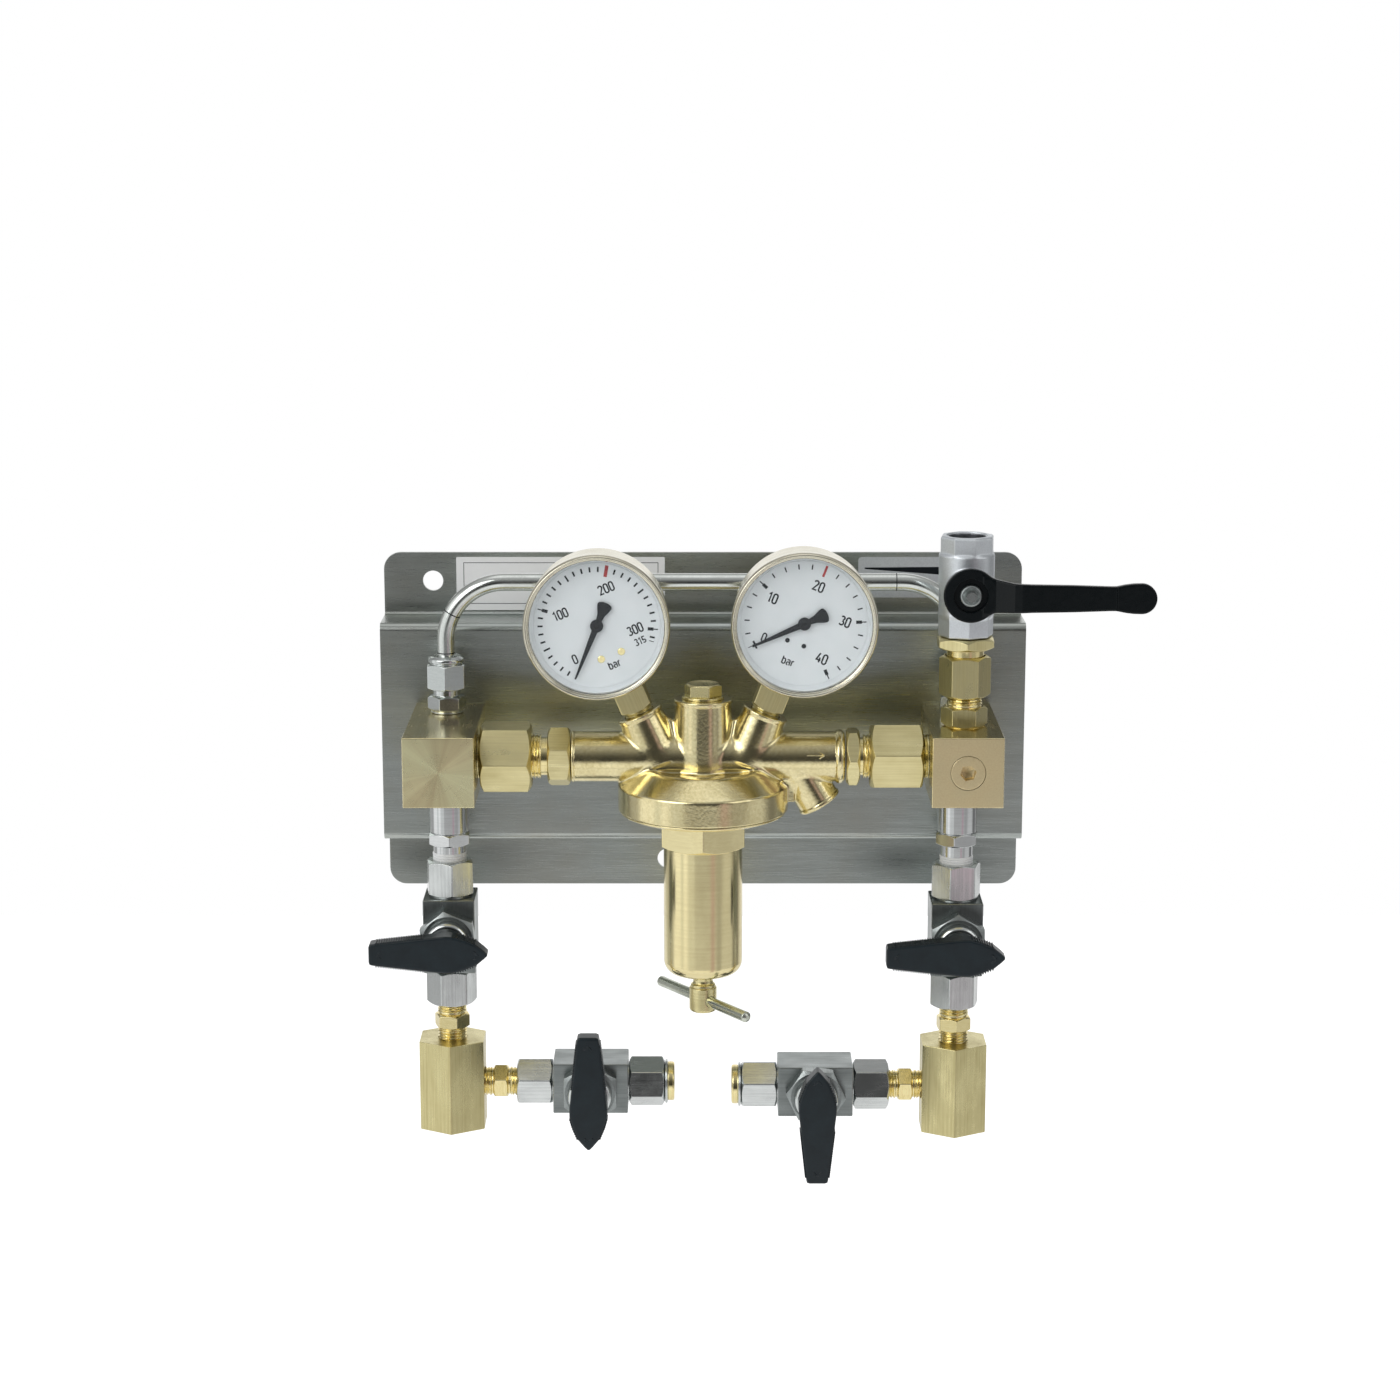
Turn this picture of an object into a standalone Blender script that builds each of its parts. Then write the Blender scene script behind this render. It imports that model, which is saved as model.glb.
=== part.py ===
"""Gas pressure regulating station on a folded wall plate, drawn in metres.

The origin lies on the wall, midway between the two upper mounting holes.
+X runs right, +Z up, and the front of the station faces -Y.
Depth, in the names below, is the distance in front of the wall.
"""

import math
from collections import namedtuple

import bmesh
import bpy
from mathutils import Matrix, Vector

# Clearances and facets
GAP = 0.0003            # between pieces that touch
TURNING_GAP = 0.0004    # round a shaft that turns in its bore
SIDES = 12              # facets round a common turned piece
SIDES_LARGE = 24        # facets round gauges and the regulator's flange
SIDES_SMALL = 8         # facets round small and hidden pieces

# Wall plate, a folded sheet with a raised panel
PLATE_WIDTH = 0.300
PLATE_THICKNESS = 0.002
PANEL_STEP = 0.027          # front of the panel
PLATE_TOP = 0.0135          # top edge above the upper holes
PANEL_TOP = -0.0160
PANEL_HEIGHT = 0.1035
LOWER_FLANGE_HEIGHT = 0.0290
BEND_RADIUS = 0.0025        # middle of the sheet
FLANGE_CORNER = 0.0080
HOLE_DIAMETER = 0.0095
HOLE_INSET = 0.0230         # upper holes from the plate's sides
HOLE_SPACING = PLATE_WIDTH - 2 * HOLE_INSET
LOWER_HOLE_X = -0.0170
LOWER_HOLE_DROP = 0.135

# Two manifold blocks and the drillings in them
BLOCK_WIDTH = 0.0320
BLOCK_LENGTH = 0.0750
BLOCK_SPACING = 0.2354      # between the blocks' middles
BLOCK_DROP = 0.0695         # regulator axis below the upper holes
BLOCK_EDGE = 0.0006
REAR_CHANNEL = 0.0195       # high-pressure drilling, in front of the panel
FRONT_CHANNEL = 0.0480      # regulator axis, in front of the panel
CHANNEL_BORE = 0.0060
PORT_DEPTH = 0.0120
PLUG_DIAMETER = 0.0155
PLUG_LENGTH = 0.0090
PLUG_SOCKET = 0.0060
SPIGOT_DIAMETER = 0.0200
SPIGOT_LENGTH = 0.0120

# Screwed fittings of the common small size
THREAD = 0.0132
THREAD_BORE = 0.0075
NIPPLE_FLATS = 0.0155
NIPPLE_HEX = 0.0068
NIPPLE_GRIP = 0.0095        # thread hidden in each port

# Bypass tube and its compression fittings
TUBE_DIAMETER = 0.0080
TUBE_WALL = 0.0012
TUBE_RISE = 0.0765          # top run above the regulator axis
TUBE_BEND = 0.0270
FITTING_FLATS = 0.0155
FITTING_HEX = 0.0065
FITTING_NECK = 0.0125
FITTING_SHOW = 0.0030
FITTING_COLLAR = 0.0150
FITTING_COLLAR_LENGTH = 0.0012
TUBE_NUT_FLATS = 0.0170
TUBE_NUT_LENGTH = 0.0155
TUBE_NUT_COLLAR = 0.0040

# Union joints on both sides of the regulator
UNION_FLATS = 0.0300
UNION_NUT_LENGTH = 0.0231
UNION_STAND_OFF = 0.0013    # slit between nut and block
UNION_THREAD = 0.0200
UNION_SHOW = 0.0042
UNION_NECK = 0.0167
UNION_NECK_SHOW = 0.0030
STUD_FLATS = 0.0245
STUD_GRIP = 0.0110
OUTLET_SHOW = 0.0054

# Regulator body, a brass forging
BODY_LEFT = 0.0595
BODY_RIGHT = 0.0638
PIPE_DIAMETER = 0.0227
PIPE_BORE = 0.0090
RIM_DIAMETER = 0.0245
RIM_WIDTH = 0.0045
CENTRE_BOSS = 0.0258
CENTRE_BOSS_FOOT = 0.0290
CENTRE_BOSS_RISE = 0.0275
GAUGE_BOSS = 0.0200
GAUGE_BOSS_FOOT = 0.0245
GAUGE_BOSS_REACH = 0.0238
GAUGE_BOSS_OFFSET = 0.0195
WEB_THICKNESS = 0.0130
PLATE_BOSS = 0.0550         # flat top of the flange
FLANGE_DIAMETER = 0.0770
FLANGE_DROP = 0.0025        # flange top below the pipe axis
CONE_HEIGHT = 0.0103
BAND_HEIGHT = 0.0087
SIDE_BOSS = 0.0180
SIDE_BOSS_X = 0.0414
SIDE_BOSS_REACH = 0.0224
SIDE_BOSS_TILT = 33.0
LUG_DIAMETER = 0.0070
LUG_X = 0.0380
LUG_HEIGHT = 0.0120
SEAT_BORE = 0.0050
POPPET_BORE = 0.0110
TOP_PLUG_FLATS = 0.0155
TOP_PLUG_HEX = 0.0075
TOP_PLUG_WASHER = 0.0190

# Spring bonnet, adjusting spindle and what they load
BONNET_LIP = 0.0010
BONNET_TAPER = 0.0030
BONNET_TAPER_END = 0.0680
BONNET_FLATS = 0.0375
BONNET_HEX = 0.0120
BONNET_DIAMETER = 0.0350
BONNET_LENGTH = 0.0620
BONNET_FILLET = 0.0060
BONNET_WALL = 0.0030
BONNET_FLOOR = 0.0110
BONNET_THREAD = 0.0700
BONNET_SKIRT = 0.0060       # threaded part inside the body
DIAPHRAGM_DIAMETER = 0.0640
DIAPHRAGM_THICKNESS = 0.0008
DIAPHRAGM_LIFT = 0.0010
DIAPHRAGM_PLATE = 0.0240
DIAPHRAGM_PLATE_HEIGHT = 0.0030
SPINDLE_DIAMETER = 0.0104
SPINDLE_SHOW = 0.0070
SPINDLE_HEAD = 0.0126
SPINDLE_HEAD_LENGTH = 0.0115
SPINDLE_INSIDE = 0.0030     # tip above the bonnet's floor
TOMMY_DIAMETER = 0.0050
TOMMY_LENGTH = 0.0700
TOMMY_ANGLE = -55.0
BUTTON_DIAMETER = 0.0260
BUTTON_THICKNESS = 0.0030
SPRING_WIRE = 0.0034
SPRING_DIAMETER = 0.0210    # middle of the wire
SPRING_COILS = 5.5

# Two dial gauges
GAUGE_REACH = 0.0702        # pipe axis to dial centre along the stem
GAUGE_BACK = 0.0660
GAUGE_DEPTH = 0.0320
RING_DEPTH = 0.0075
CASE_WALL = 0.0012
DIAL_DIAMETER = 0.0560
WINDOW_DIAMETER = DIAL_DIAMETER + 0.0040
CASE_DIAMETER = WINDOW_DIAMETER + 0.0030
RING_DIAMETER = CASE_DIAMETER + 0.0025
DIAL_THICKNESS = 0.0008
DIAL_RECESS = 0.0085        # dial face behind the front rim
WINDOW_THICKNESS = 0.0020
WINDOW_RECESS = 0.0020
POINTER_LENGTH = 0.0240
POINTER_TAIL = 0.0110
POINTER_HUB = 0.0056
POINTER_THICKNESS = 0.0008
POINTER_LIFT = 0.0012
ARBOR_DIAMETER = 0.0020
STEM_FLATS = 0.0140
STEM_NECK = 0.0100
STEM_NECK_LENGTH = 0.0045
INLET_GAUGE_TILT = 23.2
OUTLET_GAUGE_TILT = 21.2
ZERO_ANGLE = 45.0           # pointer's rest, left of straight down

# Outlet ball valve above the right block
OUTLET_NIPPLE_FLATS = 0.0190
OUTLET_NIPPLE_HEX = 0.0106
OUTLET_NIPPLE_NECK = 0.0170
OUTLET_NECK_SHOW = 0.0043
VALVE_NUT_FLATS = 0.0225
VALVE_NUT_LENGTH = 0.0195
REDUCER_NECK = 0.0180
REDUCER_NECK_SHOW = 0.0024
REDUCER_FLATS = 0.0235
REDUCER_HEX = 0.0038
CAST_FLATS = 0.0225
CAST_FOOT = 0.0105
CAST_BARREL = 0.0250
CAST_BARREL_LENGTH = 0.0260
BALL_SHARE = 0.45           # height of the ball in the barrel
CAST_HEAD = 0.0090
CAST_PORT = 0.0165
CAST_BORE = 0.0100
OUTLET_BALL = 0.0160
OUTLET_STEM = 0.0080
STEM_BOSS = 0.0150
STEM_BOSS_LENGTH = 0.0090
LEVER_HUB = 0.0240
LEVER_THICKNESS = 0.0035
LEVER_CUP = 0.0150
LEVER_LENGTH = 0.0808
LEVER_CRANK = 0.0075
LEVER_ROOT_WIDTH = 0.0135
LEVER_WAIST_WIDTH = 0.0110
LEVER_PAD_LENGTH = 0.0180

# Check valves under both blocks
CHECK_BARREL = 0.0183
CHECK_BARREL_LENGTH = 0.0241
CHECK_FLATS = 0.0185
CHECK_HEX = 0.0062
CHECK_NECK_SHOW = 0.0070
CHECK_CHAMBER = 0.0100
POPPET_LENGTH = 0.0080
CHECK_SEAT = 0.0050
CHECK_FOOT = 0.0060         # seat above the barrel's lower end

# Small ball valves, two upright and two level
SMALL_VALVE_SIDE = 0.0240
SMALL_VALVE_LENGTH = 0.0350
SMALL_VALVE_EDGE = 0.0008
CONNECTOR_FLATS = 0.0205
CONNECTOR_LENGTH = 0.0166
CONNECTOR_GROOVE = 0.0006
GLAND_NUT_FLATS = 0.0245
GLAND_NUT_LENGTH = 0.0075
GLAND_DIAMETER = 0.0200
GLAND_LENGTH = 0.0060
SMALL_BALL = 0.0140
BALL_CLEARANCE = 0.0008
SMALL_BORE = 0.0070
SMALL_STEM = 0.0080
HANDLE_TAIL = 0.0344
HANDLE_TIP = 0.0195
HANDLE_WIDTH = 0.0176
HANDLE_END_WIDTH = 0.0098
HANDLE_THICKNESS = 0.0090
HANDLE_HUB_LENGTH = 0.0070
RIGHT_COLUMN_DROP = 0.0016  # less thread is screwed in on the right
COLUMN_GAP = 0.0171         # bare stretch between valve and tee

# Tees and level vent valves
TEE_FLATS = 0.0300
TEE_LENGTH = 0.0429
TEE_PORT_DROP = 0.0220
TEE_SOCKET = 0.0165
TEE_SOCKET_DEPTH = 0.0160
VENT_GAP = 0.0153           # bare stretch between tee and vent valve
VENT_END_DIAMETER = 0.0190
VENT_END_LENGTH = 0.0046
VENT_BORE = 0.0115

# Places worked out from the sizes above
AXIS_Z = -BLOCK_DROP
COLUMN_X = BLOCK_SPACING / 2
REAR_DEPTH = PANEL_STEP + REAR_CHANNEL
FRONT_DEPTH = PANEL_STEP + FRONT_CHANNEL
BLOCK_BACK = PANEL_STEP + GAP
BLOCK_FRONT = BLOCK_BACK + BLOCK_LENGTH
BLOCK_TOP = AXIS_Z + BLOCK_WIDTH / 2
BLOCK_BOTTOM = AXIS_Z - BLOCK_WIDTH / 2
BLOCK_INNER_X = COLUMN_X - BLOCK_WIDTH / 2
SIDE_NAMES = {-1: "left", 1: "right"}

# Blender's Z axis turned to +X, or to the front
TO_RIGHT = Matrix.Rotation(math.radians(90), 4, "Y")
TO_FRONT = Matrix.Rotation(math.radians(90), 4, "X")

# Directions of a hexagon's corner, about the turned axis
CORNER_FRONT = math.radians(-90)
CYLINDER_START = math.radians(-83)
SQUARE_CORNER = math.radians(45)

# Colours, roughness and metallic values
MATERIALS = {
    "stainless": ((0.42, 0.43, 0.41), 0.36, 1.0),
    "brass": ((0.66, 0.57, 0.33), 0.34, 1.0),
    "bright_brass": ((0.86, 0.68, 0.30), 0.22, 1.0),
    "forged_brass": ((0.72, 0.60, 0.30), 0.28, 1.0),
    "bright_steel": ((0.62, 0.63, 0.63), 0.22, 1.0),
    "satin_steel": ((0.52, 0.54, 0.54), 0.42, 1.0),
    "cast_zinc": ((0.63, 0.65, 0.67), 0.45, 0.8),
    "chrome": ((0.80, 0.80, 0.82), 0.08, 1.0),
    "gauge_case": ((0.74, 0.69, 0.52), 0.30, 1.0),
    "dial_white": ((0.86, 0.87, 0.86), 0.50, 0.0),
    "clear": ((0.90, 0.95, 0.95), 0.05, 0.0),
    "black_plastic": ((0.02, 0.025, 0.03), 0.45, 0.0),
    "black_paint": ((0.015, 0.02, 0.025), 0.40, 0.0),
    "spring_steel": ((0.35, 0.36, 0.38), 0.35, 1.0),
    "rubber": ((0.03, 0.03, 0.03), 0.70, 0.0),
}

# A turned ring: a circle, or a polygon whose corners the circle may cut
Ring = namedtuple("Ring", "height diameter flats faces corner", defaults=(None, 6, None))


def clear_scene():
    for old in list(bpy.data.objects):
        bpy.data.objects.remove(old)


def material(name):
    found = bpy.data.materials.get(name)
    if found:
        return found
    colour, roughness, metallic = MATERIALS[name]
    made = bpy.data.materials.new(name)
    made.use_nodes = True
    shader = made.node_tree.nodes["Principled BSDF"]
    shader.inputs["Base Color"].default_value = (*colour, 1.0)
    shader.inputs["Roughness"].default_value = roughness
    shader.inputs["Metallic"].default_value = metallic
    return made


def finish(shape, name, surface=None, place=Matrix()):
    """Turns a bmesh into a named object. Without a surface it is a hidden tool."""
    bmesh.ops.remove_doubles(shape, verts=shape.verts, dist=1e-7)
    bmesh.ops.recalc_face_normals(shape, faces=shape.faces)
    mesh = bpy.data.meshes.new(name)
    shape.to_mesh(mesh)
    shape.free()
    made = bpy.data.objects.new(name, mesh)
    made.matrix_world = place
    bpy.context.scene.collection.objects.link(made)
    if surface:
        mesh.shade_smooth()
        mesh.set_sharp_from_angle(angle=math.radians(32))
        mesh.materials.append(material(surface))
    else:
        made.hide_render = True
        made.display_type = "WIRE"
    return made


def combine(target, tools, operation="DIFFERENCE"):
    """Joins hidden tools to a piece, or cuts them from it."""
    for tool in tools:
        boolean = target.modifiers.new(tool.name, "BOOLEAN")
        boolean.operation = operation
        boolean.object = tool
        boolean.solver = "EXACT"
    return target


def at(x, depth, z):
    """Place of an object whose axis stays upright."""
    return Matrix.Translation((x, -depth, z))


def ring_radius(ring, angle, start):
    radius = ring.diameter / 2
    if ring.flats is None:
        return radius
    corner = start if ring.corner is None else ring.corner
    half_face = math.pi / ring.faces
    from_middle = (angle - corner) % (2 * half_face) - half_face
    return min(radius, ring.flats / 2 / math.cos(from_middle))


def turned(rings, sides=SIDES, start=CORNER_FRONT, loop=False):
    """A body turned about Z through its rings, with flat ends, or closed on itself round a bore."""
    shape = bmesh.new()
    angles = [start + 2 * math.pi * step / sides for step in range(sides)]
    rows = []
    for ring in rings:
        row = []
        for angle in angles:
            radius = ring_radius(ring, angle, start)
            row.append(shape.verts.new((radius * math.cos(angle), radius * math.sin(angle), ring.height)))
        rows.append(row)
    pairs = list(zip(rows, rows[1:]))
    if loop:
        pairs.append((rows[-1], rows[0]))
    else:
        shape.faces.new(rows[0])
        shape.faces.new(rows[-1])
    for row, after in pairs:
        for step in range(sides):
            following = (step + 1) % sides
            shape.faces.new((row[step], row[following], after[following], after[step]))
    return shape


def cylinder(low, high, diameter, sides=SIDES_SMALL):
    """A plain cylinder; its facets start off the symmetry planes, so crossing bores meet cleanly."""
    return turned([Ring(low, diameter), Ring(high, diameter)], sides, CYLINDER_START)


def port(low, high, diameter, sides=SIDES, start=CORNER_FRONT):
    """A bore whose facets follow those of the piece that it takes."""
    return turned([Ring(low, diameter), Ring(high, diameter)], sides, start)


def hexagon(low, high, flats, chamfer=False, faces=6, corner=None):
    """Rings of a nut's outside, from low to high, with or without its corners turned off at the ends."""
    corners = flats / math.cos(math.pi / faces) * 1.01
    rings = [Ring(low, corners, flats, faces, corner), Ring(high, corners, flats, faces, corner)]
    if chamfer:
        cut = math.copysign((corners - flats) / 2 * math.tan(math.radians(30)), high - low)
        rings = [
            Ring(low, flats * 0.985, flats, faces, corner),
            Ring(low + cut, corners, flats, faces, corner),
            Ring(high - cut, corners, flats, faces, corner),
            Ring(high, flats * 0.985, flats, faces, corner),
        ]
    return rings


def prism(outline, low, high):
    """A flat outline in X and Y, extruded from low to high along Z."""
    shape = bmesh.new()
    face = shape.faces.new([shape.verts.new((x, y, low)) for x, y in outline])
    moved = bmesh.ops.extrude_face_region(shape, geom=[face])["geom"]
    corners = [item for item in moved if isinstance(item, bmesh.types.BMVert)]
    bmesh.ops.translate(shape, verts=corners, vec=(0, 0, high - low))
    return shape


def box(low, high):
    """A box between two corners given as x, depth, z."""
    shape = bmesh.new()
    size = [abs(high[0] - low[0]), abs(high[1] - low[1]), abs(high[2] - low[2])]
    middle = ((low[0] + high[0]) / 2, -(low[1] + high[1]) / 2, (low[2] + high[2]) / 2)
    bmesh.ops.create_cube(shape, size=1.0, matrix=Matrix.Translation(middle) @ Matrix.Diagonal((*size, 1)))
    return shape


def soften(shape, width, segments=1, edges=None):
    """Rounds or chamfers a bmesh's edges."""
    chosen = list(edges if edges is not None else shape.edges)
    bmesh.ops.bevel(shape, geom=chosen, offset=width, segments=segments, affect="EDGES", profile=0.5)
    return shape


def sweep(path, frames, diameter, bore=None, sides=SIDES_SMALL, phase=0.0):
    """A round bar along a path, or a tube with open ends. Each frame gives the section's two directions."""
    shape = bmesh.new()

    def skin(width):
        rows = []
        for point, (across, up) in zip(path, frames):
            row = []
            for step in range(sides):
                angle = phase + 2 * math.pi * step / sides
                offset = across * math.cos(angle) + up * math.sin(angle)
                row.append(shape.verts.new(point + offset * (width / 2)))
            rows.append(row)
        for row, after in zip(rows, rows[1:]):
            for step in range(sides):
                following = (step + 1) % sides
                shape.faces.new((row[step], row[following], after[following], after[step]))
        return rows

    outer = skin(diameter)
    if bore is None:
        shape.faces.new(outer[0])
        shape.faces.new(outer[-1])
        return shape
    inner = skin(bore)
    for row, lining in ((outer[0], inner[0]), (outer[-1], inner[-1])):
        for step in range(sides):
            following = (step + 1) % sides
            shape.faces.new((row[step], row[following], lining[following], lining[step]))
    return shape


def arc(centre, radius, first, last, steps):
    """Points of an arc in a plane, with angles in degrees."""
    points = []
    for step in range(steps + 1):
        angle = math.radians(first + (last - first) * step / steps)
        points.append((centre[0] + radius * math.cos(angle), centre[1] + radius * math.sin(angle)))
    return points


def back_plate():
    """Folded sheet: two flanges on the wall and a panel that stands clear of it."""
    half = PLATE_THICKNESS / 2
    top_web = PANEL_TOP - half
    low_web = PANEL_TOP - PANEL_HEIGHT + half
    foot = low_web - LOWER_FLANGE_HEIGHT
    wall_line = half
    front_line = PANEL_STEP - half
    bend = BEND_RADIUS

    def side(offset):
        """One face of the sheet, as depth and height, offset from the sheet's middle towards the front."""
        outer = bend + offset
        inner = bend - offset
        points = [(wall_line + offset, PLATE_TOP)]
        points += arc((wall_line + bend, top_web + bend), inner, 180, 270, 3)
        points += arc((front_line - bend, top_web - bend), outer, 90, 0, 3)
        points += arc((front_line - bend, low_web + bend), outer, 0, -90, 3)
        points += arc((wall_line + bend, low_web - bend), inner, 90, 180, 3)
        points.append((wall_line + offset, foot))
        return points

    outline = side(half) + side(-half)[::-1]
    sheet = prism([(-depth, height) for depth, height in outline], -PLATE_WIDTH / 2, PLATE_WIDTH / 2)
    upright = Matrix(((0, 0, 1, 0), (1, 0, 0, 0), (0, 1, 0, 0), (0, 0, 0, 1)))
    bmesh.ops.transform(sheet, matrix=upright, verts=sheet.verts)
    plate = finish(sheet, "back_plate", "stainless")

    depth = 3 * PLATE_THICKNESS
    holes = [(-HOLE_SPACING / 2, 0.0), (HOLE_SPACING / 2, 0.0), (LOWER_HOLE_X, -LOWER_HOLE_DROP)]
    cutters = []
    for number, (x, z) in enumerate(holes):
        drill = port(-depth, depth, HOLE_DIAMETER)
        cutters.append(finish(drill, f"plate_drill_{number}", place=Matrix.Translation((x, 0, z)) @ TO_FRONT))
    for corner_x in (-1, 1):
        for corner_z, edge in ((1, PLATE_TOP), (-1, foot)):
            cutters.append(corner_cutter(corner_x, corner_z, edge, depth))
    return combine(plate, cutters)


def corner_cutter(side_x, side_z, edge, depth):
    """What lies outside a rounded corner of a flange."""
    beyond = FLANGE_CORNER * 0.25
    outline = [(beyond, beyond), (-FLANGE_CORNER, beyond)]
    outline += arc((-FLANGE_CORNER, -FLANGE_CORNER), FLANGE_CORNER, 90, 0, 6)
    outline.append((beyond, -FLANGE_CORNER))
    outline = [(side_x * x, side_z * y) for x, y in outline]
    shape = prism(outline, -depth, depth)
    place = Matrix.Translation((side_x * PLATE_WIDTH / 2, 0, edge)) @ TO_FRONT
    return finish(shape, f"corner_cutter_{side_x}_{side_z}", place=place)


def manifold_block(side):
    """Brass bar with its drillings and a threaded spigot towards the regulator."""
    name = SIDE_NAMES[side]
    x = side * COLUMN_X
    low = (x - BLOCK_WIDTH / 2, BLOCK_BACK, BLOCK_BOTTOM)
    high = (x + BLOCK_WIDTH / 2, BLOCK_FRONT, BLOCK_TOP)
    bar = soften(box(low, high), BLOCK_EDGE)
    block = finish(bar, f"manifold_block_{name}", "brass")

    inner = -side
    face = side * BLOCK_INNER_X
    spigot = turned(
        [
            Ring(face - inner * PORT_DEPTH, SPIGOT_DIAMETER),
            Ring(face + inner * SPIGOT_LENGTH, SPIGOT_DIAMETER),
        ]
    )
    spigot_place = Matrix.Translation((0, -FRONT_DEPTH, AXIS_Z)) @ TO_RIGHT
    combine(block, [finish(spigot, f"spigot_{name}", place=spigot_place)], "UNION")

    thread = THREAD + 2 * GAP
    high_end = BLOCK_TOP + GAP
    low_end = BLOCK_BOTTOM - GAP
    high_port = BLOCK_TOP - PORT_DEPTH
    rear = at(x, REAR_DEPTH, 0)
    front = at(x, FRONT_DEPTH, 0)
    level = Matrix.Translation((x, 0, AXIS_Z)) @ TO_FRONT
    cross = cylinder(x, face + inner * (SPIGOT_LENGTH + GAP), PIPE_BORE)
    cutters = [
        finish(cross, f"cross_bore_{name}", place=spigot_place),
        finish(cylinder(low_end, high_end, CHANNEL_BORE), f"rear_bore_{name}", place=rear),
        finish(port(low_end, BLOCK_BOTTOM + PORT_DEPTH, thread), f"check_port_{name}", place=rear),
        finish(port(high_port, high_end, thread), f"tube_port_{name}", place=rear),
    ]
    if side < 0:
        cutters.append(finish(cylinder(REAR_DEPTH, FRONT_DEPTH, CHANNEL_BORE), "long_bore", place=level))
    else:
        nipple_port = OUTLET_NIPPLE_NECK + 2 * GAP
        recess = port(BLOCK_FRONT - PLUG_LENGTH - GAP, BLOCK_FRONT + GAP, PLUG_DIAMETER + 2 * GAP)
        cutters += [
            finish(cylinder(AXIS_Z, high_end, PIPE_BORE), "outlet_bore", place=front),
            finish(port(high_port, high_end, nipple_port), "outlet_port", place=front),
            finish(recess, "plug_recess", place=level),
            finish(cylinder(FRONT_DEPTH, BLOCK_FRONT, CHANNEL_BORE), "plug_bore", place=level),
        ]
    return combine(block, cutters)


def block_screw_plug():
    """Plug with a hexagon socket, flush with the right block's front."""
    floor = BLOCK_FRONT - PLUG_LENGTH / 2
    socket_corners = PLUG_SOCKET / math.cos(math.radians(30))
    rings = [
        Ring(floor, socket_corners, PLUG_SOCKET),
        Ring(BLOCK_FRONT, socket_corners, PLUG_SOCKET),
        Ring(BLOCK_FRONT, PLUG_DIAMETER - 2 * BLOCK_EDGE),
        Ring(BLOCK_FRONT - BLOCK_EDGE, PLUG_DIAMETER),
        Ring(BLOCK_FRONT - PLUG_LENGTH, PLUG_DIAMETER),
    ]
    place = Matrix.Translation((COLUMN_X, 0, AXIS_Z)) @ TO_FRONT
    return finish(turned(rings), "block_screw_plug", "brass", place)


# Heights in the tube fittings above both blocks
FITTING_FOOT = BLOCK_TOP + GAP + FITTING_COLLAR_LENGTH
FITTING_TOP = FITTING_FOOT + FITTING_HEX
TUBE_NUT_LOW = FITTING_TOP + FITTING_SHOW
TUBE_NUT_TOP = TUBE_NUT_LOW + TUBE_NUT_LENGTH
TUBE_END = FITTING_TOP + FITTING_SHOW / 2


def tube_fitting(side):
    """Body of a compression fitting: a thread in the block, a hexagon and a neck in the nut."""
    tube_seat = TUBE_DIAMETER + 2 * GAP
    neck_top = TUBE_NUT_LOW + TUBE_NUT_LENGTH / 2
    bottom = BLOCK_TOP - NIPPLE_GRIP
    rings = [Ring(bottom, THREAD), Ring(BLOCK_TOP + GAP, THREAD)]
    rings += [Ring(BLOCK_TOP + GAP, FITTING_COLLAR), Ring(FITTING_FOOT, FITTING_COLLAR)]
    rings += hexagon(FITTING_FOOT, FITTING_TOP, FITTING_FLATS)
    rings += [Ring(FITTING_TOP, FITTING_NECK), Ring(neck_top, FITTING_NECK), Ring(neck_top, tube_seat)]
    rings += [Ring(TUBE_END - GAP, tube_seat), Ring(TUBE_END - GAP, CHANNEL_BORE), Ring(bottom, CHANNEL_BORE)]
    place = at(side * COLUMN_X, REAR_DEPTH, 0)
    return finish(turned(rings, loop=True), f"tube_fitting_{SIDE_NAMES[side]}", "bright_steel", place)


def tube_nut(side):
    """Nut of a compression fitting, a hexagon under a round collar."""
    neck = FITTING_NECK + 2 * GAP
    tube = TUBE_DIAMETER + 2 * GAP
    collar_low = TUBE_NUT_TOP - TUBE_NUT_COLLAR
    neck_end = TUBE_NUT_LOW + TUBE_NUT_LENGTH / 2 + GAP
    rings = hexagon(TUBE_NUT_LOW, collar_low, TUBE_NUT_FLATS)
    rings += [
        Ring(collar_low + GAP, TUBE_NUT_FLATS * 0.95),
        Ring(TUBE_NUT_TOP - 2 * GAP, TUBE_NUT_FLATS * 0.95),
        Ring(TUBE_NUT_TOP, TUBE_NUT_FLATS * 0.86),
        Ring(TUBE_NUT_TOP, tube),
        Ring(neck_end, tube),
        Ring(neck_end, neck),
        Ring(TUBE_NUT_LOW, neck),
    ]
    place = at(side * COLUMN_X, REAR_DEPTH, 0)
    return finish(turned(rings, loop=True), f"tube_nut_{SIDE_NAMES[side]}", "bright_steel", place)


def bypass_tube():
    """Tube that carries high pressure from the right block to the left one, over the gauges."""
    top = AXIS_Z + TUBE_RISE
    bend = TUBE_BEND
    route = [(-COLUMN_X, TUBE_END)]
    route += arc((-COLUMN_X + bend, top - bend), bend, 180, 90, 6)
    route += arc((COLUMN_X - bend, top - bend), bend, 90, 0, 6)
    route.append((COLUMN_X, TUBE_END))
    path = [Vector((x, 0, z)) for x, z in route]
    frames = []
    for number in range(len(path)):
        before = path[max(number - 1, 0)]
        after = path[min(number + 1, len(path) - 1)]
        along = (after - before).normalized()
        if number in (0, len(path) - 1):
            along = Vector((0, 0, 1 if number == 0 else -1))
        frames.append((Vector((0, 1, 0)), along.cross(Vector((0, 1, 0)))))
    shape = sweep(path, frames, TUBE_DIAMETER, TUBE_DIAMETER - 2 * TUBE_WALL)
    return finish(shape, "bypass_tube", "bright_steel", at(0, REAR_DEPTH, 0))


def regulator_axis():
    return Matrix.Translation((0, -FRONT_DEPTH, AXIS_Z)) @ TO_RIGHT


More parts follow.
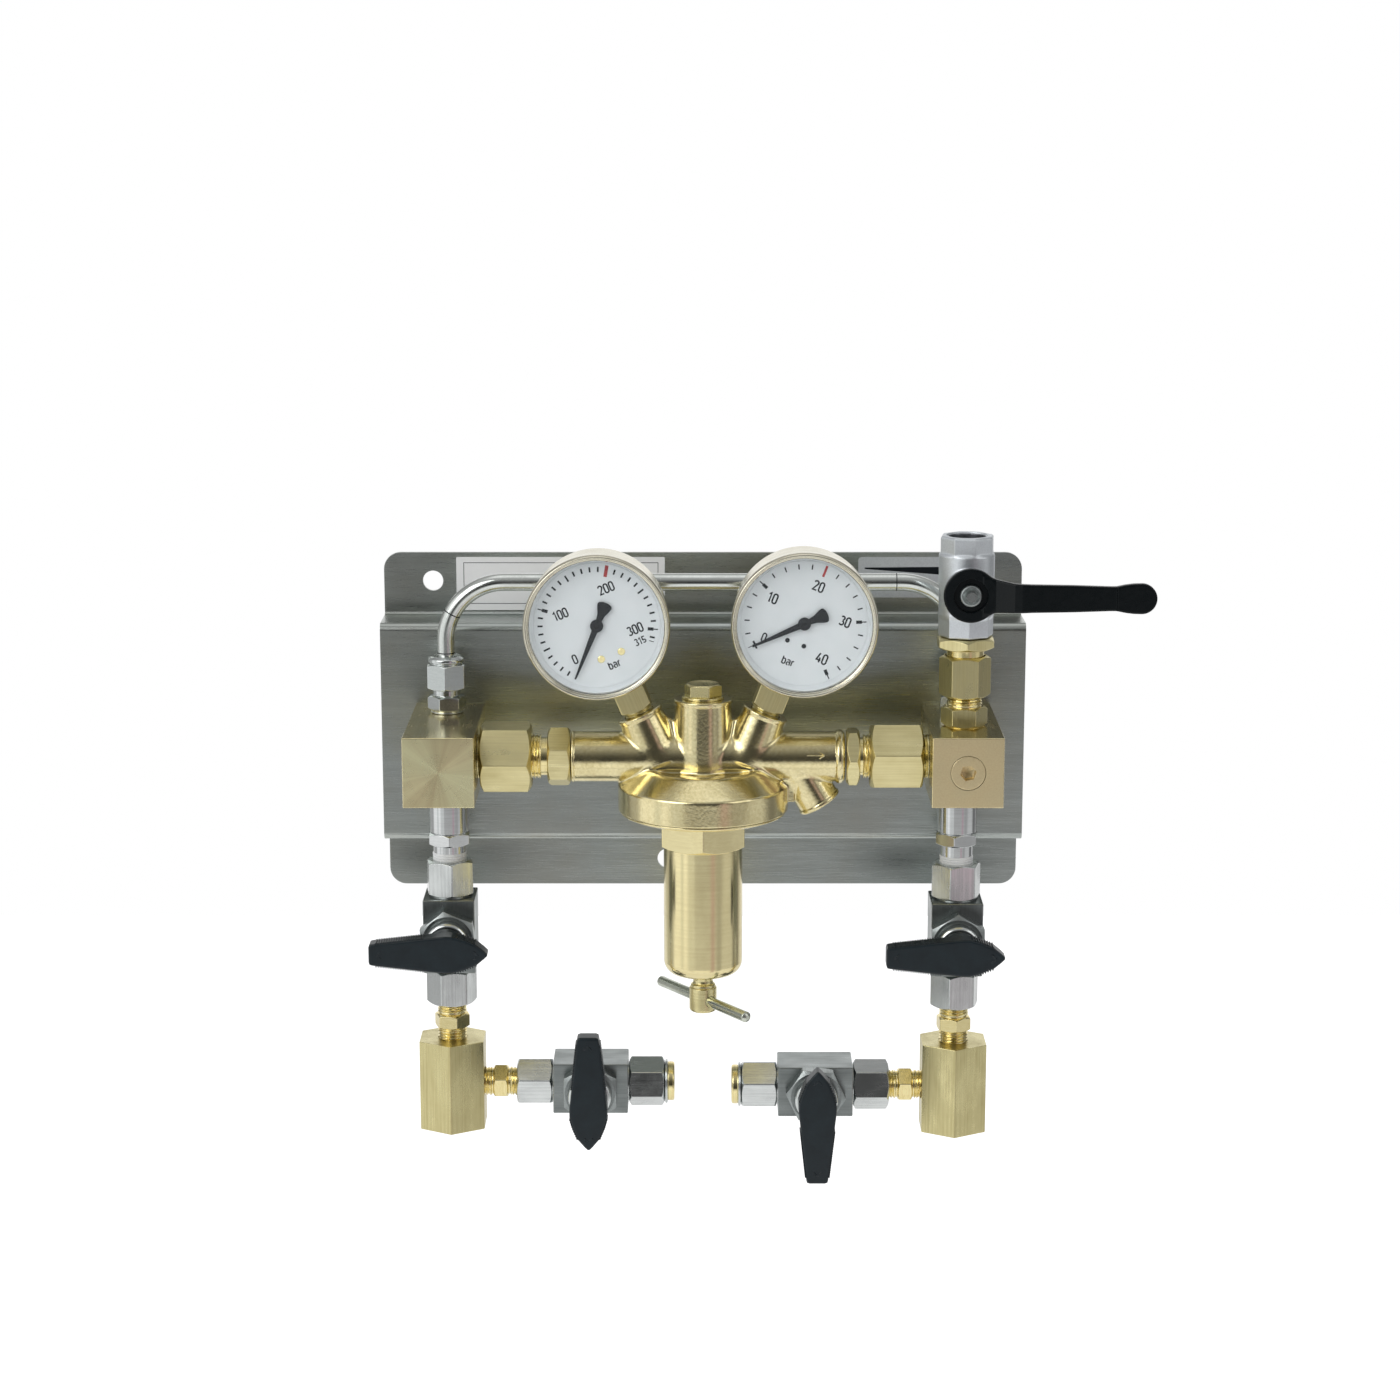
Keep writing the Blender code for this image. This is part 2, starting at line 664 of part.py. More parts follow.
# Places along the regulator's axis, from the blocks inwards
UNION_OUTER = BLOCK_INNER_X - UNION_STAND_OFF
UNION_INNER = UNION_OUTER - UNION_NUT_LENGTH


def union_nut(side):
    """Nut that holds a stud against a block's spigot."""
    thread = UNION_THREAD + 2 * GAP
    rings = hexagon(side * UNION_INNER, side * UNION_OUTER, UNION_FLATS, chamfer=True)
    rings += [Ring(side * UNION_OUTER, thread), Ring(side * UNION_INNER, thread)]
    name = "inlet_union_nut" if side < 0 else "outlet_union_nut"
    shape = turned(rings, start=math.radians(30), loop=True)
    return finish(shape, name, "brass", regulator_axis())


def union_stud(side):
    """Stud from a union nut into the regulator: thread, neck, hexagon and a hidden thread."""
    body_end = BODY_LEFT if side < 0 else BODY_RIGHT
    show = UNION_SHOW if side < 0 else OUTLET_SHOW
    hex_outer = UNION_INNER - show - (UNION_NECK_SHOW if side < 0 else 0)
    outer = BLOCK_INNER_X - SPIGOT_LENGTH - GAP
    inner = body_end - STUD_GRIP
    thread = UNION_THREAD
    rings = [Ring(side * outer, thread), Ring(side * (UNION_INNER - show), thread)]
    if side < 0:
        rings += [Ring(side * (UNION_INNER - show), UNION_NECK), Ring(side * hex_outer, UNION_NECK)]
    rings += hexagon(side * hex_outer, side * (body_end + GAP), STUD_FLATS)
    rings += [
        Ring(side * (body_end + GAP), THREAD),
        Ring(side * inner, THREAD),
        Ring(side * inner, PIPE_BORE),
        Ring(side * outer, PIPE_BORE),
    ]
    name = "inlet_stud" if side < 0 else "outlet_stud"
    shape = turned(rings, start=math.radians(30), loop=True)
    return finish(shape, name, "brass", regulator_axis())


# Heights in the regulator
FLANGE_TOP = AXIS_Z - FLANGE_DROP
CONE_FOOT = FLANGE_TOP - CONE_HEIGHT
BODY_FOOT = CONE_FOOT - BAND_HEIGHT
BOSS_TOP = AXIS_Z + CENTRE_BOSS_RISE
BONNET_TOP = BODY_FOOT + BONNET_SKIRT
CHAMBER_TOP = BONNET_TOP + DIAPHRAGM_THICKNESS + DIAPHRAGM_LIFT + 3 * GAP


def tilted(x, tilt):
    """Place on the regulator's axis at x, with Z leaning by tilt degrees towards +X."""
    lean = Matrix.Rotation(math.radians(tilt), 4, "Y")
    return Matrix.Translation((x, -FRONT_DEPTH, AXIS_Z)) @ lean


def regulator_body():
    """Forged body: a pipe, a flange with its cone, a centre boss, two leaning gauge bosses and webs."""
    flange = [
        Ring(BODY_FOOT, FLANGE_DIAMETER - 2 * BLOCK_EDGE),
        Ring(BODY_FOOT + BLOCK_EDGE, FLANGE_DIAMETER),
        Ring(CONE_FOOT, FLANGE_DIAMETER),
        Ring(FLANGE_TOP - BLOCK_EDGE, PLATE_BOSS + 2 * BLOCK_EDGE),
        Ring(FLANGE_TOP, PLATE_BOSS),
    ]
    body = finish(turned(flange, SIDES_LARGE), "regulator_body", "forged_brass", at(0, FRONT_DEPTH, 0))

    rim = [
        Ring(-BODY_LEFT, PIPE_DIAMETER - 2 * BLOCK_EDGE),
        Ring(-BODY_LEFT + BLOCK_EDGE, PIPE_DIAMETER),
        Ring(BODY_RIGHT - RIM_WIDTH, PIPE_DIAMETER),
        Ring(BODY_RIGHT - RIM_WIDTH * 0.75, RIM_DIAMETER),
        Ring(BODY_RIGHT - RIM_WIDTH * 0.25, RIM_DIAMETER),
        Ring(BODY_RIGHT, PIPE_DIAMETER),
    ]
    centre = [
        Ring(FLANGE_TOP - FLANGE_DROP, CENTRE_BOSS_FOOT),
        Ring(AXIS_Z + PIPE_DIAMETER * 0.57, CENTRE_BOSS),
        Ring(BOSS_TOP - BLOCK_EDGE, CENTRE_BOSS),
        Ring(BOSS_TOP, CENTRE_BOSS - 2 * BLOCK_EDGE),
    ]
    side = [Ring(0, SIDE_BOSS), Ring(SIDE_BOSS_REACH - BLOCK_EDGE, SIDE_BOSS)]
    side.append(Ring(SIDE_BOSS_REACH, SIDE_BOSS - 2 * BLOCK_EDGE))
    gauge = [
        Ring(0, GAUGE_BOSS_FOOT),
        Ring(GAUGE_BOSS_REACH * 0.55, GAUGE_BOSS),
        Ring(GAUGE_BOSS_REACH - BLOCK_EDGE, GAUGE_BOSS),
        Ring(GAUGE_BOSS_REACH, GAUGE_BOSS - 2 * BLOCK_EDGE),
    ]
    additions = [
        finish(turned(rim, 24), "forged_pipe", place=regulator_axis()),
        finish(turned(centre, 24, start=math.radians(5)), "forged_centre_boss", place=at(0, FRONT_DEPTH, 0)),
        finish(turned(side), "forged_side_boss", place=tilted(SIDE_BOSS_X, 180 - SIDE_BOSS_TILT)),
        finish(prism(web_outline(), -WEB_THICKNESS / 2, WEB_THICKNESS / 2), "forged_web", place=web_place()),
        finish(lug(), "forged_lug", place=at(LUG_X, FRONT_DEPTH, 0)),
    ]
    for offset, tilt in gauge_bosses():
        additions.append(finish(turned(gauge), f"forged_gauge_boss_{tilt}", place=tilted(offset, tilt)))
    combine(body, additions, "UNION")
    return combine(body, regulator_bores())


def gauge_bosses():
    """Place along the pipe and lean of each gauge boss."""
    return [(-GAUGE_BOSS_OFFSET, -INLET_GAUGE_TILT), (GAUGE_BOSS_OFFSET, OUTLET_GAUGE_TILT)]


def web_place():
    return Matrix.Translation((0, -FRONT_DEPTH, AXIS_Z)) @ TO_FRONT


def web_outline():
    """Web between the gauge bosses and the centre boss, in X and height above the pipe axis."""
    points = []
    for offset, tilt in gauge_bosses():
        lean = math.radians(tilt)
        reach = GAUGE_BOSS_REACH * 0.82
        points.append((offset + reach * math.sin(lean), reach * math.cos(lean)))
    (left_x, left_z), (right_x, right_z) = points
    valley = PIPE_DIAMETER * 0.72
    return [
        (left_x, left_z),
        (-CENTRE_BOSS * 0.62, valley),
        (CENTRE_BOSS * 0.62, valley),
        (right_x, right_z),
        (right_x - GAUGE_BOSS / 2, -FLANGE_DROP * 1.6),
        (left_x + GAUGE_BOSS / 2, -FLANGE_DROP * 1.6),
    ][::-1]


def lug():
    rings = [
        Ring(BODY_FOOT + BLOCK_EDGE * 2, LUG_DIAMETER * 0.8),
        Ring(BODY_FOOT + LUG_HEIGHT * 0.3, LUG_DIAMETER),
        Ring(BODY_FOOT + LUG_HEIGHT, LUG_DIAMETER * 0.6),
    ]
    return turned(rings, SIDES_SMALL)


def regulator_bores():
    """Drillings: both pipe ends, the poppet's bore and seat, the gauge ports and the diaphragm chamber."""
    axis = regulator_axis()
    thread = THREAD + 2 * GAP
    upright = at(0, FRONT_DEPTH, 0)
    poppet_floor = AXIS_Z - PIPE_BORE / 2
    outlet_foot = PIPE_DIAMETER * 0.6
    link_place = at(outlet_foot + SEAT_BORE * 0.7, FRONT_DEPTH, 0)
    chamber_skirt = BONNET_THREAD + 2 * GAP
    chamber = [
        Ring(BODY_FOOT - GAP, chamber_skirt),
        Ring(BONNET_TOP + GAP, chamber_skirt),
        Ring(BONNET_TOP + GAP, DIAPHRAGM_DIAMETER + 2 * GAP),
        Ring(CHAMBER_TOP, DIAPHRAGM_DIAMETER + 2 * GAP),
        Ring(CHAMBER_TOP, DIAPHRAGM_PLATE * 1.5),
        Ring(CHAMBER_TOP + DIAPHRAGM_PLATE_HEIGHT / 2, DIAPHRAGM_PLATE * 1.3),
    ]
    end = BODY_RIGHT + GAP
    cutters = [
        finish(cylinder(-BODY_LEFT - GAP, -POPPET_BORE * 0.3, PIPE_BORE), "inlet_bore", place=axis),
        finish(port(-BODY_LEFT - GAP, -BODY_LEFT + PORT_DEPTH, thread), "inlet_port", place=axis),
        finish(cylinder(outlet_foot, end, PIPE_BORE), "outlet_pipe_bore", place=axis),
        finish(port(BODY_RIGHT - PORT_DEPTH, end, thread), "outlet_pipe_port", place=axis),
        finish(port(poppet_floor, BOSS_TOP + GAP, POPPET_BORE), "poppet_bore", place=upright),
        finish(cylinder(CHAMBER_TOP - GAP, AXIS_Z, SEAT_BORE), "seat_bore", place=upright),
        finish(cylinder(CHAMBER_TOP - GAP, AXIS_Z, SEAT_BORE), "outlet_link", place=link_place),
        finish(turned(chamber, SIDES_LARGE), "diaphragm_chamber", place=upright),
    ]
    for offset, tilt in gauge_bosses():
        stem_port = port(GAUGE_BOSS_REACH - PORT_DEPTH, GAUGE_BOSS_REACH + GAP, thread, start=SQUARE_CORNER)
        cutters.append(finish(stem_port, f"gauge_port_{tilt}", place=tilted(offset, tilt)))
        link = cylinder(0, GAUGE_BOSS_REACH, SEAT_BORE)
        cutters.append(finish(link, f"gauge_link_{tilt}", place=tilted(offset, tilt)))
    return cutters


PLUG_FOOT = BOSS_TOP - PORT_DEPTH


def regulator_top_plug():
    """Hexagon plug over the poppet, on a flange."""
    washer_top = BOSS_TOP + GAP + TOP_PLUG_HEX * 0.16
    rings = [
        Ring(PLUG_FOOT, POPPET_BORE - 2 * GAP),
        Ring(BOSS_TOP + GAP, POPPET_BORE - 2 * GAP),
        Ring(BOSS_TOP + GAP, TOP_PLUG_WASHER),
        Ring(washer_top, TOP_PLUG_WASHER),
    ]
    rings += hexagon(washer_top, BOSS_TOP + GAP + TOP_PLUG_HEX, TOP_PLUG_FLATS)
    return finish(turned(rings), "regulator_top_plug", "brass", at(0, FRONT_DEPTH, 0))


# Heights in the bonnet
LIP_FOOT = BODY_FOOT - GAP - BONNET_LIP
TAPER_FOOT = LIP_FOOT - BONNET_TAPER
BONNET_HEX_FOOT = TAPER_FOOT - BONNET_HEX
BONNET_FOOT = BONNET_HEX_FOOT - BONNET_LENGTH
SPRING_FLOOR = BONNET_FOOT + BONNET_FLOOR
DISH_FLOOR = TAPER_FOOT
DIAPHRAGM_LOW = BONNET_TOP + GAP
DIAPHRAGM_TOP = DIAPHRAGM_LOW + DIAPHRAGM_THICKNESS


def spring_bonnet():
    """Bonnet screwed into the body: a flange, a hexagon and a long cup for the spring."""
    spring_bore = BONNET_DIAMETER - 2 * BONNET_WALL
    dish = DIAPHRAGM_DIAMETER * 0.82
    fillet = [
        Ring(BONNET_FOOT + height, BONNET_DIAMETER - 2 * BONNET_FILLET + 2 * width)
        for width, height in [
            (
                BONNET_FILLET * math.cos(math.radians(angle)),
                BONNET_FILLET * (1 - math.sin(math.radians(angle))),
            )
            for angle in (0, 22.5, 45, 67.5)
        ]
    ]
    rings = [
        Ring(BONNET_TOP, BONNET_THREAD),
        Ring(BODY_FOOT - GAP, BONNET_THREAD),
        Ring(BODY_FOOT - GAP, FLANGE_DIAMETER),
        Ring(LIP_FOOT, FLANGE_DIAMETER),
        Ring(TAPER_FOOT, BONNET_TAPER_END),
    ]
    rings += hexagon(TAPER_FOOT, BONNET_HEX_FOOT, BONNET_FLATS)
    rings += [Ring(BONNET_HEX_FOOT, BONNET_DIAMETER)] + fillet
    rings += [
        Ring(BONNET_FOOT, BONNET_DIAMETER - 2 * BONNET_FILLET),
        Ring(BONNET_FOOT, SPINDLE_DIAMETER + 2 * TURNING_GAP),
        Ring(SPRING_FLOOR, SPINDLE_DIAMETER + 2 * TURNING_GAP),
        Ring(SPRING_FLOOR, spring_bore),
        Ring(DISH_FLOOR, spring_bore),
        Ring(BODY_FOOT, dish),
        Ring(BONNET_TOP, dish),
    ]
    shape = turned(rings, SIDES_LARGE, loop=True)
    return finish(shape, "spring_bonnet", "forged_brass", at(0, FRONT_DEPTH, 0))


def diaphragm():
    """Diaphragm with the plate that the spring presses on; it lifts to open the poppet."""
    plate_low = DIAPHRAGM_LOW - DIAPHRAGM_PLATE_HEIGHT
    hub_top = DIAPHRAGM_TOP + DIAPHRAGM_PLATE_HEIGHT / 3
    rings = [
        Ring(plate_low, DIAPHRAGM_PLATE),
        Ring(DIAPHRAGM_LOW, DIAPHRAGM_PLATE),
        Ring(DIAPHRAGM_LOW, DIAPHRAGM_DIAMETER - 2 * GAP),
        Ring(DIAPHRAGM_TOP, DIAPHRAGM_DIAMETER - 2 * GAP),
        Ring(DIAPHRAGM_TOP, DIAPHRAGM_PLATE / 2),
        Ring(hub_top, DIAPHRAGM_PLATE / 2),
    ]
    return finish(turned(rings, SIDES_LARGE), "diaphragm", "rubber", at(0, FRONT_DEPTH, 0))


def valve_poppet():
    """Poppet above the seat, with the pin that the diaphragm pushes."""
    pin = SEAT_BORE * 0.6
    pin_foot = DIAPHRAGM_TOP + DIAPHRAGM_PLATE_HEIGHT / 3 + GAP
    seat = AXIS_Z - PIPE_BORE / 2 + GAP
    rings = [
        Ring(pin_foot, pin),
        Ring(seat, pin),
        Ring(seat, SEAT_BORE * 1.3),
        Ring(seat + SEAT_BORE * 0.4, POPPET_BORE - 3 * GAP),
        Ring(seat + SEAT_BORE * 1.6, POPPET_BORE - 3 * GAP),
        Ring(seat + SEAT_BORE * 1.6, pin),
        Ring(PLUG_FOOT - DIAPHRAGM_LIFT - 2 * GAP, pin),
    ]
    return finish(turned(rings, SIDES_SMALL), "valve_poppet", "bright_brass", at(0, FRONT_DEPTH, 0))


# The spindle's tip carries the spring button, and the spring stands on the button
SPINDLE_TIP = SPRING_FLOOR + SPINDLE_INSIDE
BUTTON_LOW = SPINDLE_TIP + GAP
BUTTON_TOP = BUTTON_LOW + BUTTON_THICKNESS
SPINDLE_HEAD_TOP = BONNET_FOOT - SPINDLE_SHOW
SPINDLE_FOOT = SPINDLE_HEAD_TOP - SPINDLE_HEAD_LENGTH
TOMMY_Z = SPINDLE_HEAD_TOP - SPINDLE_HEAD_LENGTH * 0.52


def spring_button():
    """Seat of the spring on the spindle's tip; it rises without turning."""
    rings = [
        Ring(BUTTON_LOW, BUTTON_DIAMETER * 0.9),
        Ring(BUTTON_LOW + BUTTON_THICKNESS / 3, BUTTON_DIAMETER),
        Ring(BUTTON_TOP, BUTTON_DIAMETER),
        Ring(BUTTON_TOP, SPRING_DIAMETER * 0.7),
        Ring(BUTTON_TOP + BUTTON_THICKNESS * 0.6, SPRING_DIAMETER * 0.6),
    ]
    return finish(turned(rings), "spring_button", "satin_steel", at(0, FRONT_DEPTH, 0))


def main_spring():
    """Helical spring between the button and the diaphragm's plate."""
    low = BUTTON_TOP + GAP + SPRING_WIRE / 2
    high = DIAPHRAGM_LOW - DIAPHRAGM_PLATE_HEIGHT - GAP - SPRING_WIRE / 2
    steps_per_coil = 10
    steps = round(SPRING_COILS * steps_per_coil)
    path = []
    frames = []
    for step in range(steps + 1):
        angle = 2 * math.pi * step / steps_per_coil
        outward = Vector((math.cos(angle), math.sin(angle), 0))
        path.append(outward * (SPRING_DIAMETER / 2) + Vector((0, 0, low + (high - low) * step / steps)))
        frames.append((outward, Vector((0, 0, 1))))
    shape = sweep(path, frames, SPRING_WIRE, sides=5)
    return finish(shape, "main_spring", "spring_steel", at(0, FRONT_DEPTH, 0))


def adjusting_spindle():
    """Screwed spindle with a head that is cross-drilled for the tommy bar."""
    rings = [
        Ring(SPINDLE_TIP, SPINDLE_DIAMETER * 0.7),
        Ring(SPINDLE_TIP - SPINDLE_DIAMETER * 0.15, SPINDLE_DIAMETER),
        Ring(SPINDLE_HEAD_TOP + BLOCK_EDGE, SPINDLE_DIAMETER),
        Ring(SPINDLE_HEAD_TOP, SPINDLE_HEAD),
        Ring(SPINDLE_FOOT + BLOCK_EDGE, SPINDLE_HEAD),
        Ring(SPINDLE_FOOT, SPINDLE_HEAD - 2 * BLOCK_EDGE),
    ]
    place = at(0, FRONT_DEPTH, TOMMY_Z)
    shape = turned([ring._replace(height=ring.height - TOMMY_Z) for ring in rings])
    spindle = finish(shape, "adjusting_spindle", "brass", place)
    drill = port(-SPINDLE_HEAD, SPINDLE_HEAD, TOMMY_DIAMETER + 2 * GAP, SIDES_SMALL)
    return combine(spindle, [finish(drill, "tommy_drill", place=tommy_place())])


def tommy_place():
    turn = Matrix.Rotation(math.radians(TOMMY_ANGLE), 4, "Z")
    return at(0, FRONT_DEPTH, TOMMY_Z) @ turn @ TO_RIGHT


def tommy_bar():
    """Steel bar through the spindle's head, with pointed chamfers."""
    half = TOMMY_LENGTH / 2
    tip = TOMMY_DIAMETER * 0.55
    rings = [
        Ring(-half, tip),
        Ring(-half + TOMMY_DIAMETER * 0.2, TOMMY_DIAMETER),
        Ring(half - TOMMY_DIAMETER * 0.2, TOMMY_DIAMETER),
        Ring(half, tip),
    ]
    return finish(turned(rings, SIDES_SMALL), "tommy_bar", "bright_steel", tommy_place())


# Depths in the gauges
GAUGE_FRONT = GAUGE_BACK + GAUGE_DEPTH
DIAL_FACE = GAUGE_FRONT - DIAL_RECESS
WINDOW_FACE = GAUGE_FRONT - WINDOW_RECESS


def gauge_centre(offset, tilt):
    """Middle of a dial, as X and Z."""
    lean = math.radians(tilt)
    return offset + GAUGE_REACH * math.sin(lean), AXIS_Z + GAUGE_REACH * math.cos(lean)


def gauge(name, offset, tilt):
    """Case, dial, window, pointer and stem of one gauge."""
    x, z = gauge_centre(offset, tilt)
    to_front = Matrix.Translation((x, 0, z)) @ TO_FRONT
    case = finish(turned(case_rings(), SIDES_LARGE, loop=False), f"{name}_case", "gauge_case", to_front)
    neck = port(CASE_DIAMETER / 2 - 3 * CASE_WALL, CASE_DIAMETER, STEM_NECK + 2 * GAP, start=SQUARE_CORNER)
    down = at(x, FRONT_DEPTH, z) @ Matrix.Rotation(math.radians(180 + tilt), 4, "Y")
    combine(case, [finish(neck, f"{name}_stem_hole", place=down)])

    dial = [Ring(DIAL_FACE - DIAL_THICKNESS, DIAL_DIAMETER), Ring(DIAL_FACE, DIAL_DIAMETER)]
    arbor_hole = ARBOR_DIAMETER + 2 * TURNING_GAP
    dial += [Ring(DIAL_FACE, arbor_hole), Ring(DIAL_FACE - DIAL_THICKNESS, arbor_hole)]
    finish(turned(dial, SIDES_LARGE, loop=True), f"{name}_dial", "dial_white", to_front)

    window = cylinder(WINDOW_FACE - WINDOW_THICKNESS, WINDOW_FACE, WINDOW_DIAMETER, SIDES_LARGE)
    finish(window, f"{name}_window", "clear", to_front)

    pointer(name, x, z, tilt)
    stem = turned(stem_rings(), start=SQUARE_CORNER, loop=True)
    finish(stem, f"{name}_stem", "brass", tilted(offset, tilt))


def case_rings():
    """Case as one deep cup with a thicker front ring, which holds the window and the dial."""
    inside = CASE_DIAMETER - 2 * CASE_WALL
    seat = WINDOW_DIAMETER + 2 * GAP
    dial_seat = DIAL_FACE - DIAL_THICKNESS - GAP
    window_seat = WINDOW_FACE - WINDOW_THICKNESS - GAP
    return [
        Ring(GAUGE_BACK + CASE_WALL, inside - 2 * CASE_WALL),
        Ring(dial_seat - CASE_WALL, inside - 2 * CASE_WALL),
        Ring(dial_seat - CASE_WALL, DIAL_DIAMETER * 0.93),
        Ring(dial_seat, DIAL_DIAMETER * 0.93),
        Ring(dial_seat, DIAL_DIAMETER + 2 * GAP),
        Ring(window_seat, DIAL_DIAMETER + 2 * GAP),
        Ring(window_seat, seat),
        Ring(GAUGE_FRONT - CASE_WALL / 2, seat),
        Ring(GAUGE_FRONT, seat + CASE_WALL),
        Ring(GAUGE_FRONT, RING_DIAMETER - 2 * CASE_WALL),
        Ring(GAUGE_FRONT - CASE_WALL, RING_DIAMETER),
        Ring(GAUGE_FRONT - RING_DEPTH, RING_DIAMETER),
        Ring(GAUGE_FRONT - RING_DEPTH - CASE_WALL / 2, CASE_DIAMETER),
        Ring(GAUGE_BACK + 2 * CASE_WALL, CASE_DIAMETER),
        Ring(GAUGE_BACK, CASE_DIAMETER - 4 * CASE_WALL),
    ]


def pointer(name, x, z, tilt):
    """Pointer at zero, on its arbor; its origin lies on the arbor's axis."""
    outline = [
        (POINTER_LENGTH, -POINTER_HUB * 0.06),
        (POINTER_LENGTH, POINTER_HUB * 0.06),
        (POINTER_HUB * 0.4, POINTER_HUB * 0.2),
        (-POINTER_HUB * 0.4, POINTER_HUB * 0.2),
        (-POINTER_TAIL * 0.85, POINTER_HUB * 0.72),
        (-POINTER_TAIL, POINTER_HUB * 0.4),
        (-POINTER_TAIL, -POINTER_HUB * 0.4),
        (-POINTER_TAIL * 0.85, -POINTER_HUB * 0.72),
        (-POINTER_HUB * 0.4, -POINTER_HUB * 0.2),
        (POINTER_HUB * 0.4, -POINTER_HUB * 0.2),
    ]
    low = POINTER_LIFT
    high = low + POINTER_THICKNESS
    hub_rings = [
        Ring(-DIAL_THICKNESS - POINTER_LIFT, ARBOR_DIAMETER),
        Ring(GAP, ARBOR_DIAMETER),
        Ring(GAP, POINTER_HUB),
        Ring(high + POINTER_THICKNESS / 2, POINTER_HUB),
    ]
    to_front = Matrix.Translation((x, -DIAL_FACE, z)) @ TO_FRONT
    zero = Matrix.Rotation(math.radians(-90 - ZERO_ANGLE - tilt), 4, "Z")
    arm = finish(prism(outline, low, high), f"{name}_arm", place=to_front @ zero)
    hub = finish(turned(hub_rings, SIDES_SMALL), f"{name}_pointer", "black_paint", to_front)
    return combine(hub, [arm], "UNION")


def stem_rings():
    """Square stem with a thread in the boss and a neck in the case."""
    case_surface = GAUGE_REACH - CASE_DIAMETER / 2
    shoulder = case_surface - GAP
    corners = STEM_FLATS / math.cos(math.radians(45))
    square_foot = GAUGE_BOSS_REACH + GAP
    return [
        Ring(square_foot - NIPPLE_GRIP, THREAD),
        Ring(square_foot + STEM_FLATS * 0.1, THREAD),
        Ring(square_foot + STEM_FLATS * 0.1, corners * 0.95, STEM_FLATS, 4),
        Ring(square_foot + STEM_FLATS * 0.2, corners, STEM_FLATS, 4),
        Ring(shoulder, corners, STEM_FLATS, 4),
        Ring(shoulder, STEM_NECK),
        Ring(case_surface + STEM_NECK_LENGTH, STEM_NECK),
        Ring(case_surface + STEM_NECK_LENGTH, SEAT_BORE),
        Ring(square_foot - NIPPLE_GRIP, SEAT_BORE),
    ]


# Heights in the outlet column
OUTLET_HEX_TOP = BLOCK_TOP + GAP + OUTLET_NIPPLE_HEX
VALVE_NUT_LOW = OUTLET_HEX_TOP + OUTLET_NECK_SHOW
VALVE_NUT_TOP = VALVE_NUT_LOW + VALVE_NUT_LENGTH
REDUCER_LOW = VALVE_NUT_TOP + REDUCER_NECK_SHOW
REDUCER_TOP = REDUCER_LOW + REDUCER_HEX
CAST_LOW = REDUCER_TOP + GAP
BARREL_LOW = CAST_LOW + CAST_FOOT
BARREL_TOP = BARREL_LOW + CAST_BARREL_LENGTH
CAST_TOP = BARREL_TOP + CAST_HEAD
OUTLET_BALL_Z = BARREL_LOW + CAST_BARREL_LENGTH * BALL_SHARE


def outlet_nipple():
    """Nipple in the right block, with a hexagon and a neck in the nut above."""
    bottom = BLOCK_TOP - NIPPLE_GRIP
    neck_top = VALVE_NUT_LOW + VALVE_NUT_LENGTH * 0.45
    rings = [Ring(bottom, OUTLET_NIPPLE_NECK), Ring(BLOCK_TOP + GAP, OUTLET_NIPPLE_NECK)]
    rings += hexagon(BLOCK_TOP + GAP, OUTLET_HEX_TOP, OUTLET_NIPPLE_FLATS)
    rings += [Ring(OUTLET_HEX_TOP, OUTLET_NIPPLE_NECK), Ring(neck_top, OUTLET_NIPPLE_NECK)]
    rings += [Ring(neck_top, PIPE_BORE), Ring(bottom, PIPE_BORE)]
    return finish(turned(rings, loop=True), "outlet_nipple", "brass", at(COLUMN_X, FRONT_DEPTH, 0))


def valve_union_nut():
    """Long nut that joins the nipple to the reducer."""
    low_bore = OUTLET_NIPPLE_NECK + 2 * GAP
    high_bore = REDUCER_NECK + 2 * GAP
    middle = VALVE_NUT_LOW + VALVE_NUT_LENGTH * 0.5
    rings = hexagon(VALVE_NUT_LOW, VALVE_NUT_TOP, VALVE_NUT_FLATS, chamfer=True)
    rings += [Ring(VALVE_NUT_TOP, high_bore), Ring(middle, high_bore)]
    rings += [Ring(middle, low_bore), Ring(VALVE_NUT_LOW, low_bore)]
    return finish(turned(rings, loop=True), "valve_union_nut", "brass", at(COLUMN_X, FRONT_DEPTH, 0))


def outlet_reducer():
    """Thin hexagon under the ball valve, with a neck down and a thread up."""
    foot = VALVE_NUT_LOW + VALVE_NUT_LENGTH * 0.55
    thread = CAST_PORT - 2 * GAP
    top = CAST_LOW + CAST_FOOT * 0.8
    rings = [Ring(foot, REDUCER_NECK), Ring(REDUCER_LOW, REDUCER_NECK)]
    rings += hexagon(REDUCER_LOW, REDUCER_TOP, REDUCER_FLATS)
    rings += [Ring(REDUCER_TOP, thread), Ring(top, thread), Ring(top, PIPE_BORE), Ring(foot, PIPE_BORE)]
    return finish(turned(rings, loop=True), "outlet_reducer", "brass", at(COLUMN_X, FRONT_DEPTH, 0))


def ball_rings(diameter, rows):
    """Rings of a ball about its middle, without its poles."""
    rings = []
    for row in range(1, rows):
        angle = math.pi * row / rows
        rings.append(Ring(-diameter / 2 * math.cos(angle), diameter * math.sin(angle)))
    return rings


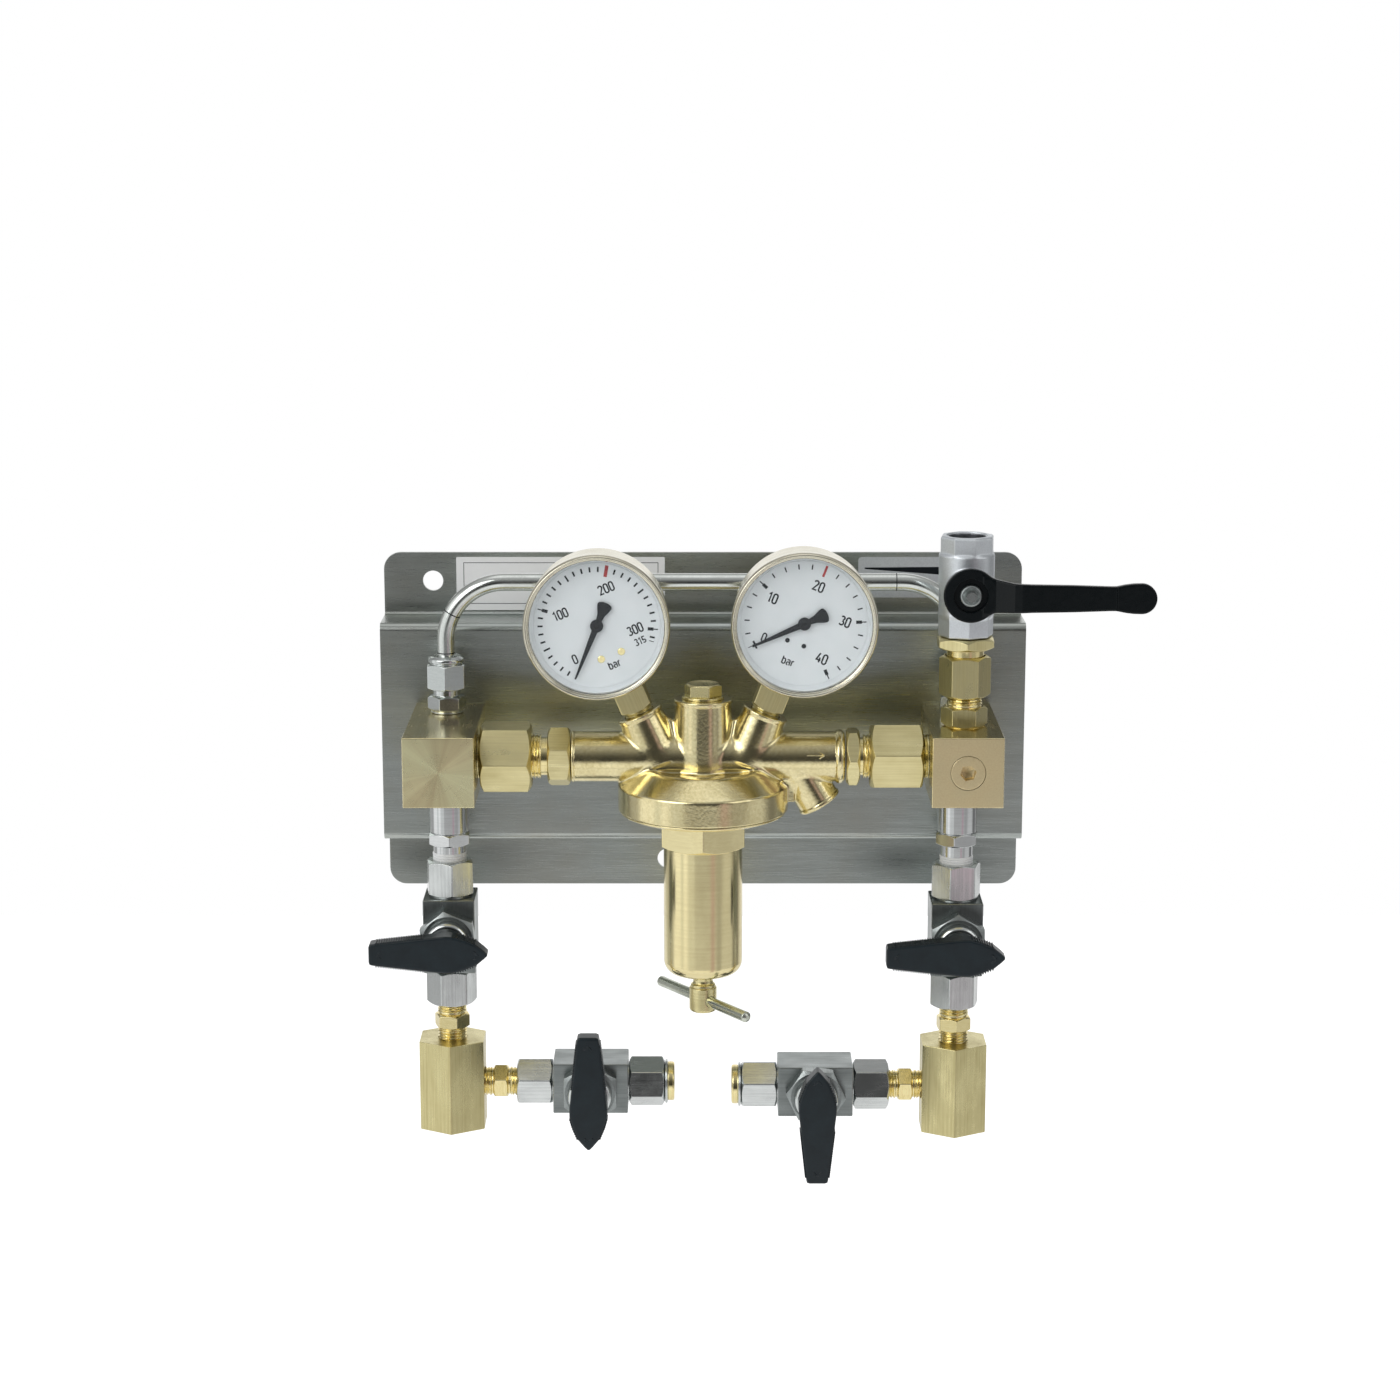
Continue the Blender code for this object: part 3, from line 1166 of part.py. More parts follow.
def outlet_valve_body():
    """Cast body: a hexagon foot, a barrel, an octagon head and a boss for the stem."""
    octagon_turn = CORNER_FRONT + math.radians(22.5)
    rings = hexagon(CAST_LOW, BARREL_LOW, CAST_FLATS)
    rings += [
        Ring(BARREL_LOW + BLOCK_EDGE, CAST_BARREL * 0.97),
        Ring(OUTLET_BALL_Z - CAST_BARREL * 0.3, CAST_BARREL),
        Ring(OUTLET_BALL_Z + CAST_BARREL * 0.3, CAST_BARREL),
        Ring(BARREL_TOP - BLOCK_EDGE, CAST_BARREL * 0.97),
    ]
    rings += hexagon(BARREL_TOP, CAST_TOP, CAST_FLATS, faces=8, corner=octagon_turn)
    rings += [Ring(CAST_TOP, CAST_PORT), Ring(BARREL_TOP - CAST_HEAD * 0.2, CAST_PORT)]
    rings += [Ring(BARREL_TOP - CAST_HEAD * 0.2, CAST_BORE), Ring(BARREL_LOW, CAST_BORE)]
    rings += [Ring(BARREL_LOW, CAST_PORT), Ring(CAST_LOW, CAST_PORT)]
    shape = turned(rings, SIDES_LARGE, loop=True)
    body = finish(shape, "outlet_valve_body", "cast_zinc", at(COLUMN_X, FRONT_DEPTH, 0))

    front = Matrix.Translation((COLUMN_X, -FRONT_DEPTH, OUTLET_BALL_Z)) @ TO_FRONT
    boss = port(CAST_BARREL * 0.3, CAST_BARREL / 2 + STEM_BOSS_LENGTH, STEM_BOSS)
    cavity = turned(ball_rings(OUTLET_BALL + 2 * BALL_CLEARANCE, 8), SIDES_SMALL)
    stem = cylinder(0, CAST_BARREL / 2 + STEM_BOSS_LENGTH + GAP, OUTLET_STEM + 2 * TURNING_GAP)
    combine(body, [finish(boss, "stem_boss", place=front)], "UNION")
    cutters = [
        finish(cavity, "outlet_cavity", place=front),
        finish(stem, "outlet_stem_bore", place=front),
    ]
    return combine(body, cutters)


LEVER_BACK = CAST_BARREL / 2 + STEM_BOSS_LENGTH + GAP
LEVER_FRONT = LEVER_BACK + LEVER_THICKNESS


def outlet_valve_ball():
    """Ball with its stem towards the front; the bore lies level, so the valve is shut."""
    ball = ball_rings(OUTLET_BALL, 8)
    neck = OUTLET_STEM / 2
    kept = [ring for ring in ball if ring.height < 0 or ring.diameter > OUTLET_STEM * 1.1]
    rings = kept + [Ring(kept[-1].height + neck * 0.3, OUTLET_STEM)]
    rings += [Ring(LEVER_FRONT - GAP, OUTLET_STEM), Ring(LEVER_FRONT - GAP, OUTLET_STEM * 0.6)]
    rings += [Ring(LEVER_FRONT + LEVER_THICKNESS, OUTLET_STEM * 0.6)]
    place = Matrix.Translation((COLUMN_X, -FRONT_DEPTH, OUTLET_BALL_Z)) @ TO_FRONT
    stem = finish(turned(rings, SIDES_SMALL), "outlet_valve_ball", "chrome", place)
    drill = cylinder(-OUTLET_BALL, OUTLET_BALL, CAST_BORE * 0.8)
    across = Matrix.Translation((COLUMN_X, -FRONT_DEPTH, OUTLET_BALL_Z)) @ TO_RIGHT
    return combine(stem, [finish(drill, "outlet_ball_bore", place=across)])


def outlet_valve_lever():
    """Cranked lever: a hub cup, an arm that steps forward, and a rounded pad."""
    origin = Matrix.Translation((COLUMN_X, -FRONT_DEPTH, OUTLET_BALL_Z)) @ TO_FRONT
    recess = LEVER_FRONT - LEVER_THICKNESS / 2
    hub_rings = [
        Ring(LEVER_BACK, LEVER_HUB - 2 * BLOCK_EDGE),
        Ring(LEVER_BACK + BLOCK_EDGE, LEVER_HUB),
        Ring(LEVER_FRONT - BLOCK_EDGE, LEVER_HUB),
        Ring(LEVER_FRONT, LEVER_HUB - 2 * BLOCK_EDGE),
        Ring(LEVER_FRONT, LEVER_CUP),
        Ring(recess, LEVER_CUP - 2 * BLOCK_EDGE),
        Ring(recess, OUTLET_STEM + 2 * GAP),
        Ring(LEVER_BACK, OUTLET_STEM + 2 * GAP),
    ]
    lever = finish(turned(hub_rings, 24, loop=True), "outlet_valve_lever", "black_plastic", origin)
    root = LEVER_CUP * 0.55
    pad = LEVER_LENGTH - LEVER_PAD_LENGTH
    stations = [
        (root, LEVER_ROOT_WIDTH * 1.2, 0.0),
        (LEVER_HUB * 0.62, LEVER_ROOT_WIDTH * 1.06, LEVER_CRANK * 0.15),
        (LEVER_HUB * 0.9, LEVER_ROOT_WIDTH, LEVER_CRANK * 0.85),
        (LEVER_HUB * 1.1, LEVER_ROOT_WIDTH, LEVER_CRANK),
        (pad * 0.75, LEVER_WAIST_WIDTH, LEVER_CRANK),
        (pad, LEVER_WAIST_WIDTH, LEVER_CRANK),
        (pad + LEVER_PAD_LENGTH * 0.1, LEVER_ROOT_WIDTH, LEVER_CRANK),
    ]
    radius = LEVER_ROOT_WIDTH / 2
    for angle in (0, 22.5, 45, 67.5, 85):
        x = LEVER_LENGTH - radius + radius * math.sin(math.radians(angle))
        stations.append((x, LEVER_ROOT_WIDTH * math.cos(math.radians(angle)), LEVER_CRANK))
    arm = finish(strip(stations, LEVER_BACK, LEVER_FRONT), "lever_arm", place=origin)
    return combine(lever, [arm], "UNION")


def strip(stations, low, high):
    """A flat bar along X through stations of x, width and forward step."""
    shape = bmesh.new()
    rows = []
    for x, width, step in stations:
        corners = [(-width / 2, low), (width / 2, low), (width / 2, high), (-width / 2, high)]
        rows.append([shape.verts.new((x, y, z + step)) for y, z in corners])
    shape.faces.new(rows[0])
    shape.faces.new(rows[-1])
    for row, after in zip(rows, rows[1:]):
        for corner in range(4):
            following = (corner + 1) % 4
            shape.faces.new((row[corner], row[following], after[following], after[corner]))
    return shape


# Heights in the check valves
CHECK_TOP = BLOCK_BOTTOM - GAP
CHECK_BARREL_FOOT = CHECK_TOP - CHECK_BARREL_LENGTH
CHECK_HEX_FOOT = CHECK_BARREL_FOOT - CHECK_HEX
SEAT_Z = CHECK_BARREL_FOOT + CHECK_FOOT


def column_drop(side):
    return RIGHT_COLUMN_DROP if side > 0 else 0.0


def check_valve(side):
    """Barrel with a chamber for the poppet, a hexagon and threads at both ends."""
    top = BLOCK_BOTTOM + NIPPLE_GRIP
    bottom = CHECK_HEX_FOOT - CHECK_NECK_SHOW - NIPPLE_GRIP - column_drop(side)
    chamber_top = CHECK_TOP - CHECK_FOOT
    rings = [
        Ring(top, THREAD),
        Ring(CHECK_TOP, THREAD),
        Ring(CHECK_TOP, CHECK_BARREL - 2 * BLOCK_EDGE),
        Ring(CHECK_TOP - BLOCK_EDGE, CHECK_BARREL),
        Ring(CHECK_BARREL_FOOT + GAP, CHECK_BARREL),
    ]
    rings += hexagon(CHECK_BARREL_FOOT, CHECK_HEX_FOOT, CHECK_FLATS)
    rings += [
        Ring(CHECK_HEX_FOOT, THREAD),
        Ring(bottom, THREAD),
        Ring(bottom, CHECK_SEAT),
        Ring(SEAT_Z - CHECK_SEAT / 2, CHECK_SEAT),
        Ring(SEAT_Z, CHECK_CHAMBER),
        Ring(chamber_top, CHECK_CHAMBER),
        Ring(chamber_top, CHECK_SEAT),
        Ring(top, CHECK_SEAT),
    ]
    place = at(side * COLUMN_X, REAR_DEPTH, 0)
    return finish(turned(rings, loop=True), f"check_valve_{SIDE_NAMES[side]}", "chrome", place)


def check_poppet(side):
    """Poppet that rests on its seat and lifts when gas flows up."""
    cone = CHECK_SEAT / 2
    rings = [
        Ring(SEAT_Z - cone * 0.5 + GAP, (CHECK_SEAT + CHECK_CHAMBER) / 2 - 4 * GAP),
        Ring(SEAT_Z + GAP, CHECK_CHAMBER - 3 * GAP),
        Ring(SEAT_Z + POPPET_LENGTH, CHECK_CHAMBER - 3 * GAP),
        Ring(SEAT_Z + POPPET_LENGTH, CHECK_SEAT),
        Ring(SEAT_Z + POPPET_LENGTH * 0.5, CHECK_SEAT),
    ]
    place = at(side * COLUMN_X, REAR_DEPTH, 0)
    return finish(turned(rings), f"check_poppet_{SIDE_NAMES[side]}", "bright_brass", place)


# The small valve in its own frame: pipe along Z, stem towards the front, middle at the ball
SMALL_VALVE_HALF = SMALL_VALVE_LENGTH / 2 + CONNECTOR_GROOVE + CONNECTOR_LENGTH
BONNET_FACE = SMALL_VALVE_SIDE / 2
GLAND_FACE = BONNET_FACE + GLAND_NUT_LENGTH
GLAND_END = GLAND_FACE + GLAND_LENGTH
HANDLE_BACK = GLAND_END + GAP
WING_BACK = HANDLE_BACK + HANDLE_HUB_LENGTH
WING_FRONT = WING_BACK + HANDLE_THICKNESS

# Heights of the upright valves and of what hangs below them
VALVE_TOP = CHECK_HEX_FOOT - CHECK_NECK_SHOW
VALVE_Z = VALVE_TOP - SMALL_VALVE_HALF
TEE_TOP = VALVE_TOP - 2 * SMALL_VALVE_HALF - COLUMN_GAP
TEE_PORT_Z = TEE_TOP - TEE_PORT_DROP
VENT_FACE_X = COLUMN_X - TEE_FLATS / 2
VENT_X = VENT_FACE_X - VENT_GAP - SMALL_VALVE_HALF


def upright_place(side):
    return at(side * COLUMN_X, REAR_DEPTH, VALVE_Z - column_drop(side))


def vent_place(side):
    """The vent valve's frame, with its pipe's +Z end at the tee."""
    turn = Matrix.Rotation(math.radians(90 * side), 4, "Y")
    return at(side * VENT_X, REAR_DEPTH, TEE_PORT_Z - column_drop(side)) @ turn


def small_valve(name, place, nut_turn, vent):
    """Bar body with two screwed connectors, a gland nut, and on a vent a brass end."""
    half = SMALL_VALVE_SIDE / 2
    bar = box((-half, -half, -SMALL_VALVE_LENGTH / 2), (half, half, SMALL_VALVE_LENGTH / 2))
    body = finish(soften(bar, SMALL_VALVE_EDGE), name, "satin_steel", place)

    groove = SMALL_VALVE_LENGTH / 2 + CONNECTOR_GROOVE
    outline = hexagon(groove, SMALL_VALVE_HALF, CONNECTOR_FLATS)
    spigot = CONNECTOR_FLATS * 0.9
    neck = [Ring(groove, spigot), Ring(groove - 2 * CONNECTOR_GROOVE, spigot)]
    lower = [ring._replace(height=-ring.height) for ring in (neck + outline)]
    if vent:
        lower += [Ring(-SMALL_VALVE_HALF, VENT_END_DIAMETER)]
        lower += [Ring(-SMALL_VALVE_HALF - VENT_END_LENGTH, VENT_END_DIAMETER)]
    pipe = finish(turned(sorted_by_height(lower, neck, outline)), f"{name}_pipe", place=place)

    front = place @ TO_FRONT
    gland_rings = [Ring(half - SMALL_VALVE_EDGE, GLAND_NUT_FLATS * 0.9), Ring(half, GLAND_NUT_FLATS * 0.9)]
    gland_rings += hexagon(half, GLAND_FACE, GLAND_NUT_FLATS)
    gland_rings += [Ring(GLAND_FACE, GLAND_DIAMETER), Ring(GLAND_END, GLAND_DIAMETER)]
    gland = finish(turned(gland_rings, start=math.radians(nut_turn)), f"{name}_gland", place=front)
    combine(body, [pipe, gland], "UNION")

    thread = THREAD + 2 * GAP
    port_floor = SMALL_VALVE_HALF - PORT_DEPTH
    end = SMALL_VALVE_HALF + VENT_END_LENGTH + GAP
    low_port = VENT_BORE if vent else thread
    cavity = turned(ball_rings(SMALL_BALL + 2 * BALL_CLEARANCE, 8), SIDES_SMALL)
    stem = cylinder(0, GLAND_END + GAP, SMALL_STEM + 2 * TURNING_GAP)
    cutters = [
        finish(cylinder(-end, end, SMALL_BORE), f"{name}_bore", place=place),
        finish(port(port_floor, end, thread), f"{name}_top_port", place=place),
        finish(port(-end, -port_floor, low_port), f"{name}_low_port", place=place),
        finish(cavity, f"{name}_cavity", place=front),
        finish(stem, f"{name}_stem_bore", place=front),
    ]
    return combine(body, cutters)


def sorted_by_height(lower, neck, outline):
    """The lower connector's rings reversed, then the bar's core, then the upper connector's."""
    core = CONNECTOR_FLATS * 0.9
    inner = neck[1].height
    upper = [neck[0]] + outline
    return lower[:1:-1] + [lower[0], Ring(-inner, core), Ring(inner, core)] + upper


def small_valve_ball(name, place):
    """Ball with its stem; the bore lies across the pipe, so the valve is shut."""
    ball = ball_rings(SMALL_BALL, 8)
    kept = [ring for ring in ball if ring.height < 0 or ring.diameter > SMALL_STEM * 1.1]
    rings = kept + [Ring(kept[-1].height + SMALL_STEM * 0.15, SMALL_STEM)]
    rings += [Ring(WING_BACK + HANDLE_THICKNESS / 2 - GAP, SMALL_STEM)]
    stem = finish(turned(rings, SIDES_SMALL), name, "bright_steel", place @ TO_FRONT)
    drill = cylinder(-SMALL_BALL, SMALL_BALL, SMALL_BORE)
    return combine(stem, [finish(drill, f"{name}_drill", place=place @ TO_RIGHT)])


def handle_outline():
    """Handle from above: a blunt tail at -X that widens to the hub and closes to a tip at +X."""
    wide = HANDLE_WIDTH / 2
    end = HANDLE_END_WIDTH / 2
    upper = [
        (-HANDLE_TAIL, end * 0.45),
        (-HANDLE_TAIL * 0.985, end * 0.9),
        (-HANDLE_TAIL * 0.95, end),
        (0.0, wide),
        (HANDLE_TIP * 0.3, wide * 0.9),
        (HANDLE_TIP * 0.7, wide * 0.55),
        (HANDLE_TIP * 0.93, wide * 0.2),
        (HANDLE_TIP, wide * 0.04),
    ]
    return [(x, -y) for x, y in upper] + upper[::-1]


def handle(name, place, turn):
    """Winged handle; its origin lies on the stem's axis."""
    front = place @ TO_FRONT @ Matrix.Rotation(math.radians(turn), 4, "Z")
    wing = prism(handle_outline(), WING_BACK, WING_FRONT)
    front_edges = [edge for edge in wing.edges if all(vert.co.z > WING_FRONT - GAP for vert in edge.verts)]
    grip = finish(soften(wing, HANDLE_THICKNESS * 0.12, edges=front_edges), name, "black_plastic", front)
    hub_rings = [
        Ring(HANDLE_BACK, HANDLE_WIDTH * 0.96),
        Ring(WING_BACK - HANDLE_HUB_LENGTH * 0.3, HANDLE_WIDTH * 0.96),
        Ring(WING_BACK + HANDLE_THICKNESS * 0.2, HANDLE_WIDTH * 0.8),
    ]
    hub = finish(turned(hub_rings), f"{name}_hub", place=front)
    socket = port(HANDLE_BACK - GAP, WING_BACK + HANDLE_THICKNESS / 2, SMALL_STEM + 2 * GAP, SIDES_SMALL)
    combine(grip, [hub], "UNION")
    return combine(grip, [finish(socket, f"{name}_socket", place=front)])


def nipple(name, low, high, place):
    """Double-ended nipple with a hexagon in the middle of its bare stretch."""
    hex_low = low + (high - low - NIPPLE_HEX) / 2
    hex_high = hex_low + NIPPLE_HEX
    rings = [Ring(low - NIPPLE_GRIP, THREAD), Ring(hex_low, THREAD)]
    rings += hexagon(hex_low, hex_high, NIPPLE_FLATS)
    rings += [Ring(hex_high, THREAD), Ring(high + NIPPLE_GRIP, THREAD)]
    rings += [Ring(high + NIPPLE_GRIP, THREAD_BORE), Ring(low - NIPPLE_GRIP, THREAD_BORE)]
    return finish(turned(rings, loop=True), name, "bright_brass", place)


def tee(side):
    """Hexagon bar with a socket below, a port above and a port towards the vent valve."""
    name = f"tee_{SIDE_NAMES[side]}"
    low = TEE_TOP - TEE_LENGTH
    rings = hexagon(low, TEE_TOP, TEE_FLATS)
    place = at(side * COLUMN_X, REAR_DEPTH, -column_drop(side))
    body = finish(turned(rings), name, "brass", place)
    thread = THREAD + 2 * GAP
    level = Matrix.Translation((0, -REAR_DEPTH, TEE_PORT_Z - column_drop(side))) @ TO_RIGHT
    mouth = side * (VENT_FACE_X - GAP)
    inner_end = side * (VENT_FACE_X + NIPPLE_GRIP + GAP)
    cutters = [
        finish(cylinder(low, TEE_TOP, SMALL_BORE), f"{name}_bore", place=place),
        finish(port(TEE_TOP - PORT_DEPTH, TEE_TOP + GAP, thread), f"{name}_top", place=place),
        finish(port(low - GAP, low + TEE_SOCKET_DEPTH, TEE_SOCKET), f"{name}_socket", place=place),
        finish(cylinder(side * COLUMN_X, mouth, SMALL_BORE), f"{name}_cross", place=level),
        finish(port(inner_end, mouth, thread), f"{name}_side", place=level),
    ]
    return combine(body, cutters)


def supply_column(side):
    """What hangs below one block: check valve, upright valve, tee and vent valve."""
    end = SIDE_NAMES[side]
    check_valve(side)
    check_poppet(side)
    upright = upright_place(side)
    level = vent_place(side)
    nut_turns = {-1: (38, 0), 1: (30, 25)}[side]
    small_valve(f"inlet_valve_{end}", upright, nut_turns[0], vent=False)
    small_valve(f"vent_valve_{end}", level, nut_turns[1], vent=True)
    small_valve_ball(f"inlet_ball_{end}", upright)
    small_valve_ball(f"vent_ball_{end}", level)
    handle(f"inlet_handle_{end}", upright, 0)
    handle(f"vent_handle_{end}", level, 180)

    column = at(side * COLUMN_X, REAR_DEPTH, -column_drop(side))
    nipple(f"tee_nipple_{end}", TEE_TOP + GAP, VALVE_Z - SMALL_VALVE_HALF - GAP, column)
    branch = Matrix.Translation((0, -REAR_DEPTH, TEE_PORT_Z - column_drop(side))) @ TO_RIGHT
    ends = sorted((side * (VENT_X + SMALL_VALVE_HALF + GAP), side * (VENT_FACE_X - GAP)))
    nipple(f"vent_nipple_{end}", ends[0], ends[1], branch)
    tee(side)


def main():
    clear_scene()
    back_plate()
    for side in (-1, 1):
        manifold_block(side)
        tube_fitting(side)
        tube_nut(side)
        union_nut(side)
        union_stud(side)
        supply_column(side)
    block_screw_plug()
    bypass_tube()
    regulator_body()
    regulator_top_plug()
    spring_bonnet()
    diaphragm()
    valve_poppet()
    main_spring()
    spring_button()
    adjusting_spindle()
    tommy_bar()
    gauge("inlet_gauge", *gauge_bosses()[0])
    gauge("outlet_gauge", *gauge_bosses()[1])
    outlet_nipple()
    valve_union_nut()
    outlet_reducer()
    outlet_valve_body()
    outlet_valve_ball()
    outlet_valve_lever()


main()
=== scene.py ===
"""Gas pressure regulating station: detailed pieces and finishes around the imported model.

Lengths are in millimetres until a mesh is made. X points right, the front faces -Y, and Z points up.
"""

import math

import bmesh
import bpy
import numpy as np
from mathutils import Matrix, Vector


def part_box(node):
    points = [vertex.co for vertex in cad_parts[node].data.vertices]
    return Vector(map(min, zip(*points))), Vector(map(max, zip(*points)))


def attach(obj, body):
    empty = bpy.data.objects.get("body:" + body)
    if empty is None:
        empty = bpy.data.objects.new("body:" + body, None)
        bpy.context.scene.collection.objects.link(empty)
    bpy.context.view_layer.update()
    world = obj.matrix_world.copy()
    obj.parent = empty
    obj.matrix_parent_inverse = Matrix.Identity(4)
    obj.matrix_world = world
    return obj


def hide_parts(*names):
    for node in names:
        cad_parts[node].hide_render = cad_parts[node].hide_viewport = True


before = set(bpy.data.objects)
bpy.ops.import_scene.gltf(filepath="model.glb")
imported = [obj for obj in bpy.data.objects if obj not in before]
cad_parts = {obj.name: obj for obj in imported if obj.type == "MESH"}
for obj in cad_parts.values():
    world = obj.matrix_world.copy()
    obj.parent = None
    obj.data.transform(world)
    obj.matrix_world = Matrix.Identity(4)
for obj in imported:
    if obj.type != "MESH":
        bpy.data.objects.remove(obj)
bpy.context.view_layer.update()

MM = 0.001
scene = bpy.context.scene

# ---------------------------------------------------------------- places


def at(x=0.0, depth=0.0, z=0.0):
    """Place at x, in front of the wall by depth, at height z."""
    return Matrix.Translation((x * MM, -depth * MM, z * MM))


def spun(degrees, axis="Z"):
    return Matrix.Rotation(math.radians(degrees), 4, axis)


TO_RIGHT = spun(90, "Y")
TO_FRONT = spun(90, "X")


def span(node, axis):
    """Lowest and highest coordinate of a CAD node along an axis."""
    low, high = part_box(node)
    return low[axis] / MM, high[axis] / MM


def middle(node, axis):
    return sum(span(node, axis)) / 2


COLUMN_X = middle("check_valve_right", 0)
REAR = -middle("bypass_tube", 1)
FRONT = -middle("spring_bonnet", 1)
AXIS_Z = middle("inlet_union_nut", 2)
PIPE_Z = AXIS_Z + 1.5
BLOCK_LOW, BLOCK_TOP = span("manifold_block_right", 2)
SIDES = {"left": -1, "right": 1}

# ---------------------------------------------------------------- turned shapes

ROUND = np.linspace(0, 2 * np.pi, 96, endpoint=False)


def columns(faces):
    """Angles of a polygon's columns, close together at its corners."""
    half = 180 / faces
    offsets = [0.8, 1.6, 2.5, 3.8] + list(np.linspace(3.8, half, 6)[1:-1])
    one = sorted([0, half] + offsets + [-offset for offset in offsets])
    return np.radians([face * 2 * half + offset for face in range(faces) for offset in one])


HEXAGON = columns(6)
SQUARE = columns(4)


def polygon(flats, angles=HEXAGON, faces=6, corner=0.4):
    """Radius of a polygon with rounded corners at each angle. A corner lies at angle 0."""
    half = math.pi / faces
    off = (angles + half) % (2 * half) - half
    face = flats / 2 / np.cos(half - np.abs(off))
    centre = (flats / 2 - corner) / math.cos(half)
    arc = centre * np.cos(off) + np.sqrt(np.maximum(corner**2 - (centre * np.sin(off)) ** 2, 0))
    reach = half - math.atan((flats / 2 - corner) * math.tan(half) / (flats / 2))
    return np.where(np.abs(off) < reach, arc, face)


def lathe(rows, angles=ROUND, loop=False):
    """Shape turned about Z through rows of height, radius and how far its edge is rounded."""
    count = len(angles)
    table = []
    for row in rows:
        height = np.broadcast_to(np.asarray(row[0], float), (count,))
        radius = np.broadcast_to(np.asarray(row[1], float), (count,))
        table.append((np.stack((height, radius), 1), row[2] if len(row) > 2 else 0.0))
    profile = []
    for index, (point, soft) in enumerate(table):
        if not soft or not (loop or 0 < index < len(table) - 1):
            profile.append(point)
            continue
        ends = []
        for other in (table[index - 1][0], table[(index + 1) % len(table)][0]):
            way = other - point
            length = np.linalg.norm(way, axis=1, keepdims=True) + 1e-9
            ends.append(point + way * np.minimum(soft / length, 0.46))
        for step in (0, 0.25, 0.5, 0.75, 1):
            profile.append((1 - step) ** 2 * ends[0] + 2 * step * (1 - step) * point + step**2 * ends[1])
    grid = np.stack(profile)
    points = np.stack((grid[..., 1] * np.cos(angles), grid[..., 1] * np.sin(angles), grid[..., 0]), -1)
    rings = len(profile)
    ids = np.arange(rings * count).reshape(rings, count)
    if loop:
        ids = np.vstack((ids, ids[:1]))
    beside = np.roll(ids, -1, 1)
    quads = np.stack((ids[:-1], beside[:-1], beside[1:], ids[1:]), -1).reshape(-1, 4)
    faces = [tuple(quad) for quad in quads.tolist()]
    if not loop:
        for ring, turn in ((0, -1), (-1, 1)):
            if np.max(grid[ring, :, 1]) > 1e-6:
                faces.append(tuple(ids[ring].tolist()[::turn]))
    return points.reshape(-1, 3), faces


def nut(low, high, flats, angles=HEXAGON, faces=6, low_end=0.95, high_end=0.95, slope=30, soft=0.15, corner=0.4):
    """Rows of a nut whose corners are turned off at its ends by cones."""
    radius = polygon(flats, angles, faces, corner)
    sign = math.copysign(1, high - low)
    rows = []
    if low_end:
        drop = (radius - low_end * flats / 2) * math.tan(math.radians(slope))
        rows += [(low, low_end * flats / 2, soft), (low + sign * drop, radius, soft)]
    else:
        rows.append((low, radius, soft))
    if high_end:
        drop = (radius - high_end * flats / 2) * math.tan(math.radians(slope))
        rows += [(high - sign * drop, radius, soft), (high, high_end * flats / 2, soft)]
    else:
        rows.append((high, radius, soft))
    return rows


def thread(low, high, radius, pitch=1.3, depth=0.65, angles=ROUND):
    """Rows of a screw thread that fades out at both ends."""
    steps = max(8, int(abs(high - low) / pitch * 8))
    rows = []
    for step in range(steps + 1):
        share = step / steps
        height = low + (high - low) * share
        wave = np.abs(2 * ((height / pitch - angles / (2 * np.pi)) % 1.0) - 1)
        fade = min(1.0, share * steps / 5, (1 - share) * steps / 5)
        rows.append((height, radius - depth * fade * np.clip(1.3 * wave - 0.15, 0, 1)))
    return rows


# ---------------------------------------------------------------- shapes from distance fields


def rod(points, start, along, low, high, near, far, soft=0.5):
    """Signed distance to a cone or cylinder with rounded ends, from low to high along an axis."""
    along = np.asarray(along, float) / np.linalg.norm(along)
    away = points - np.asarray(start, float)
    height = away @ along
    radial = np.sqrt(np.maximum(np.sum(away * away, -1) - height**2, 0))
    slope = (far - near) / (high - low)
    side = (radial - near - slope * (height - low)) / math.hypot(1, slope) + soft
    cap = np.abs(height - (low + high) / 2) - (high - low) / 2 + soft
    return np.minimum(np.maximum(side, cap), 0) + np.hypot(np.maximum(side, 0), np.maximum(cap, 0)) - soft


def blend(first, second, width):
    """Union of two fields with a fillet."""
    near = np.maximum(width - np.abs(first - second), 0) / width
    return np.minimum(first, second) - near * near * width / 4


def meet(first, second, width):
    """Common part of two fields with a rounded edge."""
    return -blend(-first, -second, width)


def prismatic(points, outline):
    """Signed distance to a closed outline in the first two coordinates."""
    x, y = points[:, 0], points[:, 1]
    best = np.full(len(points), np.inf)
    inside = np.zeros(len(points), bool)
    for (ax, ay), (bx, by) in zip(outline, outline[1:] + outline[:1]):
        ex, ey = bx - ax, by - ay
        share = np.clip(((x - ax) * ex + (y - ay) * ey) / (ex * ex + ey * ey), 0, 1)
        best = np.minimum(best, np.hypot(x - ax - share * ex, y - ay - share * ey))
        if ay != by:
            crosses = ((ay > y) != (by > y)) & (x < ex * (y - ay) / ey + ax)
            inside ^= crosses
    return np.where(inside, -best, best)


def bored(body, points, start, along, bores):
    """A field less round holes on one axis, each given as low, high and radius."""
    for low, high, radius in bores:
        body = np.maximum(body, -rod(points, start, along, low, high, radius, radius, 0.0))
    return body


def slope_of(field, points, reach=0.06):
    """Gradient of a field by central differences."""
    parts = []
    for axis in range(3):
        shift = np.zeros(3)
        shift[axis] = reach
        parts.append(field(points + shift) - field(points - shift))
    return np.stack(parts, -1) / (2 * reach)


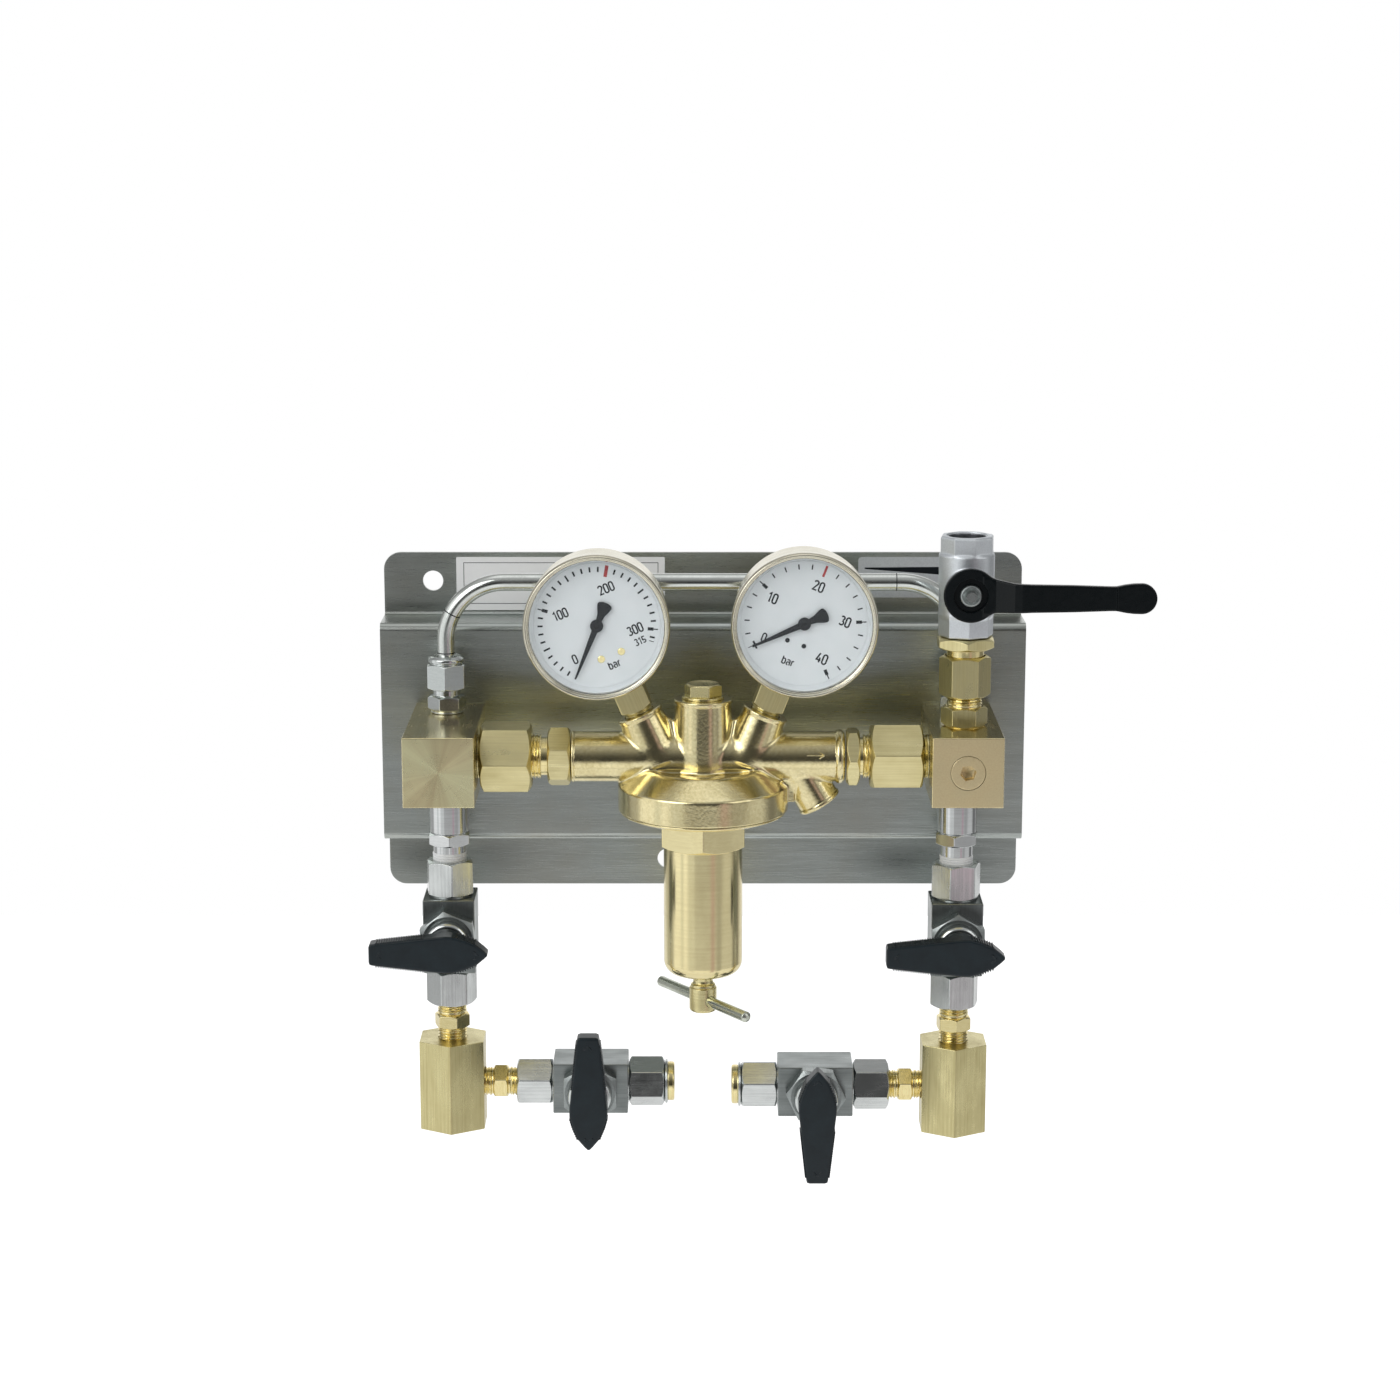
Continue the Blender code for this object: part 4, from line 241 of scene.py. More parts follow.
def skin(field, low, high, step):
    """Quads over the zero surface of a field, with its normals."""
    axes = [np.arange(a, b + step, step) for a, b in zip(low, high)]
    shape = tuple(len(axis) for axis in axes)
    grid = np.stack(np.meshgrid(*axes, indexing="ij"), -1).reshape(-1, 3)
    inside = (field(grid) < 0).reshape(shape)
    total = np.zeros(tuple(size - 1 for size in shape), int)
    for i in (0, 1):
        for j in (0, 1):
            for k in (0, 1):
                total += inside[i : shape[0] - 1 + i, j : shape[1] - 1 + j, k : shape[2] - 1 + k]
    mixed = (total > 0) & (total < 8)
    index = np.full(total.shape, -1)
    index[mixed] = np.arange(mixed.sum())
    cells = np.argwhere(mixed)
    points = np.stack([axes[axis][cells[:, axis]] + step / 2 for axis in range(3)], -1)
    quads = []
    for axis in range(3):
        order = [axis, (axis + 1) % 3, (axis + 2) % 3]
        solid = np.transpose(inside, order)
        cell = np.transpose(index, order)
        here, there = solid[:-1, 1:-1, 1:-1], solid[1:, 1:-1, 1:-1]
        a, b, c, d = cell[:, :-1, :-1], cell[:, 1:, :-1], cell[:, 1:, 1:], cell[:, :-1, 1:]
        for change, corners in ((here & ~there, (a, b, c, d)), (~here & there, (d, c, b, a))):
            quads.append(np.stack([corner[change] for corner in corners], -1))
    faces = np.vstack(quads)
    for _ in range(3):
        points = settle(field, points, 3)
        points = relaxed(points, faces)
    points = settle(field, points, 4)
    normals = slope_of(field, points)
    normals /= np.linalg.norm(normals, axis=1, keepdims=True) + 1e-12
    return points, [tuple(face) for face in faces.tolist()], normals


def settle(field, points, rounds):
    """Moves points onto a field's zero surface."""
    for _ in range(rounds):
        gradient = slope_of(field, points)
        size = np.maximum(np.sum(gradient * gradient, -1), 0.25)
        points = points - gradient * (field(points) / size)[:, None]
    return points


def relaxed(points, faces):
    """Each point halfway to the middle of its neighbours."""
    total = np.zeros_like(points)
    count = np.zeros(len(points))
    for first in range(4):
        for other in (faces[:, (first + 1) % 4], faces[:, first - 1]):
            np.add.at(total, faces[:, first], points[other])
            np.add.at(count, faces[:, first], 1)
    return points * 0.5 + total / count[:, None] * 0.5


# ---------------------------------------------------------------- pieces


def mesh_object(name, shapes):
    """One object from shapes of points in millimetres and faces."""
    points, faces = [], []
    for shape in shapes:
        start = len(points)
        points += (np.asarray(shape[0]) * MM).tolist()
        faces += [tuple(start + corner for corner in face) for face in shape[1]]
    mesh = bpy.data.meshes.new(name)
    mesh.from_pydata(points, [], faces)
    made = bmesh.new()
    made.from_mesh(mesh)
    if len(shapes[0]) < 3:
        bmesh.ops.remove_doubles(made, verts=made.verts, dist=1e-7)
        bmesh.ops.recalc_face_normals(made, faces=made.faces)
    made.to_mesh(mesh)
    made.free()
    thing = bpy.data.objects.new(name, mesh)
    scene.collection.objects.link(thing)
    return thing


def carve(target, shapes):
    """Cuts plain shapes out of a target, each given with its place relative to it."""
    tools = []
    for shape, place in shapes:
        tool = mesh_object("tool", [shape])
        tool.matrix_world = target.matrix_world @ place
        tools.append(tool)
        modifier = target.modifiers.new("cut", "BOOLEAN")
        modifier.operation = "DIFFERENCE"
        modifier.object = tool
        modifier.solver = "EXACT"
    apply_modifiers(target)
    for tool in tools:
        bpy.data.objects.remove(tool)


def apply_modifiers(target):
    bpy.context.view_layer.update()
    graph = bpy.context.evaluated_depsgraph_get()
    mesh = bpy.data.meshes.new_from_object(target.evaluated_get(graph))
    target.modifiers.clear()
    target.data = mesh


def broken_edges(target, width, segments, limit=None):
    """Bevels a block's edges, or only those sharper than a limit in degrees."""
    bevel = target.modifiers.new("edge", "BEVEL")
    bevel.width = width * MM
    bevel.segments = segments
    if limit:
        bevel.limit_method = "ANGLE"
        bevel.angle_limit = math.radians(limit)
    apply_modifiers(target)


def dress(thing, look, body="station", stands_for=(), sharp=28):
    """Finish, body and the CAD nodes that a piece stands for."""
    if sharp:
        thing.data.shade_smooth()
        thing.data.set_sharp_from_angle(angle=math.radians(sharp))
        weighted = thing.modifiers.new("normals", "WEIGHTED_NORMAL")
        weighted.keep_sharp = True
        apply_modifiers(thing)
    mesh = thing.data
    mesh.materials.clear()
    mesh.materials.append(LOOKS[look])
    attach(thing, body)
    if stands_for:
        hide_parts(*stands_for)
    return thing


def piece(name, shapes, look, place=Matrix(), body="station", stands_for=(), sharp=28):
    """A finished piece from one shape or several."""
    if isinstance(shapes, tuple):
        shapes = [shapes]
    thing = mesh_object(name, shapes)
    thing.matrix_world = place
    if len(shapes[0]) == 3:
        thing.data.shade_smooth()
        thing.data.normals_split_custom_set_from_vertices(shapes[0][2].tolist())
        sharp = 0
    return dress(thing, look, body, stands_for, sharp)


def plate_shape(outline, low, high):
    """Flat outline in X and Y, from low to high along Z."""
    count = len(outline)
    points = [(x, y, low) for x, y in outline] + [(x, y, high) for x, y in outline]
    faces = [tuple(range(count))[::-1], tuple(range(count, 2 * count))]
    faces += [(i, (i + 1) % count, count + (i + 1) % count, count + i) for i in range(count)]
    return np.array(points, float), faces


def box_shape(low, high):
    outline = [(low[0], low[1]), (high[0], low[1]), (high[0], high[1]), (low[0], high[1])]
    return plate_shape(outline, low[2], high[2])


def arc(centre, radius, first, last, steps):
    angles = np.radians(np.linspace(first, last, steps + 1))
    return [(centre[0] + radius * math.cos(a), centre[1] + radius * math.sin(a)) for a in angles]


def rounded(width, height, radius, steps=6):
    """Outline of a rectangle with rounded corners about the origin."""
    x, y = width / 2 - radius, height / 2 - radius
    outline = []
    for corner, (sx, sy) in enumerate(((1, 1), (-1, 1), (-1, -1), (1, -1))):
        outline += arc((sx * x, sy * y), radius, corner * 90, corner * 90 + 90, steps)
    return outline


def tube_shape(path, radius, sides=48, bore=None):
    """Round bar along a path in millimetres, or a tube when it has a bore."""
    path = np.asarray(path, float)
    along = np.gradient(path, axis=0)
    along /= np.linalg.norm(along, axis=1, keepdims=True)
    across = np.cross(along[0], (0.0, 1.0, 0.0))
    if np.linalg.norm(across) < 0.1:
        across = np.cross(along[0], (1.0, 0.0, 0.0))
    rows = []
    for point, ahead in zip(path, along):
        across = across - ahead * np.dot(across, ahead)
        across /= np.linalg.norm(across)
        rows.append((point, across.copy(), np.cross(ahead, across)))
    angles = np.linspace(0, 2 * np.pi, sides, endpoint=False)
    skins = []
    for size in [radius] + ([bore] if bore else []):
        rings = [[p + size * (a * math.cos(t) + b * math.sin(t)) for t in angles] for p, a, b in rows]
        skins.append(np.array(rings))
    points = np.concatenate(skins).reshape(-1, 3)
    length = len(path)
    ids = np.arange(len(points)).reshape(-1, sides)
    faces = []
    order = list(range(length))
    if bore:
        order += list(range(2 * length - 1, length - 1, -1)) + [0]
    for a, b in zip(order, order[1:]):
        for i in range(sides):
            j = (i + 1) % sides
            faces.append((ids[a][i], ids[a][j], ids[b][j], ids[b][i]))
    if not bore:
        faces += [tuple(ids[0].tolist()), tuple(ids[length - 1].tolist())]
    return points, [tuple(int(v) for v in face) for face in faces]


# ---------------------------------------------------------------- materials


class Surface:
    """A material's node tree, with short ways to add and join nodes."""

    def __init__(self, name):
        self.material = bpy.data.materials.new(name)
        self.material.use_nodes = True
        self.tree = self.material.node_tree
        self.shader = self.tree.nodes["Principled BSDF"]
        self.place = self.add("ShaderNodeTexCoord").outputs["Object"]

    def add(self, kind, inputs=None, **settings):
        node = self.tree.nodes.new(kind)
        for key, value in settings.items():
            setattr(node, key, value)
        for key, value in (inputs or {}).items():
            self.put(value, node.inputs[key])
        return node

    def put(self, value, socket):
        if isinstance(value, bpy.types.NodeSocket):
            self.tree.links.new(value, socket)
        else:
            socket.default_value = value

    def math(self, operation, first, second=0.0, clamp=False):
        node = self.add("ShaderNodeMath", {0: first, 1: second}, operation=operation, use_clamp=clamp)
        return node.outputs[0]

    def scaled(self, *factors):
        """Object coordinates stretched by factors per millimetre: one for each axis, or one for all."""
        vector = tuple(factor / MM for factor in factors * (3 // len(factors)))
        node = self.add("ShaderNodeVectorMath", {0: self.place, 1: vector}, operation="MULTIPLY")
        return node.outputs[0]

    def turned(self, fine):
        """Coordinates that change along the axis and outwards, not round it."""
        parts = self.add("ShaderNodeSeparateXYZ", {0: self.place}).outputs
        across = self.add("ShaderNodeCombineXYZ", {"X": parts["X"], "Y": parts["Y"]}).outputs[0]
        radius = self.add("ShaderNodeVectorMath", {0: across}, operation="LENGTH").outputs["Value"]
        round_axis = self.math("ARCTAN2", parts["Y"], parts["X"])
        vector = self.add(
            "ShaderNodeCombineXYZ",
            {
                "X": self.math("MULTIPLY", radius, fine / MM),
                "Y": self.math("MULTIPLY", parts["Z"], fine / MM),
                "Z": self.math("MULTIPLY", round_axis, 0.6),
            },
        )
        return vector.outputs[0]

    def noise(self, vector, detail, rough, seed=0.0, scale=1.0):
        moved = self.add("ShaderNodeVectorMath", {0: vector, 1: (seed, seed * 0.7, -seed)}, operation="ADD")
        inputs = {"Vector": moved.outputs[0], "Scale": scale, "Detail": detail, "Roughness": rough}
        return self.add("ShaderNodeTexNoise", inputs).outputs["Fac"]

    def ramp(self, value, low, high, first=0.0, last=1.0):
        inputs = {"Value": value, "From Min": low, "From Max": high, "To Min": first, "To Max": last}
        return self.add("ShaderNodeMapRange", inputs).outputs["Result"]

    def mix(self, share, first, second):
        node = self.add("ShaderNodeMix", data_type="RGBA")
        for index, value in ((0, share), (6, first), (7, second)):
            if not isinstance(value, bpy.types.NodeSocket) and index:
                value = (*value, 1.0) if len(value) == 3 else value
            self.put(value, node.inputs[index])
        return node.outputs[2]

    def edges(self, radius=0.35, reach=0.25):
        """1 on sharp edges, 0 on open faces."""
        bevel = self.add("ShaderNodeBevel", {"Radius": radius * MM}, samples=6).outputs[0]
        true = self.add("ShaderNodeNewGeometry").outputs["Normal"]
        same = self.add("ShaderNodeVectorMath", {0: bevel, 1: true}, operation="DOT_PRODUCT")
        return self.ramp(same.outputs["Value"], 1.0, 1.0 - reach)

    def bump(self, height, strength, distance):
        inputs = {"Height": height, "Strength": strength, "Distance": distance * MM}
        self.put(self.add("ShaderNodeBump", inputs).outputs[0], self.shader.inputs["Normal"])

    def colour(self, base):
        self.put(base, self.shader.inputs["Base Color"])

    def roughness(self, value):
        self.put(value, self.shader.inputs["Roughness"])

    def set(self, **values):
        for key, value in values.items():
            self.put(value, self.shader.inputs[key.replace("_", " ")])


def darker(colour, share):
    return tuple(value * share for value in colour)


def metal(name, colour, shade, rough, grain, fine, depth, worn=None, spots=0.35, vary=0.08, faced=0.0):
    """Metal with a machining grain, patches of tone, uneven gloss and brighter worn edges; when faced is set, its
    colour also gets a painted conic sheen.
    """
    made = Surface(name)
    made.set(Metallic=1.0)
    patches = made.noise(made.scaled(0.09, 0.09, 0.05), 4.0, 0.6, 3.1)
    if grain == "turned":
        lines = made.noise(made.turned(fine), 2.0, 0.7)
        streaks = made.noise(made.turned(1.3), 3.0, 0.6, 5.3)
    elif grain == "drawn":
        lines = made.noise(made.scaled(fine, fine, fine * 0.02), 2.0, 0.7)
        streaks = made.noise(made.scaled(1.3, 1.3, 0.03), 3.0, 0.6, 5.3)
    else:
        lines = streaks = made.noise(made.scaled(fine), 3.0, 0.55)
    broad, narrow = made.ramp(patches, 0.3, 0.7, 0.0, 0.6), made.ramp(streaks, 0.3, 0.7, -0.2, 0.5)
    base = made.mix(made.math("ADD", broad, narrow, True), colour, shade)
    stain = made.ramp(made.noise(made.scaled(0.9), 6.0, 0.75, 9.7), 0.66, 0.78, 0.0, spots)
    base = made.mix(stain, base, darker(shade, 0.45))
    if worn:
        base = made.mix(made.math("MULTIPLY", made.edges(), 0.55), base, worn)
    narrow = made.ramp(streaks, 0.3, 0.7, rough - vary * 0.5, rough + vary * 0.5)
    gloss = made.math("ADD", narrow, made.ramp(patches, 0.3, 0.7, -vary, vary))
    made.roughness(made.math("ADD", gloss, made.math("MULTIPLY", stain, 0.25)))
    made.bump(lines, 1.0, depth)
    # Painted sheen: a faced end's colour gets bright and dark fans round its axis, a painted conic reflection, besides
    # the real anisotropy set below.
    if faced:
        parts = made.add("ShaderNodeSeparateXYZ", {0: made.place}).outputs
        angle = made.math("ARCTAN2", parts["Y"], parts["X"])
        painted_sheen_fans = made.math("COSINE", made.math("ADD", made.math("MULTIPLY", angle, 2.0), 1.1))
        around = {"X": made.math("COSINE", angle), "Y": made.math("SINE", angle)}
        painted_sheen_angle = made.add("ShaderNodeCombineXYZ", around).outputs[0]
        painted_sheen_flicker = made.noise(painted_sheen_angle, 4.0, 0.7, scale=3.0)
        painted_sheen_fans = made.math("ADD", painted_sheen_fans, made.ramp(painted_sheen_flicker, 0.3, 0.7, -0.7, 0.7))
        bright = tuple(min(value * 1.16, 1.0) for value in colour)
        painted_sheen = made.mix(made.ramp(painted_sheen_fans, -1.2, 1.5), darker(shade, 0.74), bright)
        base = made.mix(0.75, base, painted_sheen)
        round_axis = made.add("ShaderNodeTangent", direction_type="RADIAL", axis="Z").outputs[0]
        made.set(Tangent=round_axis, Anisotropic=faced)
    made.colour(base)
    return made.material


def brushed_plate():
    """Stainless sheet with a grain along X."""
    made = Surface("brushed_stainless")
    made.set(Metallic=1.0, Anisotropic=0.65)
    grain = made.noise(made.scaled(0.07, 1.6, 2.4), 4.0, 0.75)
    broad = made.noise(made.scaled(0.012, 0.05, 0.3), 3.0, 0.6, 4.0)
    clouds = made.noise(made.scaled(0.02), 4.0, 0.6, 8.0)
    tone = made.math("ADD", made.ramp(grain, 0.3, 0.7, 0.0, 0.7), made.ramp(broad, 0.3, 0.7, -0.1, 0.4), True)
    base = made.mix(tone, (0.54, 0.58, 0.56), (0.38, 0.41, 0.39))
    made.colour(made.mix(made.ramp(clouds, 0.45, 0.7, 0.0, 0.5), base, (0.43, 0.42, 0.36)))
    made.roughness(made.ramp(grain, 0.3, 0.7, 0.24, 0.36))
    tangent = made.add("ShaderNodeTangent", direction_type="UV_MAP", uv_map="grain")
    made.set(Tangent=tangent.outputs[0])
    made.bump(grain, 0.6, 0.004)
    return made.material


def solid(name, colour, rough, second=None, fine=0.8, depth=0.01, coat=0.0, specular=0.5):
    """Paint or plastic with slight mottling and an uneven surface."""
    made = Surface(name)
    made.set(Metallic=0.0, Specular_IOR_Level=specular, Coat_Weight=coat, Coat_Roughness=0.15)
    cloud = made.noise(made.scaled(0.12), 4.0, 0.6, 2.0)
    grain = made.noise(made.scaled(fine), 4.0, 0.6)
    made.colour(made.mix(made.ramp(cloud, 0.3, 0.7), colour, second or darker(colour, 0.8)))
    made.roughness(made.ramp(grain, 0.3, 0.7, rough - 0.06, rough + 0.06))
    made.bump(grain, 1.0, depth)
    return made.material


def clear_glass():
    """Glass with a faint haze, which lets the light through to the dial."""
    made = Surface("gauge_glass")
    made.set(Roughness=0.02, IOR=1.45, Transmission_Weight=1.0)
    haze = made.noise(made.scaled(0.15), 3.0, 0.5)
    made.colour(made.mix(made.ramp(haze, 0.3, 0.7), (0.98, 0.99, 1.0), (0.95, 0.97, 0.98)))
    path = made.add("ShaderNodeLightPath").outputs["Is Shadow Ray"]
    through = made.add("ShaderNodeBsdfTransparent", {"Color": (0.96, 0.97, 0.98, 1.0)})
    joined = made.add("ShaderNodeMixShader", {0: path, 1: made.shader.outputs[0], 2: through.outputs[0]})
    made.put(joined.outputs[0], made.tree.nodes["Material Output"].inputs["Surface"])
    return made.material


BRASS = (0.80, 0.72, 0.40), (0.64, 0.56, 0.28)
WORN = (0.98, 0.92, 0.62)

# Name, two tones, roughness, grain and how fine and deep it is, worn edges, stains, unevenness, anisotropy of a faced
# end, which also turns on its painted conic sheen
METALS = {
    "brass": ("satin_brass", *BRASS, 0.34, "drawn", 4.0, 0.0035, WORN),
    "brass_turned": ("turned_brass", *BRASS, 0.28, "turned", 4.0, 0.004, WORN),
    "block": ("block_brass", (0.82, 0.73, 0.42), (0.66, 0.56, 0.30), 0.22, "drawn", 4.0, 0.002, WORN),
    "milled": ("milled_brass", (0.88, 0.75, 0.46), (0.78, 0.64, 0.37), 0.40, "drawn", 4.0, 0.003, WORN, 0.25),
    "gold": (
        "bright_brass_metal", (0.94, 0.83, 0.46), (0.80, 0.67, 0.32), 0.18, "turned", 4.0, 0.003, (1.0, 0.90, 0.60),
            0.15
    ),
    "forged": ("forged_brass_metal", (0.86, 0.77, 0.46), (0.70, 0.60, 0.32), 0.19, "cast", 0.75, 0.05, None, 0.2, 0.05),
    # Faced front of the left block, with a painted conic sheen in its colour
    "faced": ("faced_brass", (0.97, 0.85, 0.53), (0.84, 0.72, 0.43), 0.30, "turned", 2.0, 0.003, WORN, 0.2, 0.06, 0.75),
    "bonnet": ("bonnet_brass", (0.90, 0.80, 0.46), (0.80, 0.69, 0.38), 0.17, "turned", 3.0, 0.0015, WORN, 0.15, 0.04),
    "tee": ("tee_brass", (0.72, 0.65, 0.35), (0.54, 0.47, 0.23), 0.30, "drawn", 4.0, 0.003, None, 0.6),
    "bright": (
        "bright_steel_metal", (0.68, 0.71, 0.70), (0.54, 0.57, 0.56), 0.18, "turned", 4.0, 0.003, (0.95, 0.95, 0.95),
            0.15
    ),
    "tube": ("polished_tube", (0.76, 0.79, 0.76), (0.62, 0.65, 0.62), 0.20, "cast", 2.5, 0.003, None, 0.2),
    "satin": ("satin_steel_metal", (0.36, 0.39, 0.385), (0.26, 0.285, 0.28), 0.34, "drawn", 3.0, 0.004,
        (0.80, 0.82, 0.82)),
    "satin_turned": ("turned_steel", (0.72, 0.745, 0.735), (0.54, 0.56, 0.555), 0.24, "drawn", 4.0, 0.004,
        (0.88, 0.89, 0.88)),
    "zinc": ("cast_zinc_metal", (0.78, 0.82, 0.85), (0.66, 0.69, 0.72), 0.48, "cast", 1.6, 0.03, (0.92, 0.94, 0.95),
        0.2),
    "zinc_bar": ("bar_steel", (0.72, 0.75, 0.66), (0.54, 0.57, 0.49), 0.26, "drawn", 3.0, 0.003, (0.8, 0.82, 0.76),
        0.4),
    "chrome": ("chrome_metal", (0.70, 0.72, 0.72), (0.60, 0.61, 0.61), 0.08, "turned", 3.0, 0.0015, None, 0.1, 0.03),
    "case": ("gauge_case_metal", (0.78, 0.75, 0.62), (0.72, 0.68, 0.54), 0.24, "cast", 0.2, 0.0005, None, 0.0, 0.03),
    "spring": ("spring_wire", (0.34, 0.35, 0.37), (0.22, 0.23, 0.25), 0.35, "drawn", 3.0, 0.004),
}
# Name, colour, roughness, second tone, how fine and deep the grain is, coat, gloss
SOLIDS = {
    "dial": ("dial_paint", (0.75, 0.775, 0.775), 0.35, (0.72, 0.745, 0.745), 1.2, 0.002),
    "print": ("black_print", (0.004, 0.007, 0.010), 0.6, None, 1.0, 0.001, 0.0, 0.2),
    "red": ("red_print", (0.42, 0.02, 0.02), 0.5, None, 1.0, 0.001),
    "label": ("label_film", (0.96, 0.97, 0.97), 0.45, (0.93, 0.94, 0.94), 0.6, 0.002, 0.1),
    "tape": ("sealing_tape", (0.86, 0.87, 0.87), 0.6, (0.76, 0.78, 0.78), 2.0, 0.03),
    "grip": ("black_grip", (0.009, 0.019, 0.025), 0.36, (0.005, 0.011, 0.015), 1.4, 0.012, 0.05, 0.4),
    "lever": ("lever_coating", (0.003, 0.005, 0.006), 0.30, (0.002, 0.004, 0.005), 0.5, 0.008, 0.0, 0.22),
    "rubber": ("seal_rubber", (0.03, 0.03, 0.03), 0.7),
}
LOOKS = {"plate": brushed_plate(), "glass": clear_glass()}
LOOKS.update((look, metal(*values)) for look, values in METALS.items())
LOOKS.update((look, solid(*values)) for look, values in SOLIDS.items())

# ---------------------------------------------------------------- wall plate and labels

PLATE_HALF = span("back_plate", 0)[1]
PLATE_LOW, PLATE_TOP = span("back_plate", 2)
PANEL_FRONT = 27.0
PANEL_TOP = -16.0
PANEL_LOW = -119.5
SHEET = 2.0


def back_plate():
    """Folded sheet with rounded flange corners and three holes."""
    half = SHEET / 2
    bend = 2.5

    def side(offset):
        points = [(half + offset, PLATE_TOP)]
        points += arc((half + bend, PANEL_TOP - half + bend), bend - offset, 180, 270, 8)
        points += arc((PANEL_FRONT - half - bend, PANEL_TOP - half - bend), bend + offset, 90, 0, 8)
        points += arc((PANEL_FRONT - half - bend, PANEL_LOW + half + bend), bend + offset, 0, -90, 8)
        points += arc((half + bend, PANEL_LOW + half - bend), bend - offset, 90, 180, 8)
        return points + [(half + offset, PLATE_LOW)]

    outline = [(-depth, height) for depth, height in side(half) + side(-half)[::-1]]
    upright = Matrix(((0, 0, 1, 0), (1, 0, 0, 0), (0, 1, 0, 0), (0, 0, 0, 1)))
    thing = mesh_object("wall_plate", [plate_shape(outline, -PLATE_HALF, PLATE_HALF)])
    thing.data.transform(upright)
    hole = lathe([(-6, 4.75), (6, 4.75)])
    cuts = [(hole, at(x, 0, z) @ TO_FRONT) for x, z in ((-127, 0), (127, 0), (-17, -135))]
    for sx in (-1, 1):
        for sz, edge in ((1, PLATE_TOP), (-1, PLATE_LOW)):
            corner = [(3, 3), (-8, 3), *arc((-8, -8), 8, 90, 0, 10), (3, -8)]
            shape = [(sx * x, sz * z) for x, z in corner]
            if sx * sz < 0:
                shape = shape[::-1]
            cuts.append((plate_shape(shape, -6, 6), at(sx * PLATE_HALF, 0, edge) @ TO_FRONT))
    carve(thing, cuts)
    broken_edges(thing, 0.18, 2, 50)
    layer = thing.data.uv_layers.new(name="grain")
    for loop in thing.data.loops:
        spot = thing.data.vertices[loop.vertex_index].co
        layer.data[loop.index].uv = (spot.x * 3, (spot.z - spot.y) * 3)
    dress(thing, "plate", stands_for=("back_plate",))


def label(name, box, corner, steps, thick, look):
    """Thin sheet on the plate, given as left, low, right and high."""
    left, low, right, high = box
    outline = rounded(right - left, high - low, corner, steps)
    spot = at((left + right) / 2, SHEET, (low + high) / 2) @ TO_FRONT
    piece(name, plate_shape(outline, 0, thick), look, spot)


def labels():
    """A blank white label with a ruled frame, and a grey one with dark bars."""
    ink, line = 0.03, 0.28
    label("label_white", (-116.0, -14.0, -18.0, 11.3), 0.5, 3, 0.12, "label")
    left, low, right, high = -116.0 + 3.4, -14.0 + 3.0, -18.0 - 3.0, 11.3 - 2.6
    frame_lines = [
        (left, high - line, right, high),
        (left, low, right, low + line),
        (left, low, left + line, high),
        (right - line, low, right, high),
        (left, low + 6.3, right, low + 6.3 + line),
    ]
    shapes = [box_shape((a, b, 0), (c, d, ink)) for a, b, c, d in frame_lines]
    piece("label_white_lines", shapes, "print", at(0, SHEET + 0.12) @ TO_FRONT)
    label("label_grey", (73.0, -8.0, 118.0, 11.3), 1.8, 6, 0.25, "zinc")
    bars = [
        plate_shape([(76.0, 5.6), (112.0, 2.9), (112.0, 6.6), (76.0, 6.3)], 0.0, ink),
        plate_shape([(78.0, -4.7), (116.0, -4.7), (116.0, -4.1), (78.0, -4.1)], 0.0, ink),
    ]
    piece("label_grey_bars", bars, "print", at(0, SHEET + 0.25) @ TO_FRONT)


# ---------------------------------------------------------------- blocks and what is screwed on them


def block(side, name):
    """Manifold block with broken edges, a turned spigot, and a recess or a turned finish with a painted conic sheen in
    front.
    """
    low, high = span(f"manifold_block_{side}", 1)
    length = high - low
    x = SIDES[side] * COLUMN_X
    half = (BLOCK_TOP - BLOCK_LOW) / 2
    thing = mesh_object(name, [box_shape((-half, -half, 0), (half, half, length))])
    thing.matrix_world = at(x, -high, AXIS_Z) @ TO_FRONT
    broken_edges(thing, 0.55, 3)
    if side == "right":
        carve(thing, [(lathe([(length - 6.5, 7.9), (length + 1, 7.9)]), Matrix())])
    dress(thing, "block", stands_for=(f"manifold_block_{side}",))
    thing.data.materials.append(LOOKS["faced" if side == "left" else "milled"])
    for facet in thing.data.polygons:
        if facet.normal.z > 0.9:
            facet.material_index = 1
    rows = [(0, 9.6)] + thread(0.2, 11.6, 10.0, 1.4, 0.6) + [(12, 9.3, 0.2), (12, 4.5, 0.2), (0, 4.5)]
    place = at(x, FRONT, PIPE_Z) @ spun(-90 * SIDES[side], "Y") @ at(0, 0, half)
    piece(f"spigot_{side}", lathe(rows, ROUND, True), "brass_turned", place)


def block_plug():
    """Plug with a hexagon socket, sunk flush in the right block's front."""
    front = -span("manifold_block_right", 1)[0]
    socket = polygon(6.3, corner=0.15)
    rows = [(-6, 7.5), (0.05, 7.72, 0.4), (0.05, socket + 0.12, 0.05)]
    rows += [(-0.12, socket, 0.05), (-5.0, socket, 0.05), (-5.8, 0.0)]
    spot = at(COLUMN_X, front, AXIS_Z) @ TO_FRONT @ spun(12)
    piece("block_plug", lathe(rows, HEXAGON), "milled", spot, stands_for=("block_screw_plug",), sharp=35)


